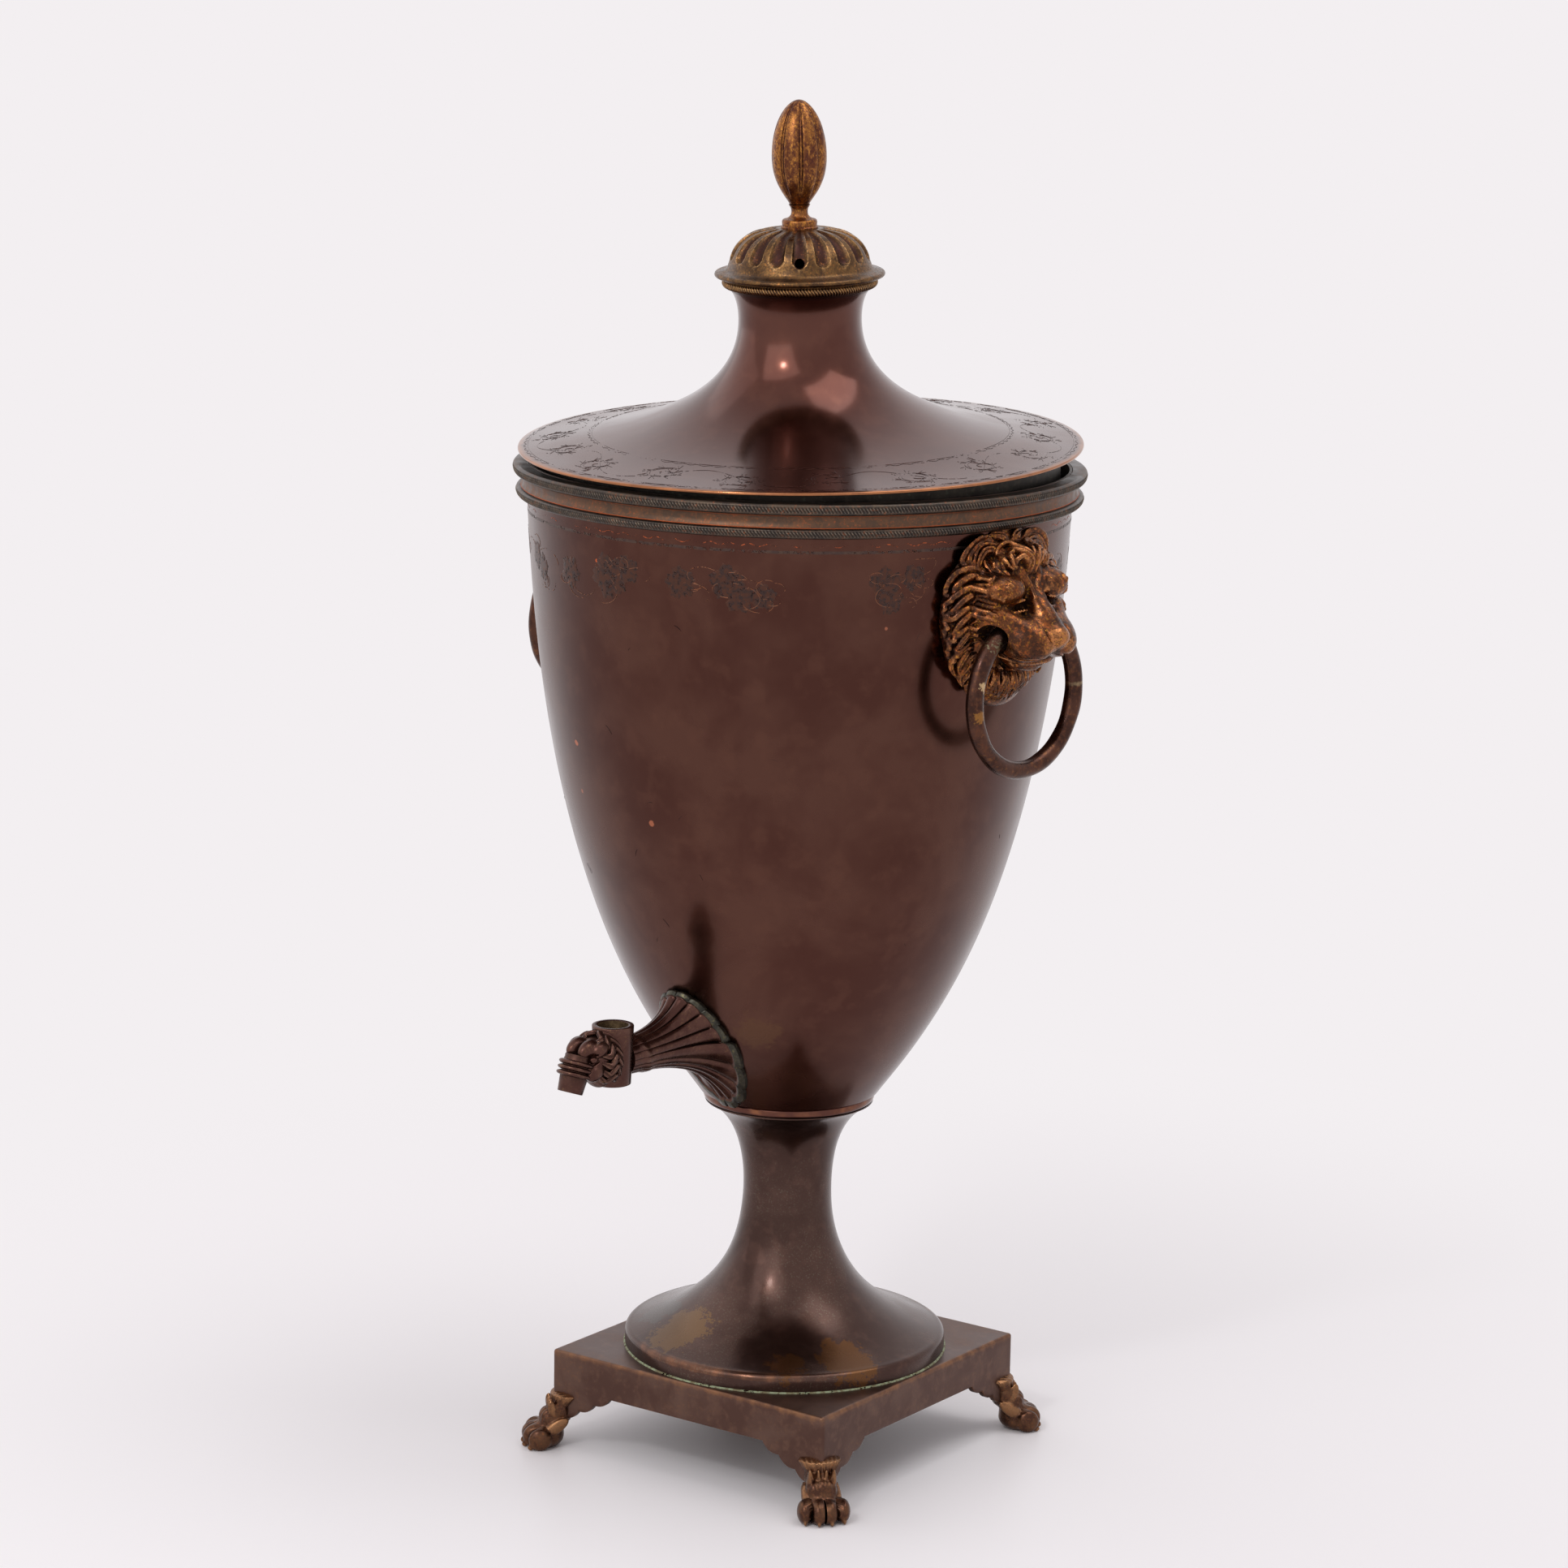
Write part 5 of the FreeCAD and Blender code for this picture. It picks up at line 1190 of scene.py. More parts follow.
@dataclass
class Bowl:
    """The raised copper bowl with its tinned inside, its worn vine band and its scratches."""

    radius: float = 106.4
    base_radius: float = 35.85
    shoulder: float = 382.0
    wall: float = 1.2
    rod_hole: float = 4.15
    belly_pull: tuple[float, float] = (7.54, 158.7)
    base_pull: tuple[float, float] = (17.38, 23.93)
    columns: int = 240
    skin: float = 0.05
    band: tuple[float, float] = (352.0, 378.0)
    band_middle: float = 366.0
    wave_line: float = 383.6
    border_line: float = 381.2
    front_leaves: tuple[Point, ...] = (
        (0.5, 366.5, 9.4), (5.5, 370.0, 6.0), (18.4, 367.5, 6.6), (28.4, 369.0, 7.2),
        (31.0, 363.6, 6.6), (36.0, 364.0, 5.4), (61.0, 369.0, 7.0), (62.5, 362.0, 5.6),
        (67.0, 371.0, 5.6))
    scratches: int = 46

    def __post_init__(self) -> None:
        """Reads the bowl's heights from the frame."""
        low, high = node_box("bowl")
        self.foot, self.rim = float(low[2]), float(high[2])
        self.curve = bezier([(self.radius, self.shoulder),
                             (self.radius - self.belly_pull[0], self.shoulder - self.belly_pull[1]),
                             (self.base_radius + self.base_pull[0], self.foot + self.base_pull[1]),
                             (self.base_radius, self.foot)], 90)[::-1]

    def radius_at(self, height: Union[float, Array]) -> Array:
        """The bowl's outer radius at a height."""
        return np.interp(height, self.curve[:, 1], self.curve[:, 0], right=self.radius)

    def on_wall(self, azimuth: Array, height: Array, out: float = 0.0) -> Array:
        """Points of the bowl's outside, by azimuth in degrees and height."""
        t = np.radians(azimuth)
        r = self.radius_at(height) + out
        return beside(r * np.sin(t), -r * np.cos(t), height + 0 * t)

    def mark(self, azimuth: Array, height: Array, width: float) -> Array:
        """A thin stroke on the bowl: a flat profile carried along a path on the wall."""
        path = self.on_wall(azimuth, height, self.skin)
        up = path * np.array([1, 1, 0])
        up /= np.linalg.norm(up, axis=1, keepdims=True)
        end = np.minimum(1, np.minimum(np.arange(len(path)), np.arange(len(path))[::-1]) / 2 + 0.15)
        return carried(path, width / 2 * end, np.full(len(path), self.skin), up, 6)[0]

    def build(self) -> None:
        """Turns the bowl's double wall, with the slight waves of hand work."""
        inner = (self.curve + normals_2d(self.curve) * self.wall)
        inner = inner[inner[:, 1] > self.foot + self.wall][::-1]
        outside = np.vstack([[(self.rod_hole, self.foot)], [(self.base_radius - 0.8, self.foot)],
                             self.curve,
                             [(self.radius, self.rim - 0.4)], [(self.radius - 0.2, self.rim)]])
        inside = np.vstack([[(self.radius - self.wall, self.rim)],
                            [(self.radius - self.wall, self.shoulder + 3)],
                            inner, [(inner[-1][0] - 0.6, self.foot + self.wall)],
                            [(self.rod_hole, self.foot + self.wall)]])
        profile = np.vstack([outside, inside])
        t = round_turn(self.columns)
        height = profile[:, 1:]
        waves = (0.10 * np.sin(2 * t + height * 0.021) * np.sin(height * 0.03)
                 + 0.05 * np.sin(5 * t - height * 0.05 + 0.8))
        swell = smooth(height, self.foot + 12, self.foot
                       + 50) * (1 - smooth(height, self.shoulder - 30, self.shoulder))
        bowl = Workpiece("bowl_shell")
        grid = lathe(profile, self.columns, -waves * swell)
        relief = np.full(grid.shape[:2], 0.5)
        bowl.add(grid, loop=True, relief=relief)
        rows = len(outside)
        lining = np.array([any(i % (len(profile) * self.columns) // self.columns >= rows for i in face)
                           for face in bowl.faces])
        bowl.finish = lining.astype(int).tolist()
        bowl.make([BOWL_PATINA.make(), TINNED_PATINA.make()], Body.URN, Slot.URN_COPPER, ["bowl"], 32)
        self.build_band()
        self.build_scratches()

    def build_band(self) -> None:
        """The worn band round the bowl: leaves, tendrils, a wavy line and a border line."""
        maker = np.random.default_rng(11)
        leaves, tendrils = Workpiece("worn_vine_leaves"), Workpiece("worn_vine_tendrils")
        rest = [(azimuth + maker.uniform(-4, 4), self.band_middle + 3 * sin(azimuth),
                 maker.uniform(5, 8.5)) for azimuth in range(118, 350, 11)]
        for azimuth, height, size in list(self.front_leaves) + rest:
            self.add_leaf(leaves, azimuth, height, size, maker.uniform(0, 360))
            s = np.linspace(0, 1, 30)
            for _ in range(3):
                curl = maker.uniform(0.5, 1.4) * maker.choice([-1, 1])
                aim, reach = maker.uniform(0, FULL_TURN), maker.uniform(16, 30)
                bend = aim + curl * 4.2 * s ** 1.6
                step_x, step_z = (np.cumsum(f(bend)) * reach / 30 for f in (np.cos, np.sin))
                place = np.clip(height + step_z * 0.6, *self.band)
                tendrils.add(self.mark(azimuth + np.degrees(step_x / self.radius), place, 0.26))
        around = np.arange(720) / 2
        wave, border = Workpiece("engraved_wave_line"), Workpiece("worn_border_line")
        for piece, height, swing, width in ((wave, self.wave_line, 0.5, 0.17),
                                            (border, self.border_line, 0.05, 0.55)):
            path = self.on_wall(around, height + swing * np.sin(np.radians(around) * 90), self.skin)
            up = path * np.array([1, 1, 0]) / self.radius
            piece.add(carried(path, np.full(720, width), np.full(720, self.skin), up, 4)[0], loop=True)
        for piece, ink in ((leaves, LEAF_GROUND), (tendrils, TENDRIL_LINE),
                           (wave, WAVE_LINE), (border, GREY_LINE)):
            piece.make([ink.make()], Body.URN, Slot.URN_COPPER)

    def add_leaf(self, piece: Workpiece, azimuth: float, height: float, size: float,
                 turn: float) -> None:
        """A lobed leaf flat on the wall. Its outline's radius is size times
        0.7 + 0.26 |cos 2.5t| + 0.06 cos 13t + 0.04 cos 23t."""
        t = round_turn(72)
        outline = size * (0.7 + 0.26 * np.abs(np.cos(2.5 * t)) + 0.06 * np.cos(13 * t + turn)
                          + 0.04 * np.cos(23 * t - turn))
        share = np.array([0.0, 0.55, 0.97, 1.0, 0.97, 0.5, 0.0])[:, None]
        out = self.skin * np.array([1.4, 1.4, 1.0, 0.0, -1.0, -1.0, -1.0])[:, None]
        dx, dz = share * outline * np.cos(t + turn), share * outline * np.sin(t + turn)
        place = np.clip(height + dz, self.band[0], self.band[1] + 0.5)
        angle = np.radians(azimuth + np.degrees(dx / self.radius))
        r = self.radius_at(place) + out
        piece.add(beside(r * np.sin(angle), -r * np.cos(angle), place), poles=(True, True))

    def build_scratches(self) -> None:
        """A few old scratches."""
        maker = np.random.default_rng(5)
        piece = Workpiece("old_scratches")
        for _ in range(self.scratches):
            azimuth, height = maker.uniform(0, 360), maker.uniform(190, 350)
            length, lean = maker.uniform(1.0, 5.0), maker.uniform(-1.2, 1.2)
            s = np.linspace(-0.5, 0.5, 7)
            piece.add(self.mark(azimuth + np.degrees(s * length * cos(lean) / 95),
                                height + s * length * sin(lean) + 0.3 * np.cos(4 * s), 0.16))
        piece.make([SCRATCH_LINE.make()], Body.URN, Slot.URN_COPPER)


@dataclass
class Rim:
    """The rim moulding: two milled beads with a cove between them."""

    wall: float = 106.45
    teeth: int = 545
    slant: float = 1.1
    depth: float = 0.5
    across: int = 4

    def bead(self, name: str, piece_name: str, foot_out: float, top_out: float, crest_out: float,
             band: tuple[float, float]) -> None:
        """A round bead with a band of slanted teeth. A tooth's depth is (1 + cos p)/2 to the 1.5,
        where p is the tooth's phase, moved on with height by the slant.

        Args:
            name: The CAD node that it stands for.
            piece_name: The piece's name.
            foot_out: How far its foot stands out from the bowl.
            top_out: How far its top edge stands out.
            crest_out: How far its crest stands out.
            band: The shares of its height between which it is milled.
        """
        low, high = node_box(name)
        radius = self.wall - 0.05
        pull = radius + (crest_out - (foot_out + top_out) / 8) / 0.75
        front = bezier([(radius + foot_out, low[2]), (pull, low[2]), (pull, high[2]),
                        (radius + top_out, high[2])], 19)
        profile = np.vstack([[(self.wall, low[2])], front, [(self.wall, high[2])]])
        columns = self.teeth * self.across
        t = round_turn(columns)
        share = (profile[:, 1:] - low[2]) / (high[2] - low[2])
        milled = smooth(share, band[0] - 0.05, band[0]
                        + 0.02) * (1 - smooth(share, band[1] - 0.02, band[1] + 0.05))
        milled[0] = milled[-1] = 0
        phase = t * self.teeth + share * FULL_TURN * self.slant * 2
        tooth = ((1 + np.cos(phase)) / 2) ** 1.5
        push = milled * (tooth - 1) * self.depth
        # Tooth tops take the crest tone, as wear and a painted highlight, and the gaps between teeth
        # the groove tone, as patina and painted shade.
        relief = 0.5 + milled * (tooth - 0.5) * 0.95
        bead = Workpiece(piece_name).add(lathe(profile, columns, -push), loop=True, relief=relief)
        bead.make([MOULDING_PATINA.make()], Body.URN, Slot.MOULDING_BRONZE, [name], 60)

    def build(self) -> None:
        """Makes the two beads and the cove."""
        self.bead("rim_upper_bead", "upper_milled_bead", 2.8, 4.3, 5.9, (0.28, 0.74))
        self.bead("rim_lower_bead", "lower_milled_bead", 1.0, 2.8, 4.7, (0.26, 0.76))
        low, high = node_box("rim_cove")
        share = np.linspace(0, 1, 15)
        edge, deep = self.wall - 0.05 + 2.8, self.wall - 0.05 + 2.0
        hollow = np.column_stack([edge - (edge - deep) * 4 * share * (1 - share), low[2]
                                  + (high[2] - low[2]) * share])
        profile = np.vstack([[(self.wall, low[2])], hollow, [(self.wall, high[2])]])
        relief = np.full((len(profile), 1), 0.5)
        relief[1], relief[-2] = 0.0, 0.0
        cove = Workpiece("rim_hollow").add(lathe(profile, 240), loop=True, relief=relief)
        cove.make([COVE_PATINA.make()], Body.URN, Slot.MOULDING_BRONZE, ["rim_cove"], 60)


@dataclass
class Lid:
    """The loose trumpet lid, its bezel and engraving, and the gilt cap and bud on its neck. All
    of it leans a little on its seat."""

    radius: float = 110.0
    wall: float = 1.2
    neck_radius: float = 24.0
    neck_rise: float = 48.4
    lip_radius: float = 27.5
    lip_rise: float = 12.2
    brim_pull: tuple[float, float] = (69.2, 7.4)
    neck_pull: float = 20.8
    lean: float = 2.8
    lean_turn: float = 15.0
    seat_gap: float = 0.3
    bezel_radius: float = 101.5
    bezel_depth: float = 20.0
    bezel_wall: float = 1.2
    bead_height: float = 3.2
    bead_radius: float = 30.3
    bead_swell: float = 0.45
    rope_strands: int = 155
    cap_radius: float = 33.1
    cap_flange: float = 3.6
    shoulder_radius: float = 27.2
    shoulder_rise: float = 3.8
    crown_radius: float = 16.4
    crown_slope: float = 1.2
    cap_height: float = 19.8
    flutes: int = 18
    flute_depth: float = 1.6
    vent_radius: float = 1.9
    vent_azimuth: float = 43.0
    knop_radius: float = 7.2
    knop_height: float = 9.4
    knop_drum: float = 3.4
    knop_neck: float = 3.9
    knop_waist: float = 3.2
    bud_radius: float = 10.8
    bud_height: float = 39.9
    bud_belly: float = 18.0
    bud_lobes: int = 8
    bore: float = 2.55
    sag_from: float = 70.0
    scrolls: int = 18
    scroll_reach: float = 95.0
    scroll_size: float = 9.0
    scroll_squash: float = 0.72
    columns: int = 240

    def __post_init__(self) -> None:
        """Works out the heights from the seat ledge in the frame."""
        lean = radians(self.lean)
        self.brim = (float(node_box("lid_seat_ring")[1][2]) + self.seat_gap
                     + self.bezel_depth * cos(lean) + self.bezel_radius * sin(lean))
        self.neck = self.brim + self.neck_rise
        self.lip = self.neck + self.lip_rise
        self.cap_foot = self.lip + self.bead_height
        self.crown_top = self.cap_foot + self.cap_height
        self.bud_foot = self.crown_top + self.knop_height
        self.flare = bezier([(self.neck_radius, self.neck),
                             (self.neck_radius, self.neck - self.neck_pull),
                             (self.radius - self.brim_pull[0], self.brim + self.brim_pull[1]),
                             (self.radius, self.brim)], 70)

    def sag(self, turn: Array, reach: Array) -> Array:
        """How far the brim rises at an angle: 0.35 sin(2t + 1.1) + 0.22 sin(3t - 0.6), fading
        inwards."""
        wave = 0.35 * np.sin(2 * turn + 1.1) + 0.22 * np.sin(3 * turn - 0.6)
        return wave * smooth(reach, self.sag_from, self.radius)

    def leant(self, grid: Array) -> Array:
        """The grid, leaning as the loose lid does."""
        turn = radians(self.lean_turn)
        return turned(grid, self.lean, (cos(turn), sin(turn), 0), (0, 0, self.brim))

    def build(self) -> None:
        """Makes the lid's pieces from the brim upwards."""
        self.build_cover()
        self.build_bezel()
        self.build_engraving()
        self.build_rope_bead()
        self.build_cap()
        self.build_finial()

    def build_cover(self) -> None:
        """Turns the lid's double wall with its rolled lip, and its brim edge painted bright as worn
        copper and a painted highlight.
        """
        neck = bezier([(self.neck_radius, self.neck), (self.neck_radius, self.neck + 6.0),
                       (self.lip_radius - 2.0, self.lip - 2.3), (self.lip_radius, self.lip)], 16)
        curve = np.vstack([neck[::-1], self.flare[1:]])
        inner = curve[::-1] - normals_2d(curve)[::-1] * self.wall
        inner = inner[inner[:, 1] < self.lip - 0.2]
        angles = np.linspace(0.5, pi - 0.5, 6)
        edge = np.column_stack([self.radius + 0.45 * np.sin(angles), self.brim - self.wall / 2
                                + self.wall / 2 * np.cos(angles)])
        profile = np.vstack([curve, edge, inner, [(inner[-1][0], self.lip)]])
        t = round_turn(self.columns)
        grid = lathe(profile, self.columns)
        grid[..., 2] += self.sag(t, profile[:, :1])
        relief = np.full(grid.shape[:2], 0.5)
        first = len(curve) - 1
        # The rolled brim edge is painted bright with the crest tone, as worn copper and a painted
        # highlight; the lip's top under the rope bead is painted dark with the groove tone, as patina
        # and painted shade.
        relief[first:first + 7] = 0.92
        relief[:3] = 0.2
        cover = Workpiece("lid_trumpet").add(self.leant(grid), loop=True, relief=relief)
        rows = first + 7
        size = self.columns
        cover.finish = [int(min(face) // size >= rows and max(face) // size < len(profile) - 1)
                        for face in cover.faces]
        cover.make([LID_PATINA.make(), TINNED_PATINA.make()], Body.LID, Slot.URN_COPPER, ["lid_cover"],
                   40)

    def brim_point(self, azimuth: Array, reach: Array, out: float = 0.05) -> Array:
        """Points on the lid's upper side, by azimuth in degrees and distance from its axis."""
        t = np.radians(azimuth)
        height = np.interp(reach, self.flare[:, 0], self.flare[:, 1]) + out + self.sag(t, reach)
        return self.leant(beside(reach * np.sin(t), -reach * np.cos(t), height))

    def build_engraving(self) -> None:
        """Scrolls with leaves round the brim between two wavy lines. A scroll is a spiral whose
        radius shrinks evenly while it turns."""
        piece = Workpiece("engraved_lid_scrolls")
        up = np.array([0.0, 0.0, 1.0])
        s = np.linspace(0, 1, 30)
        count, middle_line, squash = self.scrolls, self.scroll_reach, self.scroll_squash

        def stroke(azimuth: Array, reach: Array, width: float) -> None:
            """One engraved line, thinner at its ends."""
            path = self.brim_point(azimuth, reach)
            taper = np.sin(np.linspace(0.15, pi - 0.15, len(path))) ** 0.5
            piece.add(carried(path, width / 2 * taper, np.full(len(path), 0.05), up, 6)[0])

        for k in range(count):
            middle, side = 360 * (k + 0.5) / count, 1 if k % 2 else -1
            for shrink, width in ((1.0, 0.3), (0.84, 0.2)):
                radius = self.scroll_size * shrink * (1 - 0.86 * s)
                spin = side * (1.2 + 9.0 * s)
                stroke(middle + np.degrees(radius * np.cos(spin) / middle_line),
                       middle_line + side + radius * squash * np.sin(spin), width)
            link = side * 8.0 * np.cos(s * pi)
            stroke(360 * (k + s) / count, middle_line - link, 0.26)
            for leaf in range(9):
                spin, size = side * (1.2 + 0.8 * leaf), self.scroll_size * (1 - 0.07 * leaf)
                across, out = size * cos(spin), squash * size * sin(spin)
                for splay in (0.5, 1.1):
                    curl = 3.4 * np.sin(s * 2.4)
                    aim = spin + side * splay
                    stroke(middle + np.degrees((across + curl * cos(aim)) / middle_line),
                           np.clip(middle_line + side + out + curl * sin(aim), 84, 106.5), 0.22)
        around = np.linspace(0, 360, 901)
        for reach, swing in ((107.6, 0.5), (82.6, 0.45)):
            stroke(around, reach + swing * np.sin(np.radians(around) * 90), 0.26)
            stroke(around, np.full(901, reach - 1.1), 0.2)
        piece.make([LID_SCROLL_INK.make()], Body.LID, Slot.URN_COPPER)

    def build_bezel(self) -> None:
        """The plain ring under the brim that drops inside the rim."""
        normal = normals_2d(self.flare)
        under = self.flare + normal * np.where(normal[:, 1:] > 0, -1, 1) * self.wall
        radii = np.array([self.bezel_radius, self.bezel_radius - self.bezel_wall])
        tops = np.interp(radii, under[:, 0], under[:, 1]) - 0.05
        foot = self.brim - self.bezel_depth
        outer = run((radii[0], foot + 0.3), (radii[0], tops[0]), 8)
        inner = run((radii[1], tops[1]), (radii[1], foot), 8)
        profile = np.vstack([outer, inner, [(radii[0] - 0.3, foot)]])
        skin = self.leant(lathe(profile, self.columns))
        bezel = Workpiece("lid_bezel_ring").add(skin, loop=True, relief=0.5)
        bezel.make([BEZEL_PATINA.make()], Body.LID, Slot.WORN_COPPER, ["lid_bezel"])

    def build_rope_bead(self) -> None:
        """A bead of slanted strands. A strand's radius is |sin p|^0.6, where p is half its phase."""
        inner = self.lip_radius - self.wall
        angles = np.linspace(-pi / 2 + 0.35, pi / 2 - 0.1, 13)
        half = self.bead_height / 2 + self.bead_swell
        edge = np.column_stack([self.lip_radius + 0.4
                                + (self.bead_radius - self.lip_radius - 0.4) * np.cos(angles),
                                self.lip + half + (half - 0.02) * np.sin(angles)])
        profile = np.vstack([[(inner, self.lip)], edge, [(inner, self.lip + 2 * half)]])
        columns = self.rope_strands * 6
        t = round_turn(columns)
        share = (profile[:, 1:] - self.lip) / self.bead_height
        phase = t * self.rope_strands / 2 + share * 3.6
        strand = np.abs(np.sin(phase)) ** 0.6
        band = np.ones_like(share)
        band[0] = band[-1] = 0
        push = band * (strand - 1) * 0.55
        relief = 0.5 + band * (strand - 0.55)
        bead = Workpiece("rope_bead").add(self.leant(lathe(profile, columns, -push)), loop=True,
                                          relief=relief)
        bead.make([CAP_PATINA.make()], Body.LID, Slot.GILT_BRONZE, ["cap_rope_bead"], 70)

    def build_cap(self) -> None:
        """The fluted cap. A flute is a round gouge that narrows towards the knop and ends in a
        half circle above the flange: its depth is the root of 1 - u^2, where u is the distance
        from its middle line over its half width."""
        flange_top = self.cap_foot + self.cap_flange
        shoulder = flange_top + self.shoulder_rise
        bulge = np.linspace(-1.2, pi / 2, 9)
        flange = np.column_stack([self.cap_radius - 1.3 + 1.3 * np.cos(bulge),
                                  self.cap_foot + self.cap_flange * 0.6 + 1.1 * np.sin(bulge)])
        step = bezier([(self.cap_radius - 2.4, flange_top),
                       (self.shoulder_radius + 1.6, flange_top + 0.3),
                       (self.shoulder_radius + 0.9, flange_top + 1.0),
                       (self.shoulder_radius + 0.7, flange_top + 1.8)], 6)
        dome = bezier([(self.shoulder_radius, shoulder), (self.shoulder_radius - 1.0, shoulder + 6.0),
                       (self.crown_radius + 5.0, self.crown_top - self.crown_slope - 1.2),
                       (self.crown_radius, self.crown_top - self.crown_slope)], 34)
        crown = bezier([(self.crown_radius, self.crown_top - self.crown_slope),
                        (self.crown_radius - 4, self.crown_top - 0.3),
                        (self.knop_radius + 3, self.crown_top),
                        (self.knop_radius + 0.4, self.crown_top)], 14)
        outside = np.vstack([[(self.lip_radius - 3.0, self.cap_foot)],
                             [(self.bead_radius - 0.4, self.cap_foot)],
                             flange, step, dome, crown[1:], [(self.bore, self.crown_top)]])
        inside = np.vstack([[(self.bore, self.crown_top - 1.8)],
                            [(self.crown_radius - 2, self.crown_top - 3.4)],
                            [(self.shoulder_radius - 4.6, shoulder + 5.0)],
                            [(self.lip_radius - 3.0, shoulder - 3.0)]])
        profile = np.vstack([outside, inside])
        columns = self.flutes * 18
        t = round_turn(columns)
        r = profile[:, :1]
        slope = np.linalg.norm(np.diff(profile, axis=0), axis=1)
        travel = np.concatenate([[0], np.cumsum(slope)])[:, None]
        start = travel[2 + len(flange) + len(step)]
        spacing = FULL_TURN / self.flutes
        turn = (t - radians(self.vent_azimuth) + spacing / 2) % spacing - spacing / 2
        half = 0.31 * spacing * r
        foot = start + 0.5
        rounded = np.maximum(0, foot + half - travel)
        u = np.sqrt((turn * r) ** 2 + rounded ** 2) / np.maximum(half, 0.2)
        fade = 1 - smooth(r, self.knop_radius + 1.5, self.knop_radius + 0.6)
        near = smooth(r, self.knop_radius + 1.0, self.knop_radius + 4.0)
        hollow = np.sqrt(np.clip(1 - u * u, 0, 1)) * near
        live = np.zeros_like(travel)
        live[2 + len(flange) + len(step):len(outside) - 1] = 1
        depth = self.flute_depth * np.clip(half / 2.6, 0.25, 1.2)
        push = -hollow * depth * live * fade
        relief = np.clip(0.55 - 0.5 * hollow * live + 0.34 * np.exp(-((u - 1.1) / 0.14) ** 2) * live, 0,
                         1)
        cap = Workpiece("fluted_cap").add(self.leant(lathe(profile, columns, -push)), loop=True,
                                          relief=relief)
        made = cap.make([CAP_PATINA.make()], Body.LID, Slot.GILT_BRONZE, ["lid_cap"], 46)
        self.cut_vent(made, shoulder + 1.9)

    def cut_vent(self, cap: bpy.types.Object, height: float) -> None:
        """Bores the steam vent through the cap's side."""
        t = round_turn(28)
        along = np.array([self.crown_radius, self.crown_radius, self.cap_radius,
                          self.cap_radius])[:, None]
        size = self.vent_radius * np.array([0, 1, 1, 0])[:, None]
        drill = beside(size * np.cos(t), -along + 0 * t, height + size * np.sin(t))
        drill = self.leant(turned(drill, self.vent_azimuth))
        cutter = Workpiece("vent_drill").add(drill, poles=(True, True))
        hollowed(cap, cutter)

    def build_finial(self) -> None:
        """The knop, and the bud with its broad lobes and paired grooves."""
        drum = self.crown_top + self.knop_drum
        knop = np.vstack([[(self.bore, self.crown_top)], [(self.knop_radius, self.crown_top)],
                          [(self.knop_radius, self.crown_top + 0.5)],
                          [(self.knop_radius - 0.45, self.crown_top + 0.9)],
                          [(self.knop_radius - 0.35, drum - 0.9)],
                          [(self.knop_radius - 0.55, drum - 0.3)],
                          bezier([(self.knop_radius - 0.9, drum), (self.knop_neck - 0.2, drum + 0.5),
                                  (self.knop_waist, drum + 1.6), (self.knop_waist, drum + 3.0)], 12),
                          bezier([(self.knop_waist, drum + 3.1), (self.knop_waist, drum + 4.4),
                                  (self.knop_neck, self.bud_foot - 1.0),
                                  (self.knop_neck + 0.3, self.bud_foot - 0.3)], 8),
                          [(self.bore, self.bud_foot - 0.1)]])
        skin = self.leant(lathe(knop, 96))
        turned_knop = Workpiece("finial_knop_turned").add(skin, loop=True, relief=0.62)
        finish = GILT_PATINA.make()
        turned_knop.make([finish], Body.LID, Slot.GILT_BRONZE, ["finial_knop"])
        belly, top = self.bud_foot + self.bud_belly, self.bud_foot + self.bud_height
        lower = bezier([(self.knop_neck, self.bud_foot), (self.knop_neck + 1.6, self.bud_foot + 3.0),
                        (self.bud_radius, belly - 10.6), (self.bud_radius, belly)], 40)
        upper = bezier([(self.bud_radius, belly), (self.bud_radius, belly + (top - belly) * 0.66),
                        (4.2, top), (0.01, top)], 44)
        outline = np.vstack([lower, upper[1:]])
        columns = self.bud_lobes * 26
        t = round_turn(columns)
        spacing = FULL_TURN / self.bud_lobes
        turn = (t - radians(self.vent_azimuth) + spacing * 0.9) % spacing - spacing / 2
        share = np.abs(turn) / (spacing / 2)
        z = outline[:, 1:]
        above_foot = smooth(z, self.bud_foot + 1.0, self.bud_foot + 7.0)
        live = above_foot * (1 - smooth(z, top - 1.2, top - 0.05))
        pair = np.exp(-((share - 0.84) / 0.05) ** 2)
        swell = np.sqrt(np.clip(1 - (share / 0.9) ** 2, 0, 1))
        push = live * (-0.7 * pair + 0.7 * (swell - 1) * (share < 0.9)
                       - 0.5 * (share >= 0.9)) * outline[:, :1] / 10
        relief = np.clip(0.66 - 0.6 * pair * live - 0.25 * (share >= 0.86) * live, 0, 1)
        grid = self.leant(lathe(outline, columns, -push))
        bud = Workpiece("ribbed_bud").add(grid, poles=(False, True), relief=relief)
        stud_foot = self.crown_top - 1.8 - 4.0 - 2.0
        stud = lathe(np.array([(0.001, self.bud_foot + 0.6),
                               (self.knop_neck * 0.9, self.bud_foot + 0.5),
                               (2.4, self.bud_foot), (2.4, stud_foot), (0.001, stud_foot)]), 32)
        bud.add(self.leant(stud), poles=(True, True), relief=0.5)
        bud.make([finish], Body.LID, Slot.GILT_BRONZE, ["finial_bud"], 60)


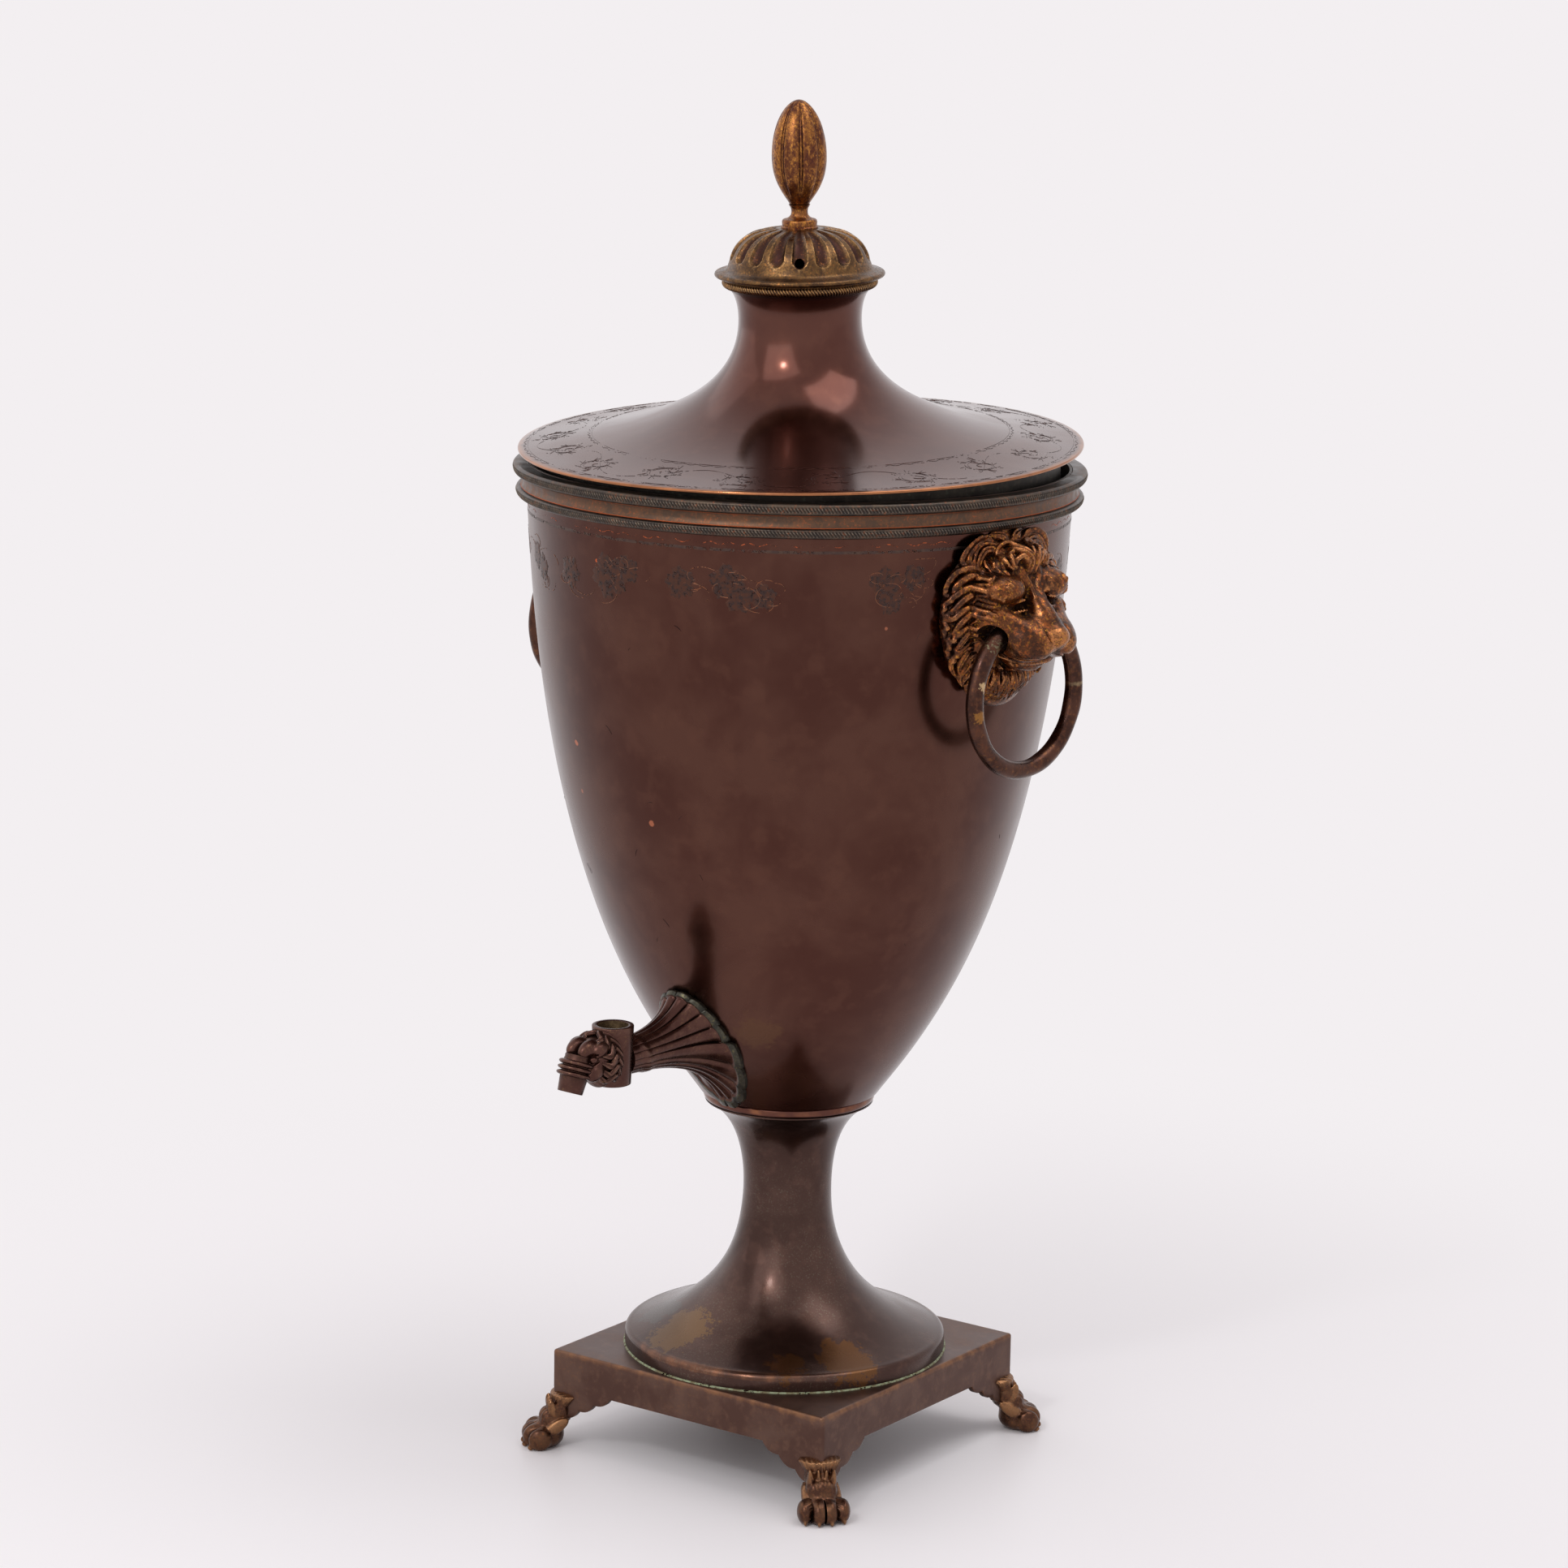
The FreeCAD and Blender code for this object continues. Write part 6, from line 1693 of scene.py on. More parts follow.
@dataclass
class LionMask:
    """A lion's mask on the bowl's side with its ring: face, mane locks, forelock curls and beard."""

    bowl: Bowl
    centre: float = 354.0
    half_height: float = 33.0
    half_width: float = 31.0
    ring_out: float = 118.0
    pivot: float = 348.1
    ring_radius: float = 28.8
    ring_tube: float = 3.52
    cheek_span: float = 16.3
    hole_radius: float = 5.4
    seat: float = 0.05
    ray_root: Point = (84.0, 0.0, 352.0)
    ray_start: float = 62.0
    ground_skin: float = 0.6
    blur_passes: int = 14
    coarse_rays: tuple[int, int] = (140, 49)
    fine_rays: tuple[int, int] = (480, 133)

    def __post_init__(self) -> None:
        """Carves the head once, for both masks: first its masses, then the locks that lie on it."""
        origin, ray, reach, _ = self.rays(*self.coarse_rays)
        masses = self.face()
        self.coarse = masses.surface(origin, ray, self.ray_start, reach + self.ground_skin)
        origin, ray, reach, self.ground = self.rays(*self.fine_rays)
        rough = masses.surface(origin, ray, self.ray_start, reach + self.ground_skin)
        form = Carving(masses.blobs + tuple(self.details()) + tuple(self.hair()), True)
        far = np.linalg.norm(rough - origin, axis=-1) + 6.0
        self.skin = form.surface(origin, ray, far, reach + self.ground_skin, 18)
        # Points deeper than their blurred surroundings get a low relief and are painted darker, as
        # patina and painted occlusion shade; points above them are painted lighter, as wear and a
        # painted highlight.
        length = np.linalg.norm(self.skin - origin, axis=-1)
        level = length
        for _ in range(self.blur_passes):
            level = (np.roll(level, 1, 1) + np.roll(level, -1, 1) + np.vstack([level[:1], level[:-1]])
                     + np.vstack([level[1:], level[-1:]])) / 4
        self.relief = np.clip(0.5 + (length - level) * 0.8, 0, 1)

    @property
    def drop(self) -> float:
        """How far the ring's middle hangs below the line through the cheek holes."""
        return sqrt(self.ring_radius ** 2 - self.cheek_span ** 2)

    def face(self) -> Carving:
        """The masses of the head, with X outward from the urn and Y across. Both halves are
        alike, so each pair is given once, at a positive Y."""
        masses = [
            Blob((103.5, 0, self.centre + 1), (8.2, 31.5, 33.0), soft=3.0),
            Blob((109.5, 0, 359.0), (11.0, 19.0, 20.0), soft=4.0),
            Blob((103.0, 0, 329.0), (8.0, 13.0, 11.0), soft=4.0),
            Blob((120.5, 0, 348.6), (14.4, 11.6, 8.4), 10, 4.0),
            Blob((122.6, 8.0, 347.6), (10.4, 8.8, 8.6), 14, 3.0),
            Blob((126.2, 0, 356.4), (12.6, 4.4, 4.2), 47, 3.0),
            Blob((133.2, 0, 349.0), (4.4, 5.2, 3.8), 30, 2.0),
            Blob((117.0, 0, 337.6), (7.0, 8.6, 3.6), 8, 2.0),
            Blob((112.6, 0, 373.4), (6.6, 13.0, 7.4), soft=4.0),
            Blob((128.4, 6.6, 346.4), (7.2, 6.0, 5.8), 18, 2.4),
            Blob((113.6, 15.6, 354.0), (8.2, 6.6, 8.0), 0, 4.0),
            Blob((118.9, 12.8, 353.6), (7.0, 4.6, 3.6), 22, 3.0),
            Blob((117.0, 12.4, 366.0), (7.2, 8.8, 5.8), 10, 2.6),
            Blob((121.0, 5.6, 360.4), (4.0, 1.8, 2.0), 20, 1.0, True),
            Blob((117.4, 12.0, 360.4), (3.6, 5.0, 2.2), 0, 0.8),
            Blob((137.0, 3.6, 345.8), (2.0, 1.3, 1.0), 30, 0.8, True),
        ]
        return Carving(tuple(masses), True)

    def details(self) -> list[Ridge]:
        """The fine ridges and cuts of the face: brow, lids, forehead, nose, lips and mouth."""
        def ridge(points: Sequence[Point], radii: Sequence[float], soft: float = 0.8,
                  cut: bool = False) -> Ridge:
            """A ridge through (out, across, height) points."""
            count = 4 * len(points)
            wide = np.interp(np.linspace(0, 1, count), np.linspace(0, 1, len(radii)), radii)
            return Ridge(through(points, count), wide, soft, cut)
        return [
            ridge([(117.0, 17.6, 363.0), (121.4, 12.0, 361.6), (122.4, 6.8, 362.0)], (0.5, 0.9, 0.5)),
            ridge([(118.4, 17.0, 360.6), (121.4, 12.0, 359.4), (123.6, 6.6, 359.8)], (0.3, 0.4, 0.3),
                  0.4, True),
            ridge([(117.0, 17.0, 358.2), (120.6, 12.0, 357.4), (123.6, 7.0, 358.4)], (0.5, 0.8, 0.5)),
            ridge([(116.6, 4.6, 375.5), (119.8, 4.2, 371.0), (121.4, 2.4, 367.0), (124.0, 2.6, 362.6)],
                  (0.5, 0.8, 0.8, 0.5), 2.0),
            ridge([(118.6, 0.0, 375.0), (121.8, 0.0, 369.0), (124.6, 0.0, 364.0)], (0.5, 0.8, 0.5), 0.8,
                  True),
            ridge([(121.4, 7.2, 368.6), (124.2, 6.2, 364.6), (126.4, 4.6, 359.4)], (0.5, 0.7, 0.4), 0.8,
                  True),
            ridge([(113.0, 20.6, 357.0), (118.6, 16.0, 356.4), (124.4, 11.6, 353.4),
                   (129.6, 9.4, 350.0)],
                  (0.5, 0.9, 0.9, 0.5), 3.0),
            ridge([(130.6, 5.2, 355.4), (133.4, 6.0, 350.6), (136.4, 5.4, 347.0)], (0.4, 0.6, 0.5), 0.8,
                  True),
            ridge([(118.5, 14.5, 343.6), (125.0, 12.4, 341.0), (131.0, 7.6, 340.6),
                   (134.6, 1.0, 341.8)],
                  (0.5, 0.7, 0.7, 0.6), 0.6, True),
            ridge([(137.2, 0.0, 345.6), (135.6, 0.0, 342.6), (133.6, 0.0, 341.6)], (0.4, 0.5, 0.4), 0.6,
                  True),
            ridge([(115.4, 12.6, 340.6), (121.6, 9.4, 338.8), (125.0, 4.4, 338.4), (125.6, 0.0, 338.4)],
                  (0.7, 1.0, 1.1, 1.1), 1.8),
            ridge([(116.0, 12.0, 337.0), (122.0, 7.4, 335.2), (123.6, 0.0, 335.0)], (0.4, 0.6, 0.6),
                  0.8, True),
        ]

    def outline(self, angle: Array) -> tuple[Array, Array]:
        """The mask's edge by angle from the top: an oval with scallops of the mane's locks, drawn
        in below the ears to the beard."""
        waist = np.exp(-((np.abs(np.abs(angle) - 2.35)) / 0.42) ** 2)
        scallop = 0.5 * np.abs(np.sin(angle * 5.5))
        across = (self.half_width - 1.2) * np.sin(angle) * (1 - 0.22 * waist) + scallop * np.sin(angle)
        up = np.where(np.cos(angle) > 0, self.half_height - 1.4, self.half_height) * np.cos(angle)
        return across, self.centre + up * (1 - 0.06 * waist) + scallop * np.cos(angle)

    def wall_x(self, across: Array, height: Array, out: float) -> Array:
        """How far out the bowl's wall is, at a distance across and a height."""
        return np.sqrt((self.bowl.radius_at(height) + out) ** 2 - across ** 2)

    def build(self, side: int, name: str, body: Body) -> None:
        """Carves the face, lays the locks on it and hangs the ring.

        Args:
            side: 1 for the right mask, -1 for the left, which is its mirror image.
            name: right or left.
            body: The body that the ring rides on.
        """
        mirror = np.array([side, 1, 1])
        back = self.ground[::-6]
        mask = Workpiece("lion_mask_" + name + "_cast")
        mask.add(np.vstack([self.skin, back]) * mirror, poles=(True, True),
                 relief=np.vstack([self.relief, np.full(back.shape[:2], 0.3)]))
        made = mask.make([MASK_PATINA.make()], Body.URN, Slot.GILT_BRONZE, ["lion_mask_" + name], 70)
        hollowed(made, self.ring_room(mirror))
        self.build_ring(name, body, mirror)

    def rays(self, columns: int, rings: int) -> tuple[Array, Array, Array, Array]:
        """Rays from a point behind the face to the mask's ground on the bowl.

        Args:
            columns: Rays round the mask.
            rings: Rays from its middle to its edge.

        Returns:
            Where they meet, their directions, their lengths to the ground, and the ground.
        """
        angle = round_turn(columns)
        angle = np.where(angle > pi, angle - FULL_TURN, angle)
        edge_y, edge_z = self.outline(angle)
        share = np.linspace(0, 1, rings)[:, None] ** 0.8
        y, z = edge_y * share, self.centre - 6 * (1 - share) + (edge_z - self.centre) * share
        origin = np.array(self.ray_root)
        ground = beside(self.wall_x(y, z, self.seat), y, z)
        reach = np.linalg.norm(ground - origin, axis=-1)
        return origin, (ground - origin) / reach[..., None], reach, ground

    def skin_x(self, across: Array, height: Array) -> Array:
        """How far out the head's masses are at points across it, from the nearest grid points."""
        x, y, z = (self.coarse[..., i].reshape(-1) for i in range(3))
        gap = (across[:, None] - y) ** 2 + (height[:, None] - z) ** 2
        nearest = np.argsort(gap, axis=1)[:, :4]
        weight = 1 / (np.take_along_axis(gap, nearest, 1) + 0.2)
        return np.sum(x[nearest] * weight, axis=1) / np.sum(weight, axis=1)

    def lock(self, points: Sequence[Point], width: float, strands: int) -> list[Ridge]:
        """A lock of hair: strands side by side along a curve on the head, which come together at
        both ends.

        Args:
            points: The curve's points as (across, height, lift off the head).
            width: The lock's half width at its thickest.
            strands: How many strands it has.

        Returns:
            Its strands.
        """
        curve = through(points, 5 * len(points))
        s = np.linspace(0, 1, len(curve))
        full = np.maximum(np.sin(pi * np.clip(s * 0.84 + 0.12, 0, 1)) ** 0.7, 0.12)
        slope = np.gradient(curve[:, :2], axis=0)
        slope /= np.linalg.norm(slope, axis=1, keepdims=True)
        made = []
        for k in range(strands):
            share = (k - (strands - 1) / 2) * 2 / strands
            y = curve[:, 0] - slope[:, 1] * share * width * full
            z = curve[:, 1] + slope[:, 0] * share * width * full
            x = self.skin_x(np.maximum(y, 0), z) + curve[:, 2] * full - 0.25 * abs(share) * width
            made.append(Ridge(np.column_stack([x, y, z]), width / strands * 1.04 * full, 0.35))
        return made

    def hair(self) -> list[Ridge]:
        """The mane: curls over the ears and forehead, S-shaped locks round the face, finer ones
        between them and the face, and the beard."""
        mane = [
            ([(9.7, 381.6, 1.0), (15.0, 383.8, 1.8), (20.4, 381.2, 1.8), (22.8, 376.6, 1.4),
              (20.4, 374.2, 1.0),
              (18.6, 376.4, 0.8)], 2.6, 2),
            ([(15.5, 367.5, 0.6), (19.5, 371.8, 1.8), (24.5, 372.0, 2.0), (29.0, 368.4, 1.4),
              (29.6, 364.8, 0.8),
              (27.4, 364.2, 0.5)], 3.0, 2),
            ([(17.7, 361.7, 0.6), (22.0, 365.2, 1.8), (26.8, 363.8, 1.8), (30.4, 358.8, 1.1),
              (29.4, 355.6, 0.6)], 3.0, 2),
            ([(19.5, 355.8, 0.6), (23.5, 358.0, 1.6), (28.0, 355.0, 1.6), (30.0, 349.8, 1.0),
              (28.4, 347.0, 0.6)], 2.9, 2),
            ([(20.4, 349.4, 0.5), (24.4, 350.4, 1.5), (28.0, 345.8, 1.4), (27.6, 341.0, 0.9),
              (25.4, 339.6, 0.5)], 2.7, 2),
            ([(20.6, 343.4, 0.5), (24.2, 342.8, 1.4), (26.2, 338.2, 1.2), (24.6, 333.8, 0.8),
              (22.6, 333.2, 0.4)], 2.5, 2),
            ([(18.4, 337.6, 0.5), (21.4, 335.2, 1.3), (22.2, 330.6, 1.0), (19.8, 327.6, 0.6)], 2.3, 2),
            ([(15.4, 333.4, 0.5), (17.8, 329.8, 1.2), (16.8, 326.0, 0.8), (14.6, 324.6, 0.4)], 2.0, 3),
            ([(2.2, 380.4, 0.6), (4.0, 384.2, 1.4), (9.5, 385.2, 0.8)], 2.0, 3),
            ([(8.6, 381.4, 0.6), (12.4, 384.2, 1.2), (17.2, 383.0, 0.8)], 1.7, 2),
            ([(17.6, 369.6, 1.0), (18.8, 375.6, 2.0), (15.4, 380.4, 2.4), (10.4, 380.4, 2.4),
              (8.2, 376.4, 2.2),
              (9.4, 372.4, 1.4)], 2.1, 3),
            ([(1.4, 371.4, 1.0), (1.6, 376.6, 3.6), (5.0, 380.4, 4.2), (9.2, 378.6, 3.6),
              (9.4, 375.0, 2.8),
              (6.6, 374.2, 2.4)], 2.9, 3),
        ]
        for y, z, bend in ((16.5, 369.8, -2.0), (17.6, 364.4, -5.0), (18.8, 358.6, -7.0),
                           (19.6, 352.4, -7.6),
                           (19.8, 346.4, -8.6), (18.6, 341.2, -9.0)):
            mane.append(([(y, z, 0.3), (y + 3.6, z + bend * 0.3, 1.0),
                          (y + 7.0 + bend * 0.3, z + bend, 0.5)], 1.3, 2))
        for across in (11.6, 13.2, 14.8):
            mane.append(([(across, 371.6, -0.4), (across + 0.3, 374.8, 0.4),
                          (across - 0.2, 377.8, -0.4)], 0.7, 1))
        for k in range(6):
            across, tip = 1.1 + 2.2 * k, 320.8 + 0.55 * k ** 1.6
            bow = 0.9 * (1 if k % 2 else -1)
            mane.append(([(across * 0.8, 334.4, 0.2), (across + bow, 330.4, 1.5),
                          (across * 1.02 - bow * 0.5, 326.0, 1.1),
                          (across * 0.92, tip + 0.6, 0.2)], 1.4, 2))
        return [strand for lock in mane for strand in self.lock(*lock)]

    def ring_room(self, mirror: Array) -> Workpiece:
        """The hollow that the ring's upper arc turns in: round holes in the cheeks that open into
        a chamber about the pivot line."""
        drop = self.drop
        outer = self.ring_radius + self.ring_tube + 0.5
        reach = sqrt(outer ** 2 - (drop + self.hole_radius) ** 2)
        arc_y = np.linspace(-reach, reach, 25)
        arc_r = np.sqrt(outer ** 2 - arc_y ** 2) - drop
        y = np.concatenate([[-26.0, -26.0], arc_y, [26.0, 26.0]])
        r = np.concatenate([[0.001, self.hole_radius], arc_r, [self.hole_radius, 0.001]])
        t = round_turn(40)
        grid = beside(self.ring_out + r[:, None] * np.cos(t), np.broadcast_to(y[:, None], (len(y), 40)),
                      self.pivot + r[:, None] * np.sin(t))
        return Workpiece("ring_room").add(grid * mirror, poles=(True, True), relief=0.1)

    def build_ring(self, name: str, body: Body, mirror: Array) -> None:
        """The ring: a circle whose thickness wavers a little round it, worn bright at its seam."""
        drop = self.drop
        columns, around = 220, 26
        t = round_turn(columns)
        path = np.column_stack([np.full(columns, self.ring_out), self.ring_radius * np.sin(t),
                                self.pivot - drop - self.ring_radius * np.cos(t)])
        out = path - np.array([self.ring_out, 0, self.pivot - drop])
        tube = self.ring_tube * (1 - 0.02 * (1 + np.sin(7 * t + 1.0)) - 0.015 * (1 + np.sin(13 * t)))
        a = round_turn(around)
        radial = out / self.ring_radius
        round_tube = np.cos(a)[:, None] * radial[:, None] + np.sin(a)[:, None] * np.array([1.0, 0, 0])
        grid = path[:, None] + tube[:, None, None] * round_tube
        seam = np.exp(-((t - 2.52) / 0.05) ** 2) + np.exp(-((t - 1.62) / 0.05) ** 2) * 0.8
        relief = np.clip(0.5 + 0.5 * seam + 0.08 * np.sin(3 * t), 0, 1)[:, None] + 0 * a
        ring = Workpiece("ring_" + name + "_forged").add(grid * mirror, loop=True, relief=relief)
        ring.make([RING_PATINA.make()], body, Slot.RING_BRONZE, ["ring_handle_" + name], 60)


@dataclass
class Tap:
    """The tap: a gadrooned shell flange and pipe, the key's barrel, and a beast's head spout."""

    bowl: Bowl
    turn: float = 4.0
    height: float = 179.8
    barrel_out: float = 107.7
    barrel_top: float = 8.1
    barrel_foot: float = 7.2
    bore: float = 6.0
    pipe: float = 7.2
    waterway: float = 2.2
    off_wall: float = 0.06
    half_width: float = 15.8
    flange_top: float = 199.6
    flange_foot: float = 146.9
    edge: float = 1.2
    lobes: int = 16
    tip_out: float = 132.1
    tip_height: float = 171.7
    nozzle_lean: float = 20.0
    nozzle: float = 4.9
    nozzle_bore: float = 3.4
    nozzle_length: float = 6.0
    rib_length: float = 6.5

    def __post_init__(self) -> None:
        """Reads the barrel's foot and top from the frame."""
        low, high = node_box("tap_barrel")
        self.barrel_low, self.barrel_high = float(low[2]), float(high[2])

    def set_out(self, grid: Array) -> Array:
        """Points of (out, across, height) in the tap's plane, set out from the urn's axis."""
        a = radians(self.turn)
        out, across = grid[..., 0], grid[..., 1]
        return beside(out * sin(a) + across * cos(a),
                      -out * cos(a) + across * sin(a), grid[..., 2])

    def build(self) -> None:
        """Makes the flange, the barrel and the spout."""
        finish = TAP_PATINA.make()
        self.build_shell(finish)
        self.build_barrel(finish)
        self.build_spout(finish)

    def build_shell(self, finish: bpy.types.Material) -> None:
        """A cubic curve from the pipe to the scalloped edge on the bowl, for each angle round the
        pipe. The gadroons push it out by the root of |sin| of the lobe's phase, more towards the
        edge."""
        columns, rows = self.lobes * 20, 60
        t = round_turn(columns)
        lobe = np.abs(np.sin(t * self.lobes / 2)) ** 0.5
        scallop = 1 + 0.045 * (lobe - 0.6)
        rise = np.where(np.cos(t) > 0, self.flange_top - self.height, self.height - self.flange_foot)
        spread = np.where(np.cos(t) > 0, 1.0, 1 + 0.12 * np.sin(t) ** 2)
        across = self.half_width * np.sin(t) * scallop * spread
        level = self.height + rise * np.cos(t) * scallop
        level = np.maximum(level, self.flange_foot)
        wall = np.sqrt(self.bowl.radius_at(level) ** 2 - across ** 2)
        pipe_end = self.barrel_out - 5.0
        start = beside(np.full(columns, pipe_end), self.pipe * np.sin(t),
                       self.height + self.pipe * np.cos(t))
        end = beside(wall + self.edge, across, level)
        span = np.linalg.norm(end - start, axis=1, keepdims=True)
        pull_start = start + np.array([-0.6, 0, 0]) * span
        inward = beside(0.5 * np.ones(columns), -0.6 * np.sin(t), -0.62 * np.cos(t))
        pull_end = end + inward * span * 0.3
        s = np.linspace(0, 1, rows)[:, None, None] ** 0.9
        skin = ((1 - s) ** 3 * start + 3 * s * (1 - s) ** 2 * pull_start
                + 3 * s * s * (1 - s) * pull_end + s ** 3 * end)
        away = beside(0.25 * np.ones(columns), np.sin(t), np.cos(t))
        grow = (0.22 + 1.5 * s[..., 0] ** 1.6) * (1 - smooth(s[..., 0], 0.86, 0.93))
        skin = skin + away * ((lobe - 0.75) * grow)[..., None]
        ring = 0.6 * np.exp(-((s[..., 0] - 0.1) / 0.02) ** 2)
        lip = 0.8 * smooth(s[..., 0], 0.90, 0.935)
        skin = skin + away * (ring + lip * 0.3)[..., None] + np.array([1.0, 0, 0]) * lip[..., None]
        relief = np.clip(0.16 + 0.5 * lobe + 0.25 * lip + ring * 0.3 + 0 * s[..., 0], 0, 1)
        under = end.copy()
        under[:, 0] = wall + self.off_wall
        way_y, way_z = self.waterway * np.sin(t), self.height + self.waterway * np.cos(t)
        sink = beside(np.full(columns, pipe_end), way_y, way_z)
        deep = beside(self.bowl.radius_at(way_z) + self.off_wall, way_y, way_z)
        between = []
        for share in (0.25, 0.5, 0.75):
            y, z = (under[:, i] * (1 - share) + deep[:, i] * share for i in (1, 2))
            out = np.sqrt((self.bowl.radius_at(z) + self.off_wall) ** 2 - y ** 2)
            between.append(beside(out, y, z))
        grid = np.concatenate([sink[None], skin, under[None], np.array(between), deep[None]])
        shade = np.vstack([np.full(columns, 0.4), relief, np.full((5, columns), 0.1)])
        shell = Workpiece("tap_shell_flange").add(self.set_out(grid), loop=True, relief=shade)
        lip_row = 1 + int(rows * 0.91)
        shell.finish = [int(lip_row <= min(face) // columns and max(face) // columns < rows + 2)
                        for face in shell.faces]
        shell.make([finish, TAP_EDGE_PATINA.make()], Body.URN, Slot.TAP_BRONZE, ["tap_shank"], 60)

    def build_barrel(self, finish: bpy.types.Material) -> None:
        """The key's barrel: a tapered tube with softened edges."""
        low, high, r = self.barrel_low, self.barrel_high, 0.35
        columns = 96
        profile = np.array([(self.bore, high - 0.2), (self.bore + 0.3, high),
                            (self.barrel_top - r, high),
                            (self.barrel_top - 0.1, high - 0.12), (self.barrel_top, high - r),
                            (self.barrel_top - 0.3, high - 8), (self.barrel_foot + 0.3, low + 8),
                            (self.barrel_foot, low + r), (self.barrel_foot - 0.1, low + 0.12),
                            (self.barrel_foot - r, low), (self.bore + 0.3, low),
                            (self.bore, low + 0.2)])
        relief = np.full((len(profile), 1), 0.5)
        relief[2:5], relief[7:10], relief[0], relief[-1] = 0.75, 0.7, 0.1, 0.1
        grid = lathe(profile, columns)
        a = radians(self.turn)
        grid = grid + np.array([self.barrel_out * sin(a), -self.barrel_out * cos(a), 0])
        barrel = Workpiece("tap_key_barrel").add(grid, loop=True, relief=relief)
        barrel.finish = [int(max(face) // columns == len(profile) - 1 and min(face) // columns == 0)
                         for face in barrel.faces]
        barrel.make([finish, BORE_PATINA.make()], Body.URN, Slot.TAP_BRONZE, ["tap_barrel"], 50)

    def build_spout(self, finish: bpy.types.Material) -> None:
        """The beast's head on the barrel, with its mane, and the ribbed nozzle in its mouth."""
        slope = radians(self.nozzle_lean)
        down = np.array([sin(slope), 0, -cos(slope)])
        tip = np.array([self.tip_out, 0, self.tip_height])
        front = self.barrel_out + self.barrel_top
        masses = [Blob((front + 3.0, 0, 182.6), (7.6, 8.0, 8.4), 0, 3.0),
                  Blob((front + 8.4, 0, 181.4), (6.4, 6.6, 5.6), 18, 2.4),
                  Blob((front + 1.0, 0, 180.4), (4.2, 8.4, 9.6), 0, 2.0),
                  Blob((front + 9.6, 2.9, 188.0), (5.0, 2.9, 3.2), 22, 0.6),
                  Blob((front + 5.6, 6.0, 187.6), (4.2, 2.6, 3.0), 10, 0.7),
                  Blob((front + 9.8, 6.2, 184.4), (2.0, 1.4, 1.4), 0, 0.5),
                  Blob((front + 9.8, 7.0, 186.2), (3.2, 1.2, 0.5), 10, 0.4, True),
                  Blob((front + 9.6, 7.0, 182.6), (3.2, 1.2, 0.5), 20, 0.4, True),
                  Blob((front + 8.4, 6.0, 179.0), (4.6, 2.4, 3.0), 20, 1.0),
                  Blob((front + 12.6, 0.0, 188.4), (5.0, 0.5, 4.0), 20, 0.5, True)]
        carving = Carving(tuple(masses), True)
        origin = np.array([front + 6.0, 0.0, 181.5])
        fall = np.linspace(0, pi, 90)[:, None]
        turn = round_turn(120)
        ray = beside(np.sin(fall) * np.cos(turn), np.sin(fall) * np.sin(turn), np.cos(fall) + 0 * turn)
        barrel_reach = origin[0] - self.barrel_out
        head = carving.surface(origin, ray, 26.0, np.full(ray.shape[:-1], 1.0))
        gap = np.hypot(head[..., 0] - self.barrel_out, head[..., 1])
        inside = np.clip((self.barrel_top - 0.2 - gap) / np.maximum(barrel_reach, 1), 0, 1)
        head = head + beside(inside * barrel_reach, 0 * inside, 0 * inside)
        relief = np.clip(0.5 + 0.25 * np.sin(head[..., 1] * 2.0 + head[..., 2] * 1.4)
                         * smooth(-head[..., 0], -126, -120), 0, 1)
        spout = Workpiece("tap_beast_spout").add(self.set_out(head), poles=(True, True), relief=relief)
        for side in (-1, 1):
            for k in range(6):
                lean = 0.28 + 0.4 * k
                points = [(front + out, side * wide * sin(lean + 0.16 * sway), 182.0
                           + wide * cos(lean + 0.16 * sway))
                          for out, wide, sway in ((6.0, 7.2, 0), (3.0, 9.6, 1), (0.6, 10.2, -1),
                                                  (-2.2, 9.8, 1), (-3.4, 8.9, 2))]
                path = through(points, 22)
                taper = np.maximum(np.sin(np.linspace(0.25, 2.95, 22)) ** 0.6, 0.1)
                up = path - origin
                up /= np.linalg.norm(up, axis=1, keepdims=True)
                grid, ridge = carried(path, 1.9 * taper, 1.3 * taper, up, 16, 4, 0.2)
                spout.add(self.set_out(grid), poles=(False, False), relief=ridge)
        grid, worn = self.nozzle_grid(tip, down)
        spout.add(self.set_out(grid), loop=True, relief=worn)
        spout.make([finish], Body.URN, Slot.TAP_BRONZE, ["tap_spout"], 55)

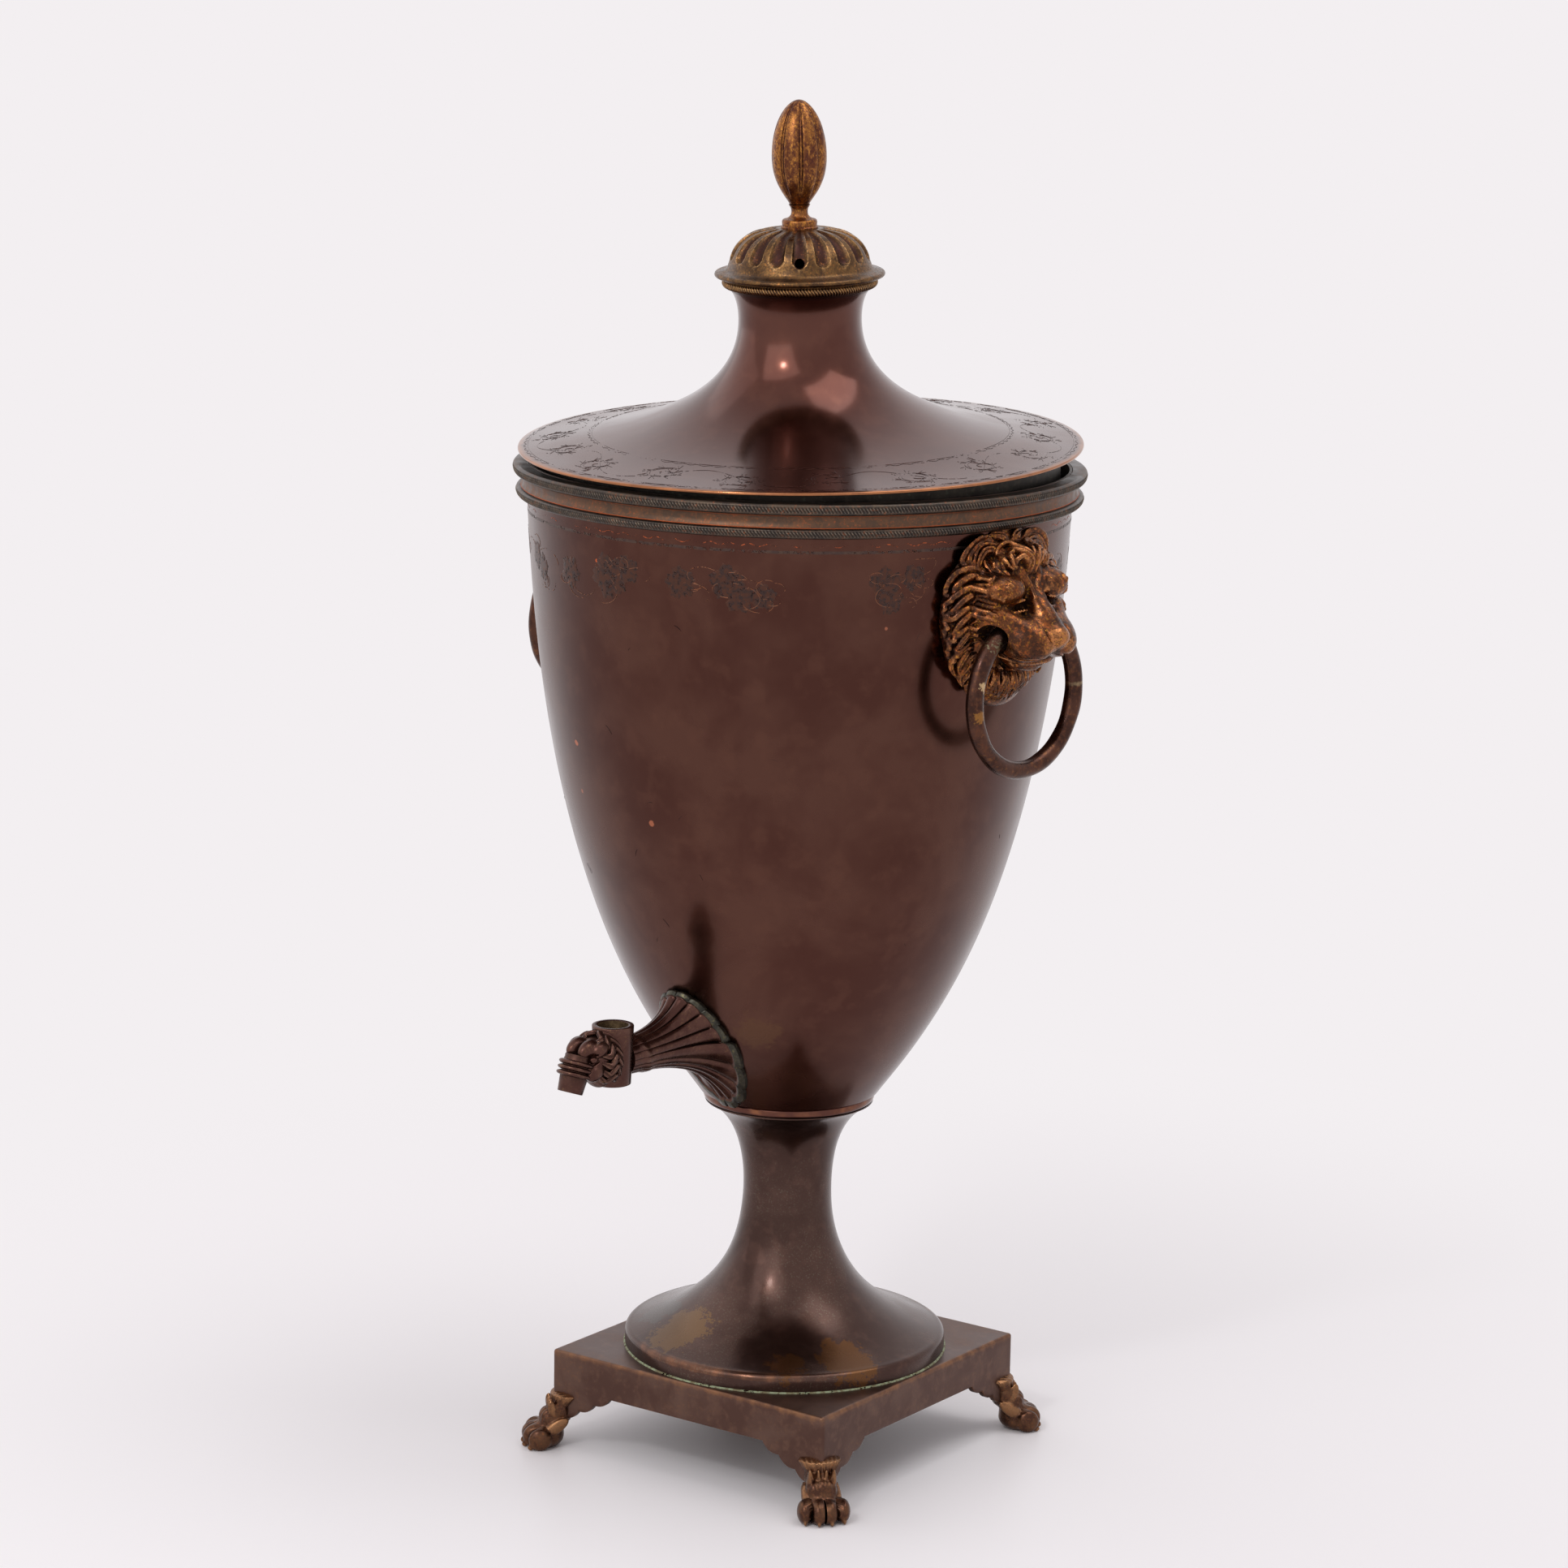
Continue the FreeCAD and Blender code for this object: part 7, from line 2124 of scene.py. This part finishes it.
    def nozzle_grid(self, tip: Array, down: Array) -> tuple[Array, Array]:
        """The nozzle with three ribs above it, turned about its own leaning axis.

        Args:
            tip: The middle of its mouth.
            down: The direction that it points in.

        Returns:
            The surface and its relief.
        """
        back = self.nozzle_length
        rib = self.rib_length / 3
        profile = [(self.nozzle_bore, 0.1), (self.nozzle_bore + 0.3, 0.0), (self.nozzle - 0.2, 0.0),
                   (self.nozzle, 0.25), (self.nozzle + 0.5, back)]
        relief = [0.1, 0.6, 0.8, 0.7, 0.2]
        for k in range(3):
            foot = back + rib * k
            for share, out in ((0.02, 0.5), (0.16, 1.6), (0.38, 2.1), (0.6, 2.1), (0.82, 1.6),
                               (0.96, 0.5)):
                profile.append((self.nozzle + out, foot + rib * share))
                relief.append(0.15 + 0.28 * out)
        profile += [(self.nozzle, back + self.rib_length + 2.0),
                    (self.nozzle_bore, back + self.rib_length + 2.0)]
        relief += [0.2, 0.1]
        grid = lathe(np.array(profile), 72)
        placed = framed(grid, tuple(tip), (0, 1, 0), (-down[2], 0, down[0]), tuple(-down))
        return placed, np.array(relief)[:, None]


@dataclass
class InnerPieces:
    """The pieces that hide inside: fasteners, the seat ledge, the heater and its cover."""

    dresses: tuple[tuple[Patina, tuple[str, ...]], ...] = (
        (LEDGE_PATINA, ("lid_seat_ring", "heater_sleeve", "heater_cover")),
        (IRON_PATINA, ("iron_billet", "tie_rod")),
        (BRASS_PATINA, ("tie_washer", "tie_nut", "finial_nut", "mask_nuts", "foot_screws")),
    )

    def build(self) -> None:
        """Gives each carried-over CAD node its finish."""
        for patina, nodes in self.dresses:
            finish = patina.make()
            for node in nodes:
                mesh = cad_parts[node].data
                mesh.materials.clear()
                mesh.materials.append(finish)
                LOG.info("%s: dressed as %s", node, patina.name)


def main() -> None:
    """Builds the urn from the floor upwards and then its studio."""
    logging.basicConfig(level=logging.INFO, format="%(name)s %(message)s")
    bowl = Bowl()
    for part in (Plinth(), Paws(), Stem(), bowl, Rim(), Lid(), Tap(bowl), InnerPieces()):
        part.build()
    mask = LionMask(bowl)
    mask.build(1, "right", Body.RING_RIGHT)
    mask.build(-1, "left", Body.RING_LEFT)
    Camera().build()
    Studio().build()


if __name__ == "__main__":
    main()
